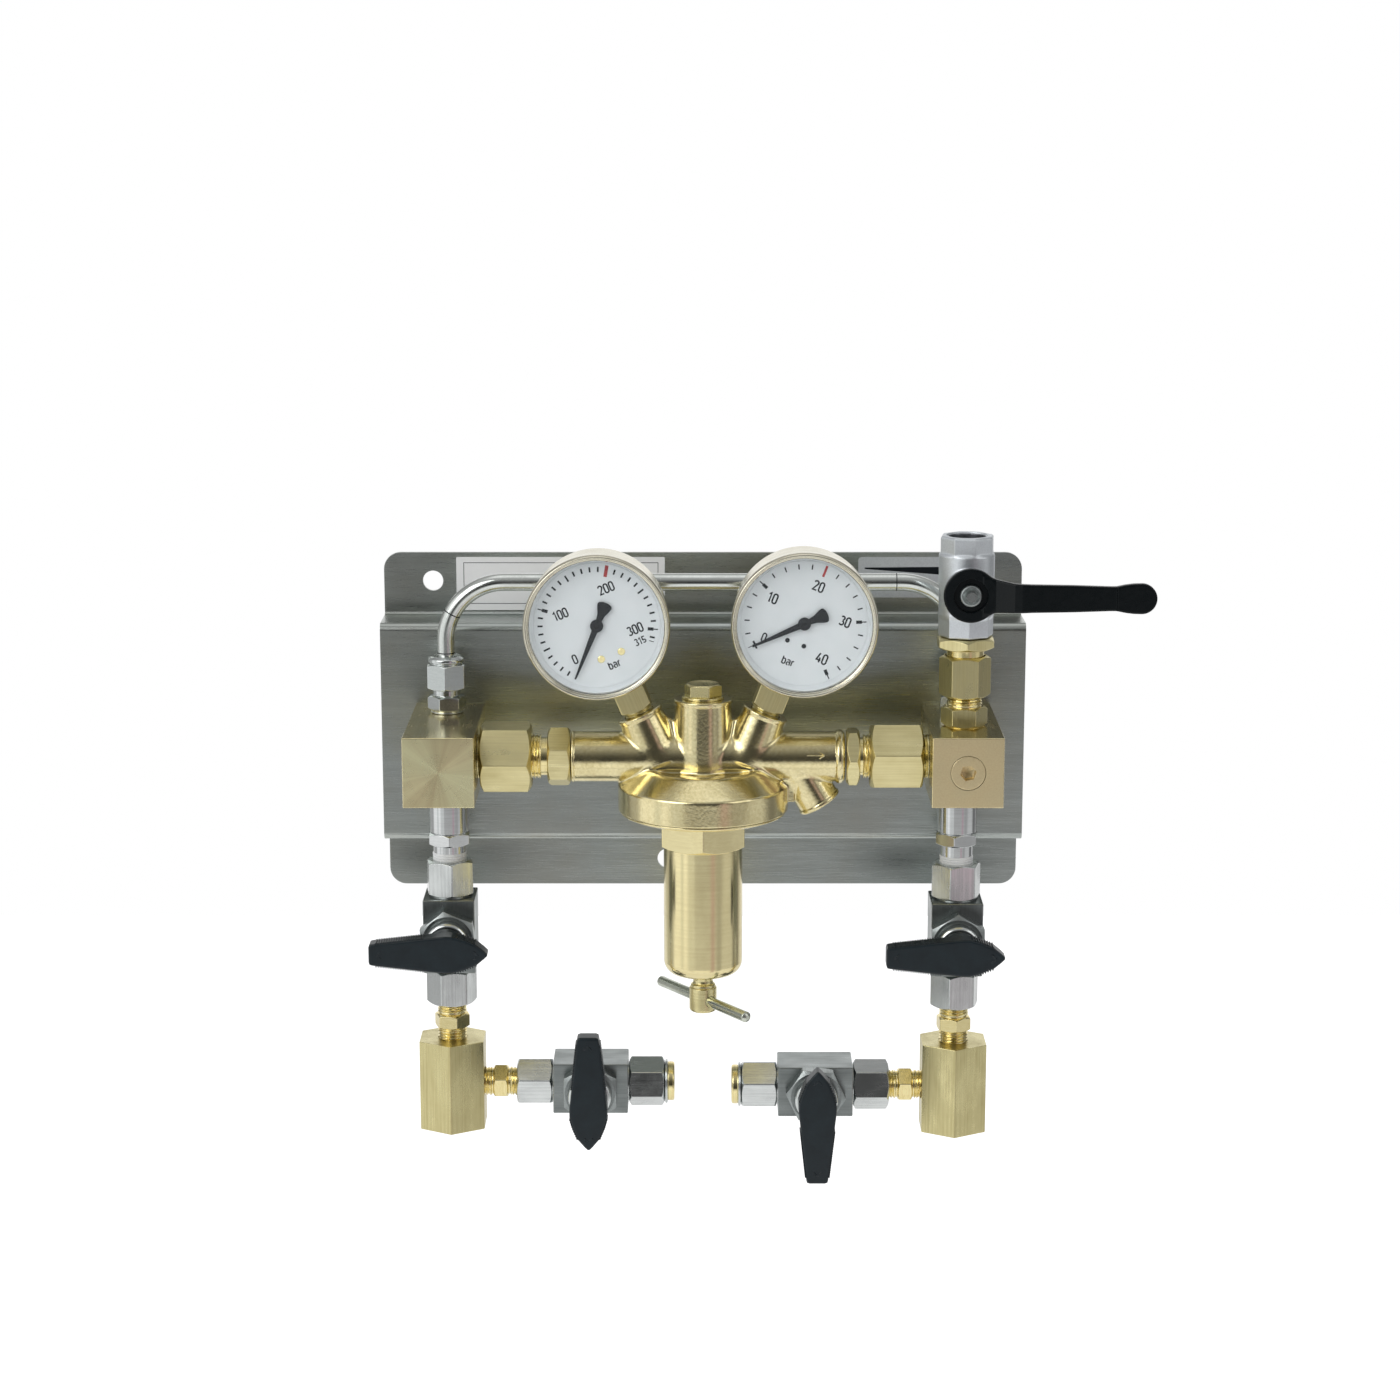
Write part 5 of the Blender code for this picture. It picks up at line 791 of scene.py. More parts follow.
def tube_and_fittings():
    """Polished tube over the gauges, with a compression fitting at each end."""
    low, high = span("bypass_tube", 2)
    radius = 4.0
    top = high - radius
    bend = 27.0
    route = [(-COLUMN_X, low), (-COLUMN_X, (low + top - bend) / 2)]
    route += arc((-COLUMN_X + bend, top - bend), bend, 180, 90, 24)
    route += [(x, top) for x in (-60, -30, 0, 30, 60)]
    route += arc((COLUMN_X - bend, top - bend), bend, 90, 0, 24)
    route += [(COLUMN_X, (low + top - bend) / 2), (COLUMN_X, low)]
    path = [(x, 0, z) for x, z in route]
    piece("crossover_tube", tube_shape(path, radius, 48, 2.8), "tube", at(0, REAR, 0), stands_for=("bypass_tube",))
    nut_low, nut_top = span("tube_nut_left", 2)
    for side, sign in SIDES.items():
        place = at(sign * COLUMN_X, REAR, 0) @ spun(-90)
        hex_top = nut_low - 3.0
        hex_foot = hex_top - 6.5
        rows = [(BLOCK_TOP, 4), (BLOCK_TOP, 7.0), (BLOCK_TOP + 0.25, 7.5, 0.1), (BLOCK_TOP + 0.6, 7.5, 0.1)]
        rows += [(BLOCK_TOP + 0.7, 7.2, 0.05), (BLOCK_TOP + 0.85, 7.4, 0.1), (hex_foot - 0.15, 7.4, 0.1)]
        rows += nut(hex_foot, hex_top, 15.5, low_end=0.96, high_end=0.96)
        rows += [(hex_top + 0.3, 6.25, 0.3), (nut_low + 1.5, 6.25), (nut_low + 1.5, 4)]
        fitting = lathe(rows, HEXAGON, True)
        piece(f"fitting_{side}", fitting, "bright", place @ spun(-18), stands_for=(f"tube_fitting_{side}",))
        collar = nut_top - 3.6
        rows = [(nut_low, 6.3, 0.1)] + nut(nut_low, collar, 17.0, low_end=0.93, high_end=0.98)
        rows += [(collar + 0.1, 7.7, 0.15), (collar + 0.7, 7.7, 0.25), (collar + 0.9, 8.5, 0.35)]
        rows += [(nut_top - 1.0, 8.5, 0.6), (nut_top, 6.6, 0.3), (nut_top - 0.3, 4.2, 0.2), (nut_top - 6, 4.15)]
        piece(f"fitting_nut_{side}", lathe(rows, HEXAGON, True), "bright", place, stands_for=(f"tube_nut_{side}",))
    marks = [
        [(-COLUMN_X, nut_top + 1.1), (-COLUMN_X, nut_top + 1.55)],
        [(88.0, top), (88.4, top)],
        arc((-COLUMN_X + bend, top - bend), bend, 152, 153, 1),
    ]
    for number, mark in enumerate(marks):
        shape = tube_shape([(x, 0, z) for x, z in mark], radius + 0.03, 48, radius - 0.02)
        piece(f"pen_mark_{number}", shape, "print", at(0, REAR, 0))


def unions():
    """Union nuts and studs between the blocks and the regulator."""
    axis = at(0, FRONT, PIPE_Z) @ TO_RIGHT
    sides = (
        ("left", "inlet", 28.8, -87, (0.0, 0.0), (-59.8, -70.1, -73.1), -114),
        ("right", "outlet", 28.2, -103, (-2.0, -1.4), (64.5, 70.6, 72.2), -92),
    )
    for side, port, flats, turn, moved, (hex_inner, hex_outer, thread_end), stud_turn in sides:
        sign = SIDES[side]
        low, high = span(f"{port}_union_nut", 0)
        inner, outer = (high, low) if sign < 0 else (low + moved[0], high + moved[1])
        rows = [(outer, 10.3, 0.2)] + nut(outer, inner, flats, low_end=0.95, high_end=0.93, corner=0.5)
        rows += [(inner, 10.6, 0.2), (inner + 3 * sign, 10.2)]
        union = lathe(rows, HEXAGON, True)
        piece(f"{side}_union_nut", union, "brass", axis @ spun(turn), stands_for=(f"{port}_union_nut",))
        start = span(f"{port}_stud", 0)[sign > 0] - 6 * sign
        rows = [(start, 9.0)] + thread(start, thread_end, 10.0, 1.45, 0.75, HEXAGON)
        rows += [(thread_end, 8.6, 0.3), (hex_outer, 8.6)]
        rows += nut(hex_outer, hex_inner, 24.0, low_end=0.94, high_end=0.95, corner=0.4)
        place = axis @ spun(stud_turn)
        shine(piece(f"{side}_stud", lathe(rows, HEXAGON), "brass", place, stands_for=(f"{port}_stud",)), 10.8)


def shine(thing, radius, look="gold"):
    """Gives the turned parts of a piece, inside a radius, a finish of their own."""
    thing.data.materials.append(LOOKS[look])
    for facet in thing.data.polygons:
        if math.hypot(facet.center.x, facet.center.y) < radius * MM:
            facet.material_index = 1


# ---------------------------------------------------------------- regulator


BODY_LOW = span("regulator_body", 2)[0] - AXIS_Z
BOSS_TOP = span("regulator_body", 2)[1] - AXIS_Z
FLANGE_LOW = BODY_LOW + 0.8
PIPE = (0.0, 0.0, PIPE_Z - AXIS_Z)
LEANS = {"inlet": (-19.5, -23.2), "outlet": (19.5, 21.2)}
BOSS_REACH = 23.8
ORIGIN, ALONG_X, ALONG_Z = (0, 0, 0), (1, 0, 0), (0, 0, 1)
BONNET_LOW, BONNET_TOP = span("spring_bonnet", 2)


def lean_axis(tilt):
    return (math.sin(math.radians(tilt)), 0.0, math.cos(math.radians(tilt)))


def regulator_field(points):
    """The forging: pipe, dished flange with its cone, bosses, fins, side boss and lug, less its bores."""
    x, y, z = points[:, 0], points[:, 1], points[:, 2]
    radial = np.hypot(x, y)
    level = np.clip((27.0 - radial) / 9.0, 0, 1)
    dish = -2.5 - 1.7 * level * level * (3 - 2 * level)
    cone = ((radial - 27.5) * 8.7 + (z + 2.3) * 11.0) / math.hypot(8.7, 11.0)
    flange = meet(meet(radial - 38.5, cone, 0.8), z - dish, 1.2)
    flange = meet(flange, FLANGE_LOW - z, 0.6)
    pipe = rod(points, PIPE, ALONG_X, -59.5, 63.8, 11.35, 11.35, 0.7)
    pipe = np.minimum(pipe, rod(points, PIPE, ALONG_X, 59.4, 63.7, 12.25, 12.25, 2.0))
    pipe = np.minimum(pipe, rod(points, PIPE, ALONG_X, -59.5, -57.8, 11.65, 11.65, 0.8))
    body = blend(pipe, flange, 2.2)
    half = 1.7 + np.clip(22.0 - z, 0, 30) * 0.40
    for offset, tilt in LEANS.values():
        along = lean_axis(tilt)
        sign = math.copysign(1, tilt)
        inward = -((x - offset) * along[2] - z * along[0]) * -sign
        top = z - (21.5 - 0.55 * (18.4 - np.abs(x)))
        fin = meet(meet(np.abs(y) - half, top, 0.9), meet(inward - 2.0, sign * -x, 0.5), 0.8)
        body = blend(body, meet(fin, -z - 2, 0.5), 1.3)
    body = blend(body, rod(points, ORIGIN, ALONG_Z, -6, BOSS_TOP + 1.0, 13.7, 12.8, 0.6), 1.6)
    body = np.minimum(body, rod(points, ORIGIN, ALONG_Z, BOSS_TOP - 1.4, BOSS_TOP + 1.0, 13.2, 13.4, 0.6))
    for offset, tilt in LEANS.values():
        boss = (points, (offset, 0, 0), lean_axis(tilt))
        body = blend(body, rod(*boss, 0, BOSS_REACH, 11.9, 10.1, 0.6), 1.5)
        body = blend(body, rod(*boss, BOSS_REACH - 2.2, BOSS_REACH, 10.5, 10.7, 0.7), 0.4)
    blind = (points, (41.0, 0, 0), lean_axis(149.0))
    body = blend(body, rod(*blind, 0, 23.6, 9.6, 9.7, 0.8), 1.5)
    body = blend(body, rod(*blind, 21.4, 23.6, 10.1, 10.2, 1.0), 0.5)
    lug = np.maximum(np.maximum(np.abs(x - 38.6) - 2.6, np.abs(y + 1.0) - 7.0), np.abs(z + 12.6) - 5.2)
    body = blend(body, lug, 1.4)
    middle_bores = [(BODY_LOW - 1, -15.2, 35.3), (-15.4, -12.8, 32.3), (-13, -11.3, 16.0), (-12.0, 0, 2.5)]
    body = bored(body, points, ORIGIN, ALONG_Z, middle_bores + [(-4.5, BOSS_TOP + 2, 5.6)])
    body = bored(body, points, PIPE, ALONG_X, ((-60, -5, 4.5), (-60, -47.5, 6.9), (14, 65, 4.5), (51.8, 65, 6.9)))
    for offset, tilt in LEANS.values():
        bores = [(low, BOSS_REACH + 1, radius) for low, radius in ((0, 2.5), (BOSS_REACH - 12, 6.9))]
        body = bored(body, points, (offset, 0, 0), lean_axis(tilt), bores)
    return body


def forging():
    """Regulator body, with a raised arrow on its outlet pipe."""
    low, high = (-61, -40, BODY_LOW - 1.5), (65.5, 40, BOSS_TOP + 2.5)
    shape = skin(regulator_field, low, high, 0.55)
    piece("regulator_forging", shape, "forged", at(0, FRONT, AXIS_Z), stands_for=("regulator_body",))
    tip, level, radius = 54.6, 2.9, 11.45

    def on_pipe(x, height):
        return (x, -math.sqrt(radius**2 - height**2), height)

    lines = [[on_pipe(x, level) for x in np.linspace(46.6, tip, 12)]]
    for lift in (1.5, -1.5):
        lines.append([on_pipe(tip - 2.4 * t, level + lift * t) for t in np.linspace(0, 1, 5)])
    piece("flow_arrow", [tube_shape(line, 0.24, 10) for line in lines], "forged", at(0, FRONT, PIPE_Z))


def centre_plug():
    low, high = BOSS_TOP + AXIS_Z + 1.0, span("regulator_top_plug", 2)[1]
    rows = [(low - 4, 0.0), (low - 4, 5.3), (low, 5.3)]
    rows += [(low + 0.05, 9.5, 0.2), (low + 1.3, 9.5, 0.4), (low + 1.3, 7.2, 0.1)]
    rows += nut(low + 1.35, high, 15.0, low_end=0, high_end=0.92)
    rows += [(high - 0.5, 4.2, 0.4), (high - 0.6, 0.0)]
    place = at(0, FRONT, 0) @ spun(-72)
    piece("centre_plug", lathe(rows, HEXAGON), "brass_turned", place, stands_for=("regulator_top_plug",))


def bonnet():
    """Lip and hexagon, with the long cup of the main spring under it."""
    foot = FLANGE_LOW + AXIS_Z
    low, high = BONNET_LOW, BONNET_TOP
    hex_foot = low + 59.8
    rows = [(foot - 0.3, 36.0), (foot - 0.3, 37.6, 0.3), (foot - 1.1, 37.6, 0.35), (foot - 2.5, 34.5, 0.8)]
    rows += nut(foot - 2.55, hex_foot, 37.5, low_end=0, high_end=0.965, corner=0.6)
    rows += [(hex_foot - 0.02, 14.6), (foot - 1.2, 14.6), (foot + 0.2, 26.0)]
    rows += [(high - 0.2, 26.0), (high - 0.2, 34.9), (foot - 0.3, 34.9)]
    cup = [(hex_foot + 1.0, 17.9), (hex_foot - 0.6, 17.9), (low + 30, 17.9), (low + 6, 17.9)]
    cup += [(low + 6 - 6 * math.sin(a), 11.9 + 6 * math.cos(a)) for a in np.linspace(0.1, math.pi / 2, 15)]
    cup += [(low, 6.9, 0.3), (low - 0.75, 6.5, 0.2), (low - 0.75, 5.9, 0.05), (low + 0.6, 5.9), (low + 0.6, 5.35)]
    cup += [(low + 11, 5.35), (low + 11, 14.5), (hex_foot + 1.0, 14.5)]
    shapes = [lathe(rows, HEXAGON, True), lathe(cup, ROUND, True)]
    piece("bonnet", shapes, "bonnet", at(0, FRONT, 0) @ spun(-90), stands_for=("spring_bonnet",))


def spindle():
    """Adjusting spindle with a cross-drilled head, and its tommy bar."""
    end, tip = span("adjusting_spindle", 2)
    low = BONNET_LOW
    rows = [(tip, 0.0), (tip, 4.2, 0.1), (tip - 0.8, 5.1)] + thread(tip - 1, low + 0.5, 5.15, 1.5, 0.55)
    rows += [(low - 0.9, 4.9, 0.2), (low - 2.4, 4.75, 0.4), (low - 3.6, 4.4, 0.6), (low - 5.0, 4.7, 0.5)]
    rows += [(low - 5.7, 5.6, 0.3), (low - 6.85, 5.6, 0.05), (low - 7.0, 6.25, 0.4)]
    rows += [(end + 0.9, 6.25, 0.5), (end, 5.3, 0.5), (end, 0.0)]
    head = mesh_object("spindle", [lathe(rows)])
    head.matrix_world = at(0, FRONT, 0)
    bar = at(0, 0, middle("tommy_bar", 2)) @ spun(-55) @ TO_RIGHT
    carve(head, [(lathe([(-9, 2.62), (9, 2.62)]), bar)])
    dress(head, "brass_turned", "spindle", ("adjusting_spindle",), 35)
    rows = [(35, 0), (35, 0.9, 0.1), (34.7, 1.5, 0.2), (33.9, 2.5, 0.35)]
    rows = [(-row[0], *row[1:]) for row in rows] + rows[::-1]
    piece("cross_bar", lathe(rows), "zinc_bar", at(0, FRONT, 0) @ bar, "spindle", ("tommy_bar",))


# ---------------------------------------------------------------- gauges


def stroke(path, width, height=0.05, closed=False):
    """Flat band of one width along a path."""
    path = np.asarray(path, float)
    count = len(path)
    ahead = np.roll(path, -1, 0) - path
    if not closed:
        ahead[-1] = ahead[-2]
    ahead /= np.linalg.norm(ahead, axis=1, keepdims=True)
    before = np.roll(ahead, 1, 0)
    if not closed:
        before[0] = ahead[0]
    middle_way = ahead + before
    middle_way /= np.linalg.norm(middle_way, axis=1, keepdims=True)
    reach = width / 2 / np.maximum(np.sum(middle_way * ahead, 1), 0.6)
    out = np.stack((-middle_way[:, 1], middle_way[:, 0]), 1) * reach[:, None]
    rings = [
        np.column_stack((path + side * out, np.full(count, level)))
        for side, level in ((1, 0), (-1, 0), (-1, height), (1, height))
    ]
    faces = []
    for i in range(count if closed else count - 1):
        j = (i + 1) % count
        for a, b in ((0, 1), (1, 2), (2, 3), (3, 0)):
            faces.append((a * count + i, b * count + i, b * count + j, a * count + j))
    if not closed:
        for i in (0, count - 1):
            faces.append(tuple(ring * count + i for ring in range(4)))
    return np.concatenate(rings), faces


# Each figure as strokes in a box one unit high, with its width; True marks a closed stroke
FIGURES = {
    "0": (0.42, [(arc((0, 0.29), 0.21, 0, 180, 10) + arc((0, -0.29), 0.21, 180, 360, 10), True)]),
    "1": (0.30, [([(0.06, -0.5), (0.06, 0.5), (-0.14, 0.3)], False)]),
    "2": (0.42, [(arc((0, 0.29), 0.21, 170, -25, 10) + [(-0.2, -0.46), (0.22, -0.46)], False)]),
    "3": (0.42, [(arc((0, 0.27), 0.19, 150, -80, 9), False), (arc((0, -0.24), 0.22, 85, -150, 10), False)]),
    "4": (0.46, [([(0.02, 0.5), (-0.2, -0.24), (0.26, -0.24)], False), ([(0.12, 0.04), (0.12, -0.5)], False)]),
    "5": (0.42, [([(0.19, 0.46), (-0.16, 0.46), (-0.18, 0.08)] + arc((0, -0.2), 0.22, 125, -145, 10), False)]),
    "b": (0.42, [([(-0.2, 0.5), (-0.2, -0.5)], False),
        (arc((0, 0.02), 0.2, 180, 0, 8) + arc((0, -0.28), 0.2, 360, 180, 8), True)]),
    "a": (0.42, [(arc((0, 0.02), 0.2, 150, 0, 8) + [(0.2, -0.5)], False),
        (arc((-0.01, -0.29), 0.2, 80, 280, 10), False), ([(0.0, -0.09), (0.2, -0.09)], False)]),
    "r": (0.30, [([(-0.12, 0.22), (-0.12, -0.5)], False), (arc((0.06, 0.02), 0.18, 180, 70, 6), False)]),
}


def printed(text, size, x, y):
    """Figures on the dial with their middle at x and y."""
    gap = 0.21
    total = sum(FIGURES[letter][0] for letter in text) + gap * (len(text) - 1)
    start = -total / 2
    shapes = []
    for letter in text:
        width, strokes = FIGURES[letter]
        for path, closed in strokes:
            moved = [(x + size * (start + width / 2 + a), y + size * b) for a, b in path]
            shapes.append(stroke(moved, 0.17 * size, 0.05, closed))
        start += width + gap
    return shapes


def dash(angle, inner, outer, width, height=0.04):
    """Thin bar along a radius of the dial."""
    c, s = math.cos(angle), math.sin(angle)
    corners = [(inner, -width / 2), (outer, -width / 2), (outer, width / 2), (inner, width / 2)]
    return plate_shape([(a * c - b * s, a * s + b * c) for a, b in corners], 0.0, height)


def to_gauge(x, y, tilt):
    """From the picture's directions to those of a leaning gauge."""
    lean = math.radians(tilt)
    return x * math.cos(lean) - y * math.sin(lean), x * math.sin(lean) + y * math.cos(lean)


def gauge(name, tilt, per_bar, step, last, marks, figures, red, outer):
    """Case, glass, dial with its scale, and pointer."""
    x, z = middle(f"{name}_gauge_dial", 0), middle(f"{name}_gauge_dial", 2)
    back, front = -span(f"{name}_gauge_case", 1)[1], -span(f"{name}_gauge_case", 1)[0]
    face = -span(f"{name}_gauge_dial", 1)[0]
    place = at(x, 0, z) @ spun(tilt, "Y") @ TO_FRONT
    rows = [(back, 0.0), (back, 26.0, 1.0), (back + 0.4, 29.0, 1.6), (back + 2.6, 31.4, 1.4), (front - 8.6, 31.5)]
    rows += [(front - 8.2, 31.55, 0.1), (front - 7.6, 31.6, 0.2), (front - 7.4, 32.5, 0.4), (front - 1.4, 32.75, 0.9)]
    rows += [(front, 31.9, 0.6), (front - 0.1, 31.2, 0.25), (front - 0.9, 30.9, 0.3), (front - 1.1, 30.3, 0.2),
        (front - 2.1, 30.1, 0.1)]
    rows += [(front - 4.4, 30.1), (front - 4.4, 29.9), (face - 1.2, 29.9), (face - 1.2, 0.0)]
    piece(f"{name}_case", lathe(rows), "case", place, stands_for=(f"{name}_gauge_case",))
    rows = [(face - 1.1, 28.1), (face - 0.02, 28.1, 0.1), (face + 0.5, 28.6, 0.3), (front - 4.3, 29.4, 0.2),
        (front - 4.3, 29.85), (face - 1.1, 29.85)]
    piece(f"{name}_dial_wall", lathe(rows, ROUND, True), "dial", place)
    rows = [(front - 4.0, 0.0), (front - 4.0, 29.95, 0.1), (front - 2.0, 29.95, 0.3), (front - 2.0, 0.0)]
    piece(f"{name}_glass", lathe(rows), "glass", place, stands_for=(f"{name}_gauge_window",))
    rows = [(face - 0.8, 1.3), (face - 0.8, 28.05), (face, 28.05, 0.05), (face, 1.3, 0.05)]
    piece(f"{name}_scale", lathe(rows, ROUND, True), "dial", place, stands_for=(f"{name}_gauge_dial",))

    zero = math.radians(225)
    black = []
    value = 0
    while value <= last:
        if value not in marks:
            angle = zero - math.radians(per_bar) * value
            long = 0.8 if value % 50 == 0 and step == 10 else 0.0
            black.append(dash(angle, outer - 2.3 - long, outer, 0.8 if step == 10 else 0.6))
        value += step
    for value, kind in marks.items():
        angle = zero - math.radians(per_bar) * value
        if kind == "bold":
            black += [dash(angle, outer - 3.7, outer - 1.1, 1.45), dash(angle, outer - 1.3, outer + 0.9, 0.5)]
        elif kind == "cross":
            black += [dash(angle, outer - 4.6, outer + 0.6, 0.3), dash(angle, outer - 3.6, outer - 1.6, 0.9)]
            c, s = math.cos(angle), math.sin(angle)
            middle_r = outer - 2.7
            bar = dash(angle + math.pi / 2, -1.9, 1.9, 0.9)
            black.append((bar[0] + np.array((middle_r * c, middle_r * s, 0.0)), bar[1]))
        elif kind == "end":
            black.append(dash(angle, outer - 2.2, outer, 0.34))
    for text, size, u, v in figures:
        black += printed(text, size, *to_gauge(u, v, tilt))
    place_dial = place @ Matrix.Translation((0, 0, face * MM))
    piece(f"{name}_print", black, "print", place_dial)
    angle = zero - math.radians(per_bar) * red
    piece(f"{name}_red_mark", dash(angle, outer - 4.2, outer + 1.0, 1.55 if name == "inlet" else 1.05, 0.06), "red",
        place_dial)
    needle = [(25.2, -0.42), (25.2, 0.42), (3.2, 1.35), (1.0, 1.45), (-2.8, 1.3), (-5.4, 1.75), (-8.0, 2.9),
        (-9.6, 3.35)]
    needle += [(-10.5, 2.9), (-11.1, 1.4), (-11.2, 0)]
    outline = needle[1:] + [(a, -b) for a, b in needle[-2:0:-1]]
    arm = plate_shape(outline, 1.3, 1.8)
    hub = lathe([(0.3, 0.0), (0.3, 1.2), (1.1, 1.2, 0.1), (1.1, 2.9, 0.15), (2.3, 2.9, 0.4), (2.45, 1.1, 0.15),
        (2.0, 1.0, 0.1), (2.0, 0.0)])
    pointer_place = at(x, face, z) @ spun(tilt, "Y") @ TO_FRONT @ spun(225)
    piece(f"{name}_needle", [arm, hub], "print", pointer_place, f"{name}_pointer", (f"{name}_gauge_pointer",))
    return place_dial


def gauges():
    inlet = [
        ("0", 3.9, -9.8, -15.3),
        ("100", 4.0, -16.1, 4.9),
        ("200", 4.0, 4.2, 16.7),
        ("300", 4.0, 16.9, -1.7),
        ("315", 3.1, 19.2, -7.0),
        ("bar", 3.4, 7.8, -17.4),
    ]
    outlet = [
        ("0", 3.8, -17.9, -6.3),
        ("10", 4.3, -14.1, 11.4),
        ("20", 4.3, 6.2, 16.6),
        ("30", 4.3, 18.0, 0.8),
        ("40", 4.3, 7.8, -15.9),
        ("bar", 3.4, -7.1, -17.1),
    ]
    dial = gauge("inlet", -23.2, 0.84, 10, 310, {100: "bold", 200: "none", 300: "bold", 315: "end"}, inlet, 200, 26.3)
    rivet = [(0.0, 0.0), (0.0, 1.7), (0.35, 1.6, 0.2), (0.6, 0.9, 0.2), (0.62, 0.0)]
    for number, (u, v) in enumerate(((1.9, -15.3), (10.8, -11.8))):
        a, b = to_gauge(u, v, -23.2)
        piece(f"inlet_rivet_{number}", lathe(rivet), "gold", dial @ Matrix.Translation((a * MM, b * MM, 0)))
    dial = gauge("outlet", 21.2, 6.75, 2, 40, {0: "cross", 10: "bold", 20: "none", 30: "bold", 40: "bold"}, outlet, 20,
        26.6)
    rows = ((0.0, 0.0), (0.0, 1.7), (0.35, 1.6), (0.6, 0.9), (0.62, 0.0))
    small = [(height, radius * 0.62) for height, radius in rows]
    for number, (u, v) in enumerate(((-7.5, -7.6), (-0.2, -10.3))):
        a, b = to_gauge(u, v, 21.2)
        piece(f"outlet_rivet_{number}", lathe(small), "print", dial @ Matrix.Translation((a * MM, b * MM, 0)))
    square = polygon(14.0, SQUARE, 4, 0.5)
    for name, (offset, tilt) in LEANS.items():
        foot = BOSS_REACH + 0.3
        shoulder = 70.2 - 31.5 - 0.4
        drop = (square - 7.3) * math.tan(math.radians(30))
        rows = [(foot - 6, 5.9)] + thread(foot - 6, foot + 1.6, 6.6, 1.2, 0.55, SQUARE)
        rows += [(foot + 1.6, 7.3, 0.2), (foot + 1.6 + drop, square, 0.15), (shoulder - drop * 0.4, square, 0.2)]
        rows += [(shoulder, 7.6, 0.2), (shoulder, 5.0, 0.1), (shoulder + 4.5, 5.0), (shoulder + 4.5, 2.5),
            (foot - 6, 2.5)]
        place = at(offset, FRONT, AXIS_Z) @ spun(tilt, "Y") @ spun(45)
        piece(f"{name}_stem", lathe(rows, SQUARE, True), "brass", place, stands_for=(f"{name}_gauge_stem",))


# ---------------------------------------------------------------- outlet column


def outlet_column():
    """Nipple, long union nut, thin reducer and the cast body of the outlet valve."""
    place = at(COLUMN_X, FRONT, 0) @ spun(-90)
    low = span("outlet_nipple", 2)[0]
    rows = [(low, 5.2)] + thread(low, BLOCK_TOP - 0.6, 8.4, 1.3, 0.6, HEXAGON)
    rows += [(BLOCK_TOP - 0.2, 8.6, 0.2)]
    rows += nut(BLOCK_TOP + 0.2, -44.4, 18.2, low_end=0.95, high_end=0.93)
    rows += [(-44.3, 7.6, 0.2), (-43.4, 7.6, 0.2)] + thread(-43.3, -37.5, 8.0, 1.3, 0.6, HEXAGON) + [(-36.5, 7.4),
        (-36.5, 5.2)]
    foot_nipple = piece("column_nipple", lathe(rows, HEXAGON, True), "brass", place @ spun(-35),
        stands_for=("outlet_nipple",))
    shine(foot_nipple, 8.7)
    low, high = span("valve_union_nut", 2)
    low, high = low - 1.7, high - 2.5
    rows = nut(low, high, 20.2, low_end=0.92, high_end=0.93, corner=0.4)
    rows += [(high, 9.0, 0.2), (high - 8, 8.9), (low + 2.5, 8.9), (low + 0.3, 8.6, 0.2)]
    piece("column_long_nut", lathe(rows, HEXAGON, True), "brass", place @ spun(-34), stands_for=("valve_union_nut",))
    low, high = span("outlet_reducer", 2)
    rows = [(low, 5.3), (low, 8.4), (-20.2, 8.5), (-18.2, 8.5, 0.5)]
    rows += nut(-17.9, -12.7, 24.6, low_end=0.95, high_end=0.95, corner=0.4)
    rows += [(-12.6, 8.0, 0.1), (high, 8.0), (high, 5.3)]
    reducer = piece("column_reducer", lathe(rows, HEXAGON, True), "brass", place, stands_for=("outlet_reducer",))
    shine(reducer, 9.0)
    shape = skin(outlet_valve_field, (-14, -25, -13.5), (14, 14, 34.5), 0.42)
    casting = piece("outlet_valve_casting", shape, "zinc", at(COLUMN_X, FRONT, 0), stands_for=("outlet_valve_body",))
    shine(casting, 8.6, "spring")


def ring_outline(flats, faces, first):
    """Corners of a polygon with one corner at an angle."""
    radius = flats / 2 / math.cos(math.pi / faces)
    return [(radius * math.cos(math.radians(first + 360 * i / faces)),
        radius * math.sin(math.radians(first + 360 * i / faces))) for i in range(faces)]


def outlet_valve_field(points):
    """Casting: eight-sided foot and head, round barrel and a stem boss, bored through."""
    z = points[:, 2]
    foot = prismatic(points, ring_outline(22.9, 8, -86))
    foot = meet(foot, np.abs(z + 7.05) - 5.25, 1.2)
    barrel = rod(points, (0, 0, 0), (0, 0, 1), -3.5, 25.4, 12.3, 12.5, 1.4)
    head = prismatic(points, ring_outline(22.8, 8, 13.5))
    head = meet(head, np.abs(z - 28.7) - 4.5, 1.3)
    body = blend(blend(foot, barrel, 1.2), head, 1.0)
    body = blend(body, rod(points, (0, 0, 9.9), (0, -1, 0), 0, 21.5, 8.4, 7.5, 0.8), 2.6)
    body = blend(body, rod(points, (0, 0, 9.9), (0, -1, 0), 8, 15.4, 9.8, 9.4, 1.2), 1.2)
    for low, high, radius in ((22.4, 36, 8.25), (-1, 23, 5.0), (-15, -2.3, 8.25)):
        body = np.maximum(body, -rod(points, (0, 0, 0), (0, 0, 1), low, high, radius, radius, 0.0))
    body = np.maximum(body, -(rod(points, (0, 0, 0), (0, 0, 1), 32.6, 36, 9.0, 10.0, 0.0)))
    body = np.maximum(body, -rod(points, (0, 0, 9.9), (0, -1, 0), 6, 23, 3.4, 3.4, 0.0))
    return np.maximum(body, 7.6 - np.sqrt(points[:, 0] ** 2 + points[:, 1] ** 2 + (z - 9.9) ** 2))


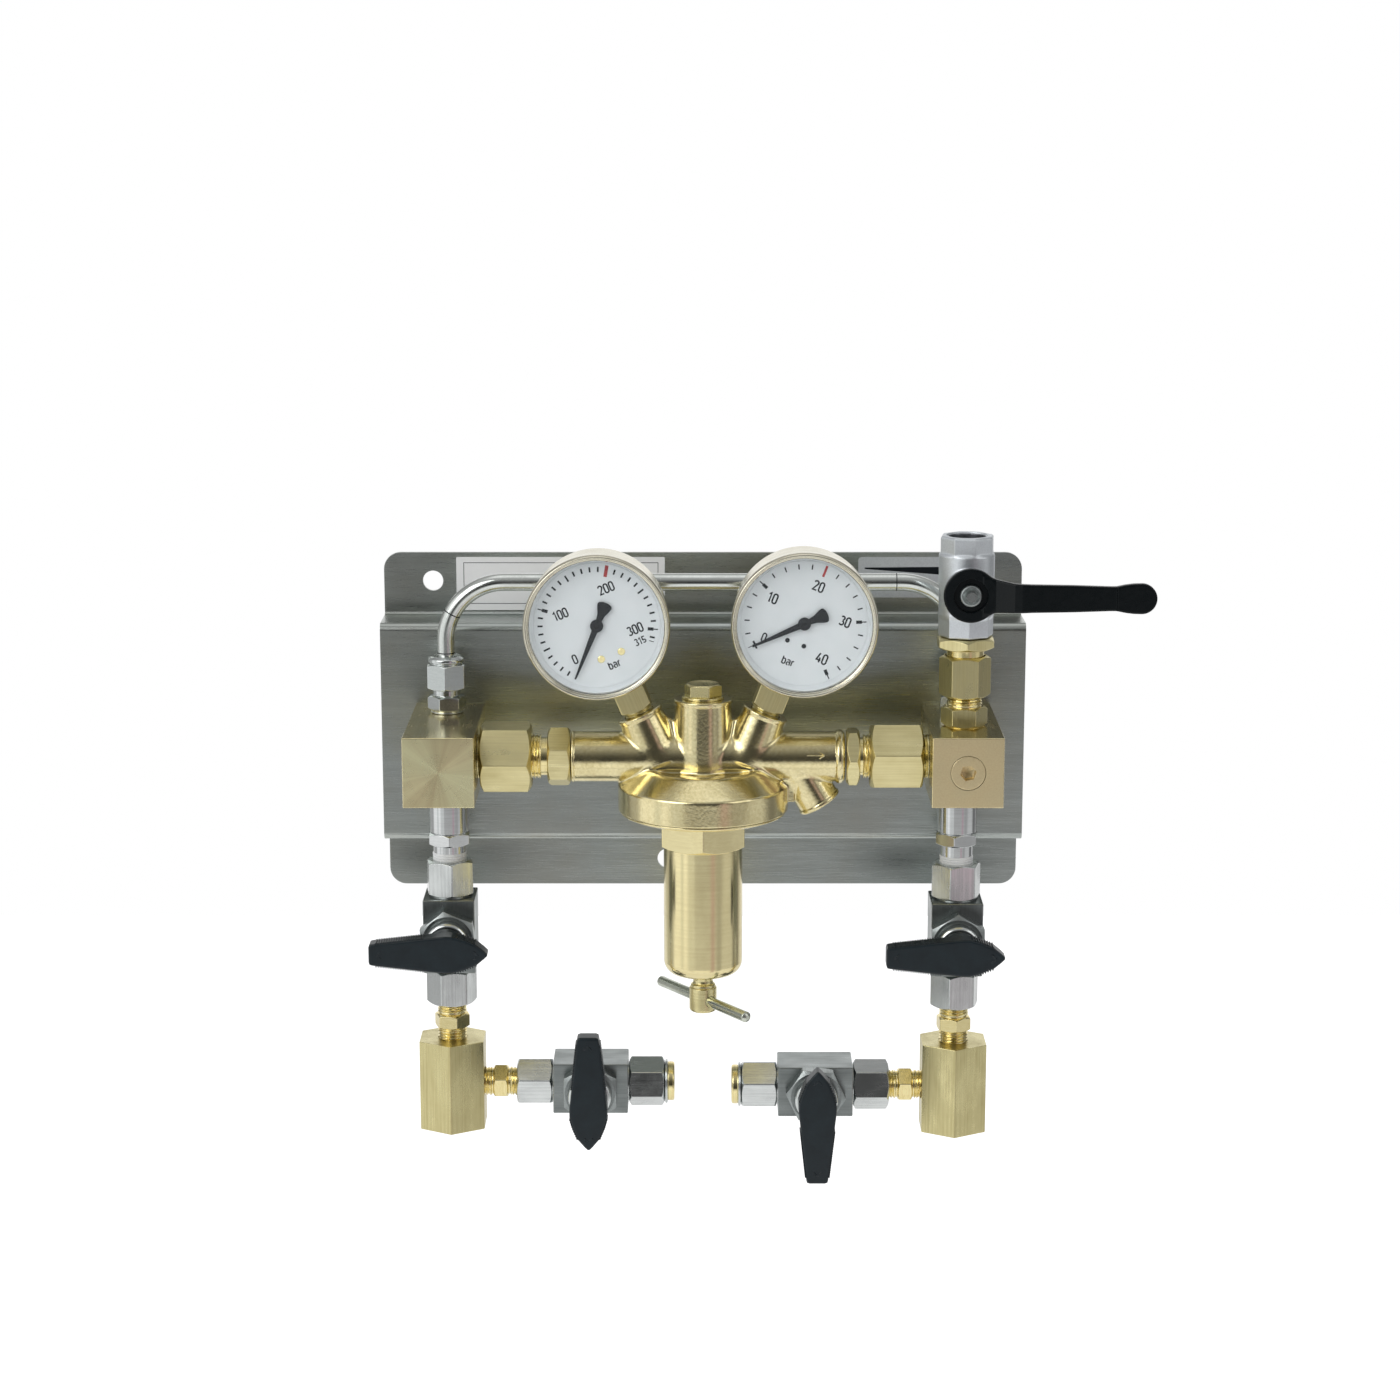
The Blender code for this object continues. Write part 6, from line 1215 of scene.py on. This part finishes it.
LEVER_LINE = [(8.0, 0.0), (10.8, 0.7), (18.6, 6.6), (22.0, 7.5), (80.8, 7.5)]
LEVER_WIDTH = [(8.0, 8.0), (13.0, 7.2), (19.0, 6.5), (26.0, 6.2), (45.0, 5.9), (60.0, 5.4), (63.0, 5.4), (67.0, 6.2),
    (70.5, 6.65), (74.1, 6.75)]


def lever_field(points):
    """Cranked lever in the frame of its pin: X along the arm, Z towards the front."""
    x, y, z = points[:, 0], points[:, 1], points[:, 2]
    level = np.interp(x, [a for a, _ in LEVER_LINE], [b for _, b in LEVER_LINE])
    rise = np.interp(x, [6, 8.5, 11, 14.5, 18.6, 20.5, 22.5, 26], [0, 0.2, 0.55, 0.75, 0.55, 0.35, 0.1, 0])
    half = np.interp(x, [a for a, _ in LEVER_WIDTH], [b for _, b in LEVER_WIDTH])
    sheet = (np.abs(z - level - 1.75) - 1.75) * (1 - 0.25 * rise)
    end = np.hypot(np.maximum(x - 74.1, 0), y) - 6.75
    side = np.where(x > 74.1, end, np.abs(y) - half)
    arm = meet(meet(side, sheet, 0.9), 6.0 - x, 0.1)
    hub = rod(points, (0, 0, 0), (0, 0, 1), 0, 3.5, 12.0, 12.0, 0.7)
    body = blend(arm, hub, 1.6)
    body = np.maximum(body, -rod(points, (0, 0, 0), (0, 0, 1), 1.75, 5, 7.5, 7.5, 0.0))
    body = np.maximum(body, -rod(points, (0, 0, 0), (0, 0, 1), -1, 5, 4.3, 4.3, 0.0))
    step = np.maximum(np.abs(x - 62.9) - 0.35, np.maximum(level + 3.28 - z, np.abs(y) - 9))
    return np.maximum(body, -step)


def outlet_lever():
    place = at(COLUMN_X, -span("outlet_valve_lever", 1)[1], 9.9) @ TO_FRONT
    shape = skin(lever_field, (-13, -13, -1), (82.5, 13, 12.5), 0.42)
    piece("lever_arm", shape, "lever", place, "outlet_lever", ("outlet_valve_lever",))
    rows = [(1.9, 0.0), (1.9, 5.0), (3.4, 5.0, 0.7), (4.3, 4.4, 0.6), (4.4, 3.5, 0.3), (3.9, 3.1, 0.3), (3.8, 1.5, 0.5),
        (4.0, 0.0)]
    piece("lever_nut", lathe(rows), "satin", place, "outlet_lever")


# ---------------------------------------------------------------- small valves

VALVE_HALF = 34.7
BAR_HALF = 12.0
GRIP_BACK = 25.8
WING_BACK = 32.8
WING_FRONT = 41.8


def check_valve(side):
    x = SIDES[side] * COLUMN_X
    low, high = span(f"check_valve_{side}", 2)
    foot = low + 9.5
    top = BLOCK_LOW - 0.3
    hex_top = top - 24.1
    hex_low = hex_top - 6.2
    rows = [(high, 4.2), (high, 6.0), (top, 6.2), (top, 8.8), (top - 0.35, 9.15, 0.2), (hex_top + 0.3, 9.15, 0.15),
        (hex_top + 0.02, 8.6, 0.1)]
    rows += nut(hex_top, hex_low, 18.5, low_end=0.93, high_end=0.93)
    rows += [(hex_low, 7.5, 0.1), (foot + 2.6, 7.5, 0.3), (foot + 2.2, 6.5, 0.2), (low, 6.3), (low, 2.5)]
    rows += [(hex_top + 4, 2.5), (hex_top + 6, 5.0), (top - 6, 5.0), (top - 6, 2.5), (high, 2.5)]
    place = at(x, REAR, 0) @ spun(-86 if side == "left" else -100)
    piece(f"check_{side}", lathe(rows, HEXAGON, True), "chrome", place, stands_for=(f"check_valve_{side}",))
    rows = [(foot + 3.6, 6.6), (foot + 3.5, 7.6, 0.3), (foot + 2.6, 7.9, 0.2), (foot + 2.1, 7.55, 0.1),
        (foot + 1.6, 7.85, 0.2), (foot + 0.9, 7.5, 0.1), (foot + 0.4, 7.8, 0.2), (foot - 1.5, 7.4), (foot - 1.5, 6.6)]
    piece(f"tape_{side}", lathe(rows, ROUND, True), "tape", at(x, REAR, 0))


def valve_body(name, place, nut_turn, turns, vent):
    """Square bar with a screwed connector at each end, a bonnet nut and a gland."""
    bar = mesh_object(f"{name}_bar", [box_shape((-BAR_HALF, -BAR_HALF, -17.5), (BAR_HALF, BAR_HALF, 17.5))])
    bar.matrix_world = place
    broken_edges(bar, 0.55, 3)
    drill = lathe([(-40, 3.5), (40, 3.5)])
    chamber = lathe([(-8.2, 0.5), (-5.8, 5.8), (0, 8.0), (5.8, 5.8), (8.2, 0.5)])
    stem = lathe([(0, 4.15), (14, 4.15)])
    carve(bar, [(drill, Matrix()), (chamber, Matrix()), (stem, TO_FRONT)])
    dress(bar, "satin", stands_for=(name,))
    for end, sign, turn in (("upper", 1, turns[0]), ("lower", -1, turns[1])):
        near, far = sign * 18.1, sign * VALVE_HALF
        bore = 6.0 if vent and sign < 0 else 6.65
        rows = [(sign * 17.5, 3.6), (sign * 17.5, 9.2), (near - sign * 0.05, 9.2, 0.1)]
        rows += nut(near, far, 20.5, low_end=0.965, high_end=0.94, corner=0.7)
        rows += [(far, bore + 1.0, 0.2), (far - sign * 0.7, bore, 0.1), (far - sign * 12, bore), (far - sign * 12, 3.6)]
        piece(f"{name}_{end}_connector", lathe(rows, HEXAGON, True), "satin_turned", place @ spun(turn - 90))
    front = place @ TO_FRONT @ spun(nut_turn)
    rows = [(11.9, 4.2), (11.9, 10.8)]
    rows += nut(12.0, 19.5, 24.5, low_end=0.96, high_end=0.955, corner=0.5)
    rows += [(19.5, 10.2, 0.2), (19.2, 10.1, 0.1), (19.2, 4.2)]
    piece(f"{name}_bonnet", lathe(rows, HEXAGON, True), "satin", front)
    rows = [(19.2, 4.2), (19.2, 9.95), (24.6, 9.95, 0.4), (25.5, 8.9, 0.5), (25.5, 6.0, 0.2), (25.2, 4.2)]
    piece(f"{name}_gland", lathe(rows, ROUND, True), "bright", front)


def grip_outline():
    """Outline of the winged handle: blunt end at -X, narrow tip at +X."""
    upper = [(-34.4, 3.6), (-33.9, 4.8), (-32.6, 5.1), (0.0, 8.75), (3.5, 8.75), (9.0, 7.2), (14.6, 4.9), (18.2, 1.9),
        (19.6, 0.5)]
    return [(x, -y) for x, y in upper] + upper[::-1]


def grip_field(points):
    x, y, z = points[:, 0], points[:, 1], points[:, 2]
    side = prismatic(points, grip_outline())
    crown = 0.35 * (x / 34.0) ** 2
    wing = meet(side, np.maximum(WING_BACK - z, z - WING_FRONT + crown), 1.1)
    hub = rod(points, (0, 0, 0), (0, 0, 1), GRIP_BACK, 36, 8.4, 7.3, 1.3)
    body = blend(wing, hub, 1.4)
    for tip, way in ((-30.4, 1.0), (15.4, -1.0)):
        reach = np.abs(x - tip - way * np.abs(y) * 0.9) / math.hypot(1, 0.9) - 0.3
        mark = np.maximum(np.maximum(reach, np.abs(y) - 1.9), np.abs(z - WING_FRONT + crown) - 0.16)
        body = np.minimum(body, mark)
    return np.maximum(body, -rod(points, (0, 0, 0), (0, 0, 1), 20, 37.3, 4.3, 4.3, 0.0))


def grip_ribs():
    """Fine ribs across the long edges of the winged handle."""
    edge = sorted((x, y) for x, y in grip_outline() if y > 0)
    xs, ys = [x for x, _ in edge], [y for _, y in edge]
    ribs = []
    for spot in list(np.arange(-31.0, -9.0, 1.12)) + list(np.arange(5.2, 14.4, 1.12)):
        low, high = np.interp([spot - 0.3, spot + 0.3], xs, ys)
        for hand in (1, -1):
            outline = [(spot - 0.3, hand * (low - 1.2)), (spot + 0.3, hand * (high - 1.2)),
                (spot + 0.24, hand * (high + 0.5)), (spot - 0.24, hand * (low + 0.5))]
            ribs.append(plate_shape(outline, WING_BACK + 1.0, WING_FRONT - 0.35))
    return ribs


GRIP_RIBS = grip_ribs()
GRIP_SHAPE = skin(grip_field, (-36, -10.5, GRIP_BACK - 1), (21.5, 10.5, WING_FRONT + 1), 0.36)


def nipple(name, low, high, place, turn):
    """Bright nipple: hexagon in the middle, bare thread on both sides and a ring at the last turn."""
    middle_at = (low + high) / 2
    hex_low, hex_high = middle_at - 3.4, middle_at + 3.4
    rows = [(low - 9.5, 5.9)] + thread(low - 9.5, hex_low - 1.1, 6.75, 1.35, 0.75, HEXAGON)
    rows += [(hex_low - 1.0, 6.1, 0.3), (hex_low - 0.1, 6.2, 0.2)]
    rows += nut(hex_low, hex_high, 14.6, low_end=0.93, high_end=0.93)
    rows += [(hex_high + 0.1, 6.2, 0.2), (hex_high + 1.0, 6.1, 0.3)] + thread(hex_high + 1.1, high + 9.5, 6.75, 1.35,
        0.75, HEXAGON)
    rows += [(high + 9.5, 3.75), (low - 9.5, 3.75)]
    piece(name + "_fitting", lathe(rows, HEXAGON, True), "gold", place @ spun(turn), stands_for=(name,))


def tee(side):
    """Hexagon bar with a corner to the front, bored and tapped."""
    x = SIDES[side] * COLUMN_X
    low, high = span(f"tee_{side}", 2)
    level = high - 22.0
    rows = [(low, 0.0)] + nut(low, high, 30.0, low_end=0, high_end=0, corner=0.5, soft=0.35) + [(high, 0.0)]
    thing = mesh_object(f"tee_{side}_bar", [lathe(rows, HEXAGON)])
    thing.matrix_world = at(x, REAR, 0) @ spun(-90)
    apply_modifiers(thing)
    across = thing.matrix_world.inverted() @ at(x, REAR, level) @ spun(-90 * SIDES[side], "Y")
    cuts = [
        (lathe([(low - 1, 3.5), (high + 1, 3.5)]), Matrix()),
        (lathe([(high - 12, 6.85), (high + 0.01, 6.85), (high + 1, 7.9)]), Matrix()),
        (lathe([(low - 1, 9.4), (low + 1.0, 8.25), (low + 16, 8.25)]), Matrix()),
        (lathe([(0, 3.5), (20, 3.5)]), across),
        (lathe([(5.2, 6.85), (18, 6.85)]), across),
    ]
    carve(thing, cuts)
    dress(thing, "tee", stands_for=(f"tee_{side}",))


def supply_column(side):
    sign = SIDES[side]
    check_valve(side)
    z = middle(f"inlet_valve_{side}", 2)
    upright = at(sign * COLUMN_X, REAR, z)
    vent_low, vent_high = span(f"vent_nipple_{side}", 0)
    tee_low, tee_top = span(f"tee_{side}", 2)
    level = tee_top - 22.0
    vent = at(sign * 52.7, REAR, level) @ spun(90 * sign, "Y")
    nut_turns = {"left": (38, 0), "right": (30, 25)}[side]
    upright_turns = {"left": (9, -20), "right": (-17, -14)}[side]
    vent_turns = {"left": (18, 37), "right": (15, -17)}[side]
    valve_body(f"inlet_valve_{side}", upright, nut_turns[0], upright_turns, False)
    valve_body(f"vent_valve_{side}", vent, nut_turns[1], vent_turns, True)
    piece(f"{side}_inlet_handle", GRIP_SHAPE, "grip", upright @ TO_FRONT, f"{side}_inlet_grip",
        (f"inlet_handle_{side}",))
    piece(f"{side}_inlet_handle_ribs", GRIP_RIBS, "grip", upright @ TO_FRONT, f"{side}_inlet_grip")
    piece(f"{side}_vent_handle", GRIP_SHAPE, "grip", vent @ TO_FRONT @ spun(180), f"{side}_vent_grip",
        (f"vent_handle_{side}",))
    piece(f"{side}_vent_handle_ribs", GRIP_RIBS, "grip", vent @ TO_FRONT @ spun(180), f"{side}_vent_grip")
    rows = [(-VALVE_HALF + 0.2, 6.0), (-VALVE_HALF - 0.3, 10.3, 0.2), (-VALVE_HALF - 0.9, 10.5, 0.2),
        (-VALVE_HALF - 1.4, 10.2, 0.3), (-VALVE_HALF - 1.5, 8.9, 0.1), (-VALVE_HALF - 1.5, 5.8),
        (-VALVE_HALF + 0.2, 5.75)]
    piece(f"{side}_vent_washer", lathe(rows, ROUND, True), "bright", vent)
    end = -VALVE_HALF - 4.6
    rows = [(-VALVE_HALF - 1.4, 6.0), (-VALVE_HALF - 1.4, 8.9), (-VALVE_HALF - 1.9, 9.2, 0.2), (end + 0.7, 9.2, 0.3),
        (end, 8.7, 0.3), (end, 6.4, 0.3), (end + 0.8, 5.75, 0.2), (-VALVE_HALF - 1.4, 5.75)]
    piece(f"{side}_vent_end", lathe(rows, ROUND, True), "gold", vent)
    low, high = span(f"tee_nipple_{side}", 2)
    nipple(f"tee_nipple_{side}", low + 9.5, high - 9.5, at(sign * COLUMN_X, REAR, 0), -83 if side == "right" else -71)
    nipple(f"vent_nipple_{side}", vent_low + 9.5, vent_high - 9.5, at(0, REAR, level) @ TO_RIGHT,
        -107 if side == "right" else -110)
    tee(side)


# ---------------------------------------------------------------- everything in place

back_plate()
labels()
for hand in SIDES:
    block(hand, f"block_{hand}")
    supply_column(hand)
block_plug()
tube_and_fittings()
unions()
forging()
centre_plug()
bonnet()
spindle()
gauges()
outlet_column()
outlet_lever()

INSIDE = {
    "diaphragm": "rubber",
    "valve_poppet": "brass_turned",
    "main_spring": "spring",
    "spring_button": "bright",
    "outlet_valve_ball": "bright",
    "inlet_ball_left": "bright",
    "inlet_ball_right": "bright",
    "vent_ball_left": "bright",
    "vent_ball_right": "bright",
    "check_poppet_left": "gold",
    "check_poppet_right": "gold",
}
for node, look in INSIDE.items():
    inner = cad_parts[node]
    for slot in inner.material_slots:
        slot.material = LOOKS[look]

# ---------------------------------------------------------------- floor, light and camera

FLOOR_Z = -0.62


def make_floor():
    """Pale floor, white to the camera and in reflections but for the soft shadow on it."""
    corners = [(-1.1, -0.6, FLOOR_Z), (1.1, -0.6, FLOOR_Z), (1.1, 1.6, FLOOR_Z), (-1.1, 1.6, FLOOR_Z)]
    mesh = bpy.data.meshes.new("floor")
    mesh.from_pydata(corners, [], [(0, 1, 2, 3)])
    thing = bpy.data.objects.new("floor", mesh)
    scene.collection.objects.link(thing)
    made = Surface("floor_paint")
    made.set(Base_Color=(0.9, 0.9, 0.9, 1.0), Roughness=0.9, Specular_IOR_Level=0.0,
        Emission_Color=(1.0, 1.0, 1.0, 1.0))
    rays = made.add("ShaderNodeLightPath").outputs
    made.put(made.math("ADD", made.math("MULTIPLY", rays["Is Camera Ray"], 0.75),
        made.math("MULTIPLY", rays["Is Glossy Ray"], 0.3)), made.shader.inputs["Emission Strength"])
    mesh.materials.append(made.material)


make_floor()


def make_world():
    """White to the camera; a soft studio for everything else, darker where the camera stands."""
    world = bpy.data.worlds.new("studio")
    scene.world = world
    world.use_nodes = True
    tree = world.node_tree
    tree.nodes.clear()

    def node(kind, inputs=None, **settings):
        made = tree.nodes.new(kind)
        for key, value in settings.items():
            setattr(made, key, value)
        for key, value in (inputs or {}).items():
            if isinstance(value, bpy.types.NodeSocket):
                tree.links.new(value, made.inputs[key])
            else:
                made.inputs[key].default_value = value
        return made.outputs[0] if made.outputs else None

    way = node("ShaderNodeTexCoord").node.outputs["Generated"]
    parts = node("ShaderNodeSeparateXYZ", {0: way}).node.outputs
    x, y, z = parts["X"], parts["Y"], parts["Z"]

    def math_node(operation, first, second=0.0, third=0.0):
        return node("ShaderNodeMath", {0: first, 1: second, 2: third}, operation=operation)

    def window(value, low, high, edge):
        """1 between low and high, 0 outside, with soft edges."""
        up = node("ShaderNodeMapRange", {"Value": value, "From Min": low - edge, "From Max": low + edge},
            interpolation_type="SMOOTHSTEP")
        down = node("ShaderNodeMapRange",
            {"Value": value, "From Min": high - edge, "From Max": high + edge, "To Min": 1.0, "To Max": 0.0},
            interpolation_type="SMOOTHSTEP")
        return math_node("MULTIPLY", up, down)

    def mixed_colour(share, first, second):
        second = (*second, 1.0)
        return node("ShaderNodeMix", {0: share, 6: first, 7: second}, data_type="RGBA").node.outputs[2]

    azimuth = node("ShaderNodeMath", {0: x, 1: math_node("MULTIPLY", y, -1.0)}, operation="ARCTAN2")
    ramp = tree.nodes.new("ShaderNodeValToRGB")
    tree.links.new(math_node("MULTIPLY_ADD", z, 0.5, 0.5), ramp.inputs[0])
    stops = ramp.color_ramp.elements
    for place, bright in HEIGHTS:
        stop = stops.new((place + 1) / 2)
        stop.color = (bright, bright, bright, 1.0)
    stops.remove(stops[0])
    stops.remove(stops[-1])
    level = ramp.outputs[0]
    for low, high, foot, top, edge, tint in PATCHES:
        share = math_node("MULTIPLY", window(azimuth, math.radians(low), math.radians(high), math.radians(edge)),
            window(z, foot, top, 0.1))
        level = mixed_colour(share, level, tint)
    behind = node("ShaderNodeMapRange", {"Value": y, "From Min": 0.7, "From Max": 0.9}, interpolation_type="SMOOTHSTEP")
    level = mixed_colour(behind, level, BACKDROP)
    rays = node("ShaderNodeLightPath").node.outputs
    straight = math_node("MAXIMUM", rays["Is Camera Ray"], rays["Is Transmission Ray"])
    colour = mixed_colour(straight, level, (1.0, 1.0, 1.0))
    shine = node("ShaderNodeBackground", {"Color": colour, "Strength": 1.0})
    node("ShaderNodeOutputWorld", {"Surface": shine})


# Height of a direction (its sine) and how bright the studio is there
HEIGHTS = [
    (-0.999, 0.55), (-0.85, 0.6), (-0.76, 0.62), (-0.62, 1.0), (-0.5, 1.0), (-0.42, 0.92), (-0.3, 0.68), (-0.25, 0.54),
    (-0.22, 0.34), (-0.195, 0.14), (-0.17, 0.05), (-0.08, 0.03), (0.25, 0.08), (0.5, 0.20), (0.75, 0.38), (0.92, 0.50),
    (0.955, 0.90), (0.999, 1.0),
]
# Soft boxes, dark sides and a warm strip: two azimuths in degrees (0 at the camera, positive to the right),
# two heights, soft edge, colour
PATCHES = [
    (-128, -97, -0.9, 0.6, 6, (0.45, 0.45, 0.45)),
    (97, 128, -0.9, 0.6, 6, (0.20, 0.20, 0.20)),
    (-96, -28, -0.8, 0.6, 5, (1.0, 1.0, 1.0)),
    (-46, -26, -0.5, 0.3, 5, (0.70, 0.71, 0.71)),
    (-68, -60, -0.8, 0.6, 4, (0.70, 0.72, 0.72)),
    (40, 56, -0.7, 0.45, 5, (0.42, 0.42, 0.42)),
    (62, 90, -0.7, 0.45, 6, (0.60, 0.60, 0.60)),
    (24, 34, -0.75, 0.3, 4, (0.52, 0.40, 0.44)),
    (3, 26, -0.95, -0.67, 5, (0.62, 0.62, 0.62)),
    (4, 80, 0.80, 0.97, 5, (0.42, 0.42, 0.42)),
]
BACKDROP = (1.0, 1.0, 1.0)
make_world()


def soft_lamp(name, place, target, size, watts):
    lamp = bpy.data.lights.new(name, "AREA")
    lamp.shape = "RECTANGLE"
    lamp.size, lamp.size_y = size
    lamp.energy = watts
    thing = bpy.data.objects.new(name, lamp)
    scene.collection.objects.link(thing)
    thing.location = place
    way = Vector(target) - Vector(place)
    thing.rotation_euler = way.to_track_quat("-Z", "Y").to_euler()


CENTRE = (0.0, -0.05, -0.11)
soft_lamp("key", (-1.1, -1.2, 0.9), CENTRE, (1.2, 1.2), 9.5)
soft_lamp("fill", (1.3, -1.0, 0.8), CENTRE, (1.0, 1.0), 3.2)

camera = bpy.data.objects.new("camera", bpy.data.cameras.new("camera"))
scene.collection.objects.link(camera)
camera.location = (-0.0014, -1.450, 0.2488)
camera.rotation_euler = (math.radians(90 - 11.94), 0.0, 0.0)
camera.data.sensor_width = 36.0
camera.data.lens = 36.0 * 3120 / 1400
camera.data.clip_start = 0.01
camera.data.clip_end = 50.0
scene.camera = camera
scene.view_settings.view_transform = "Standard"
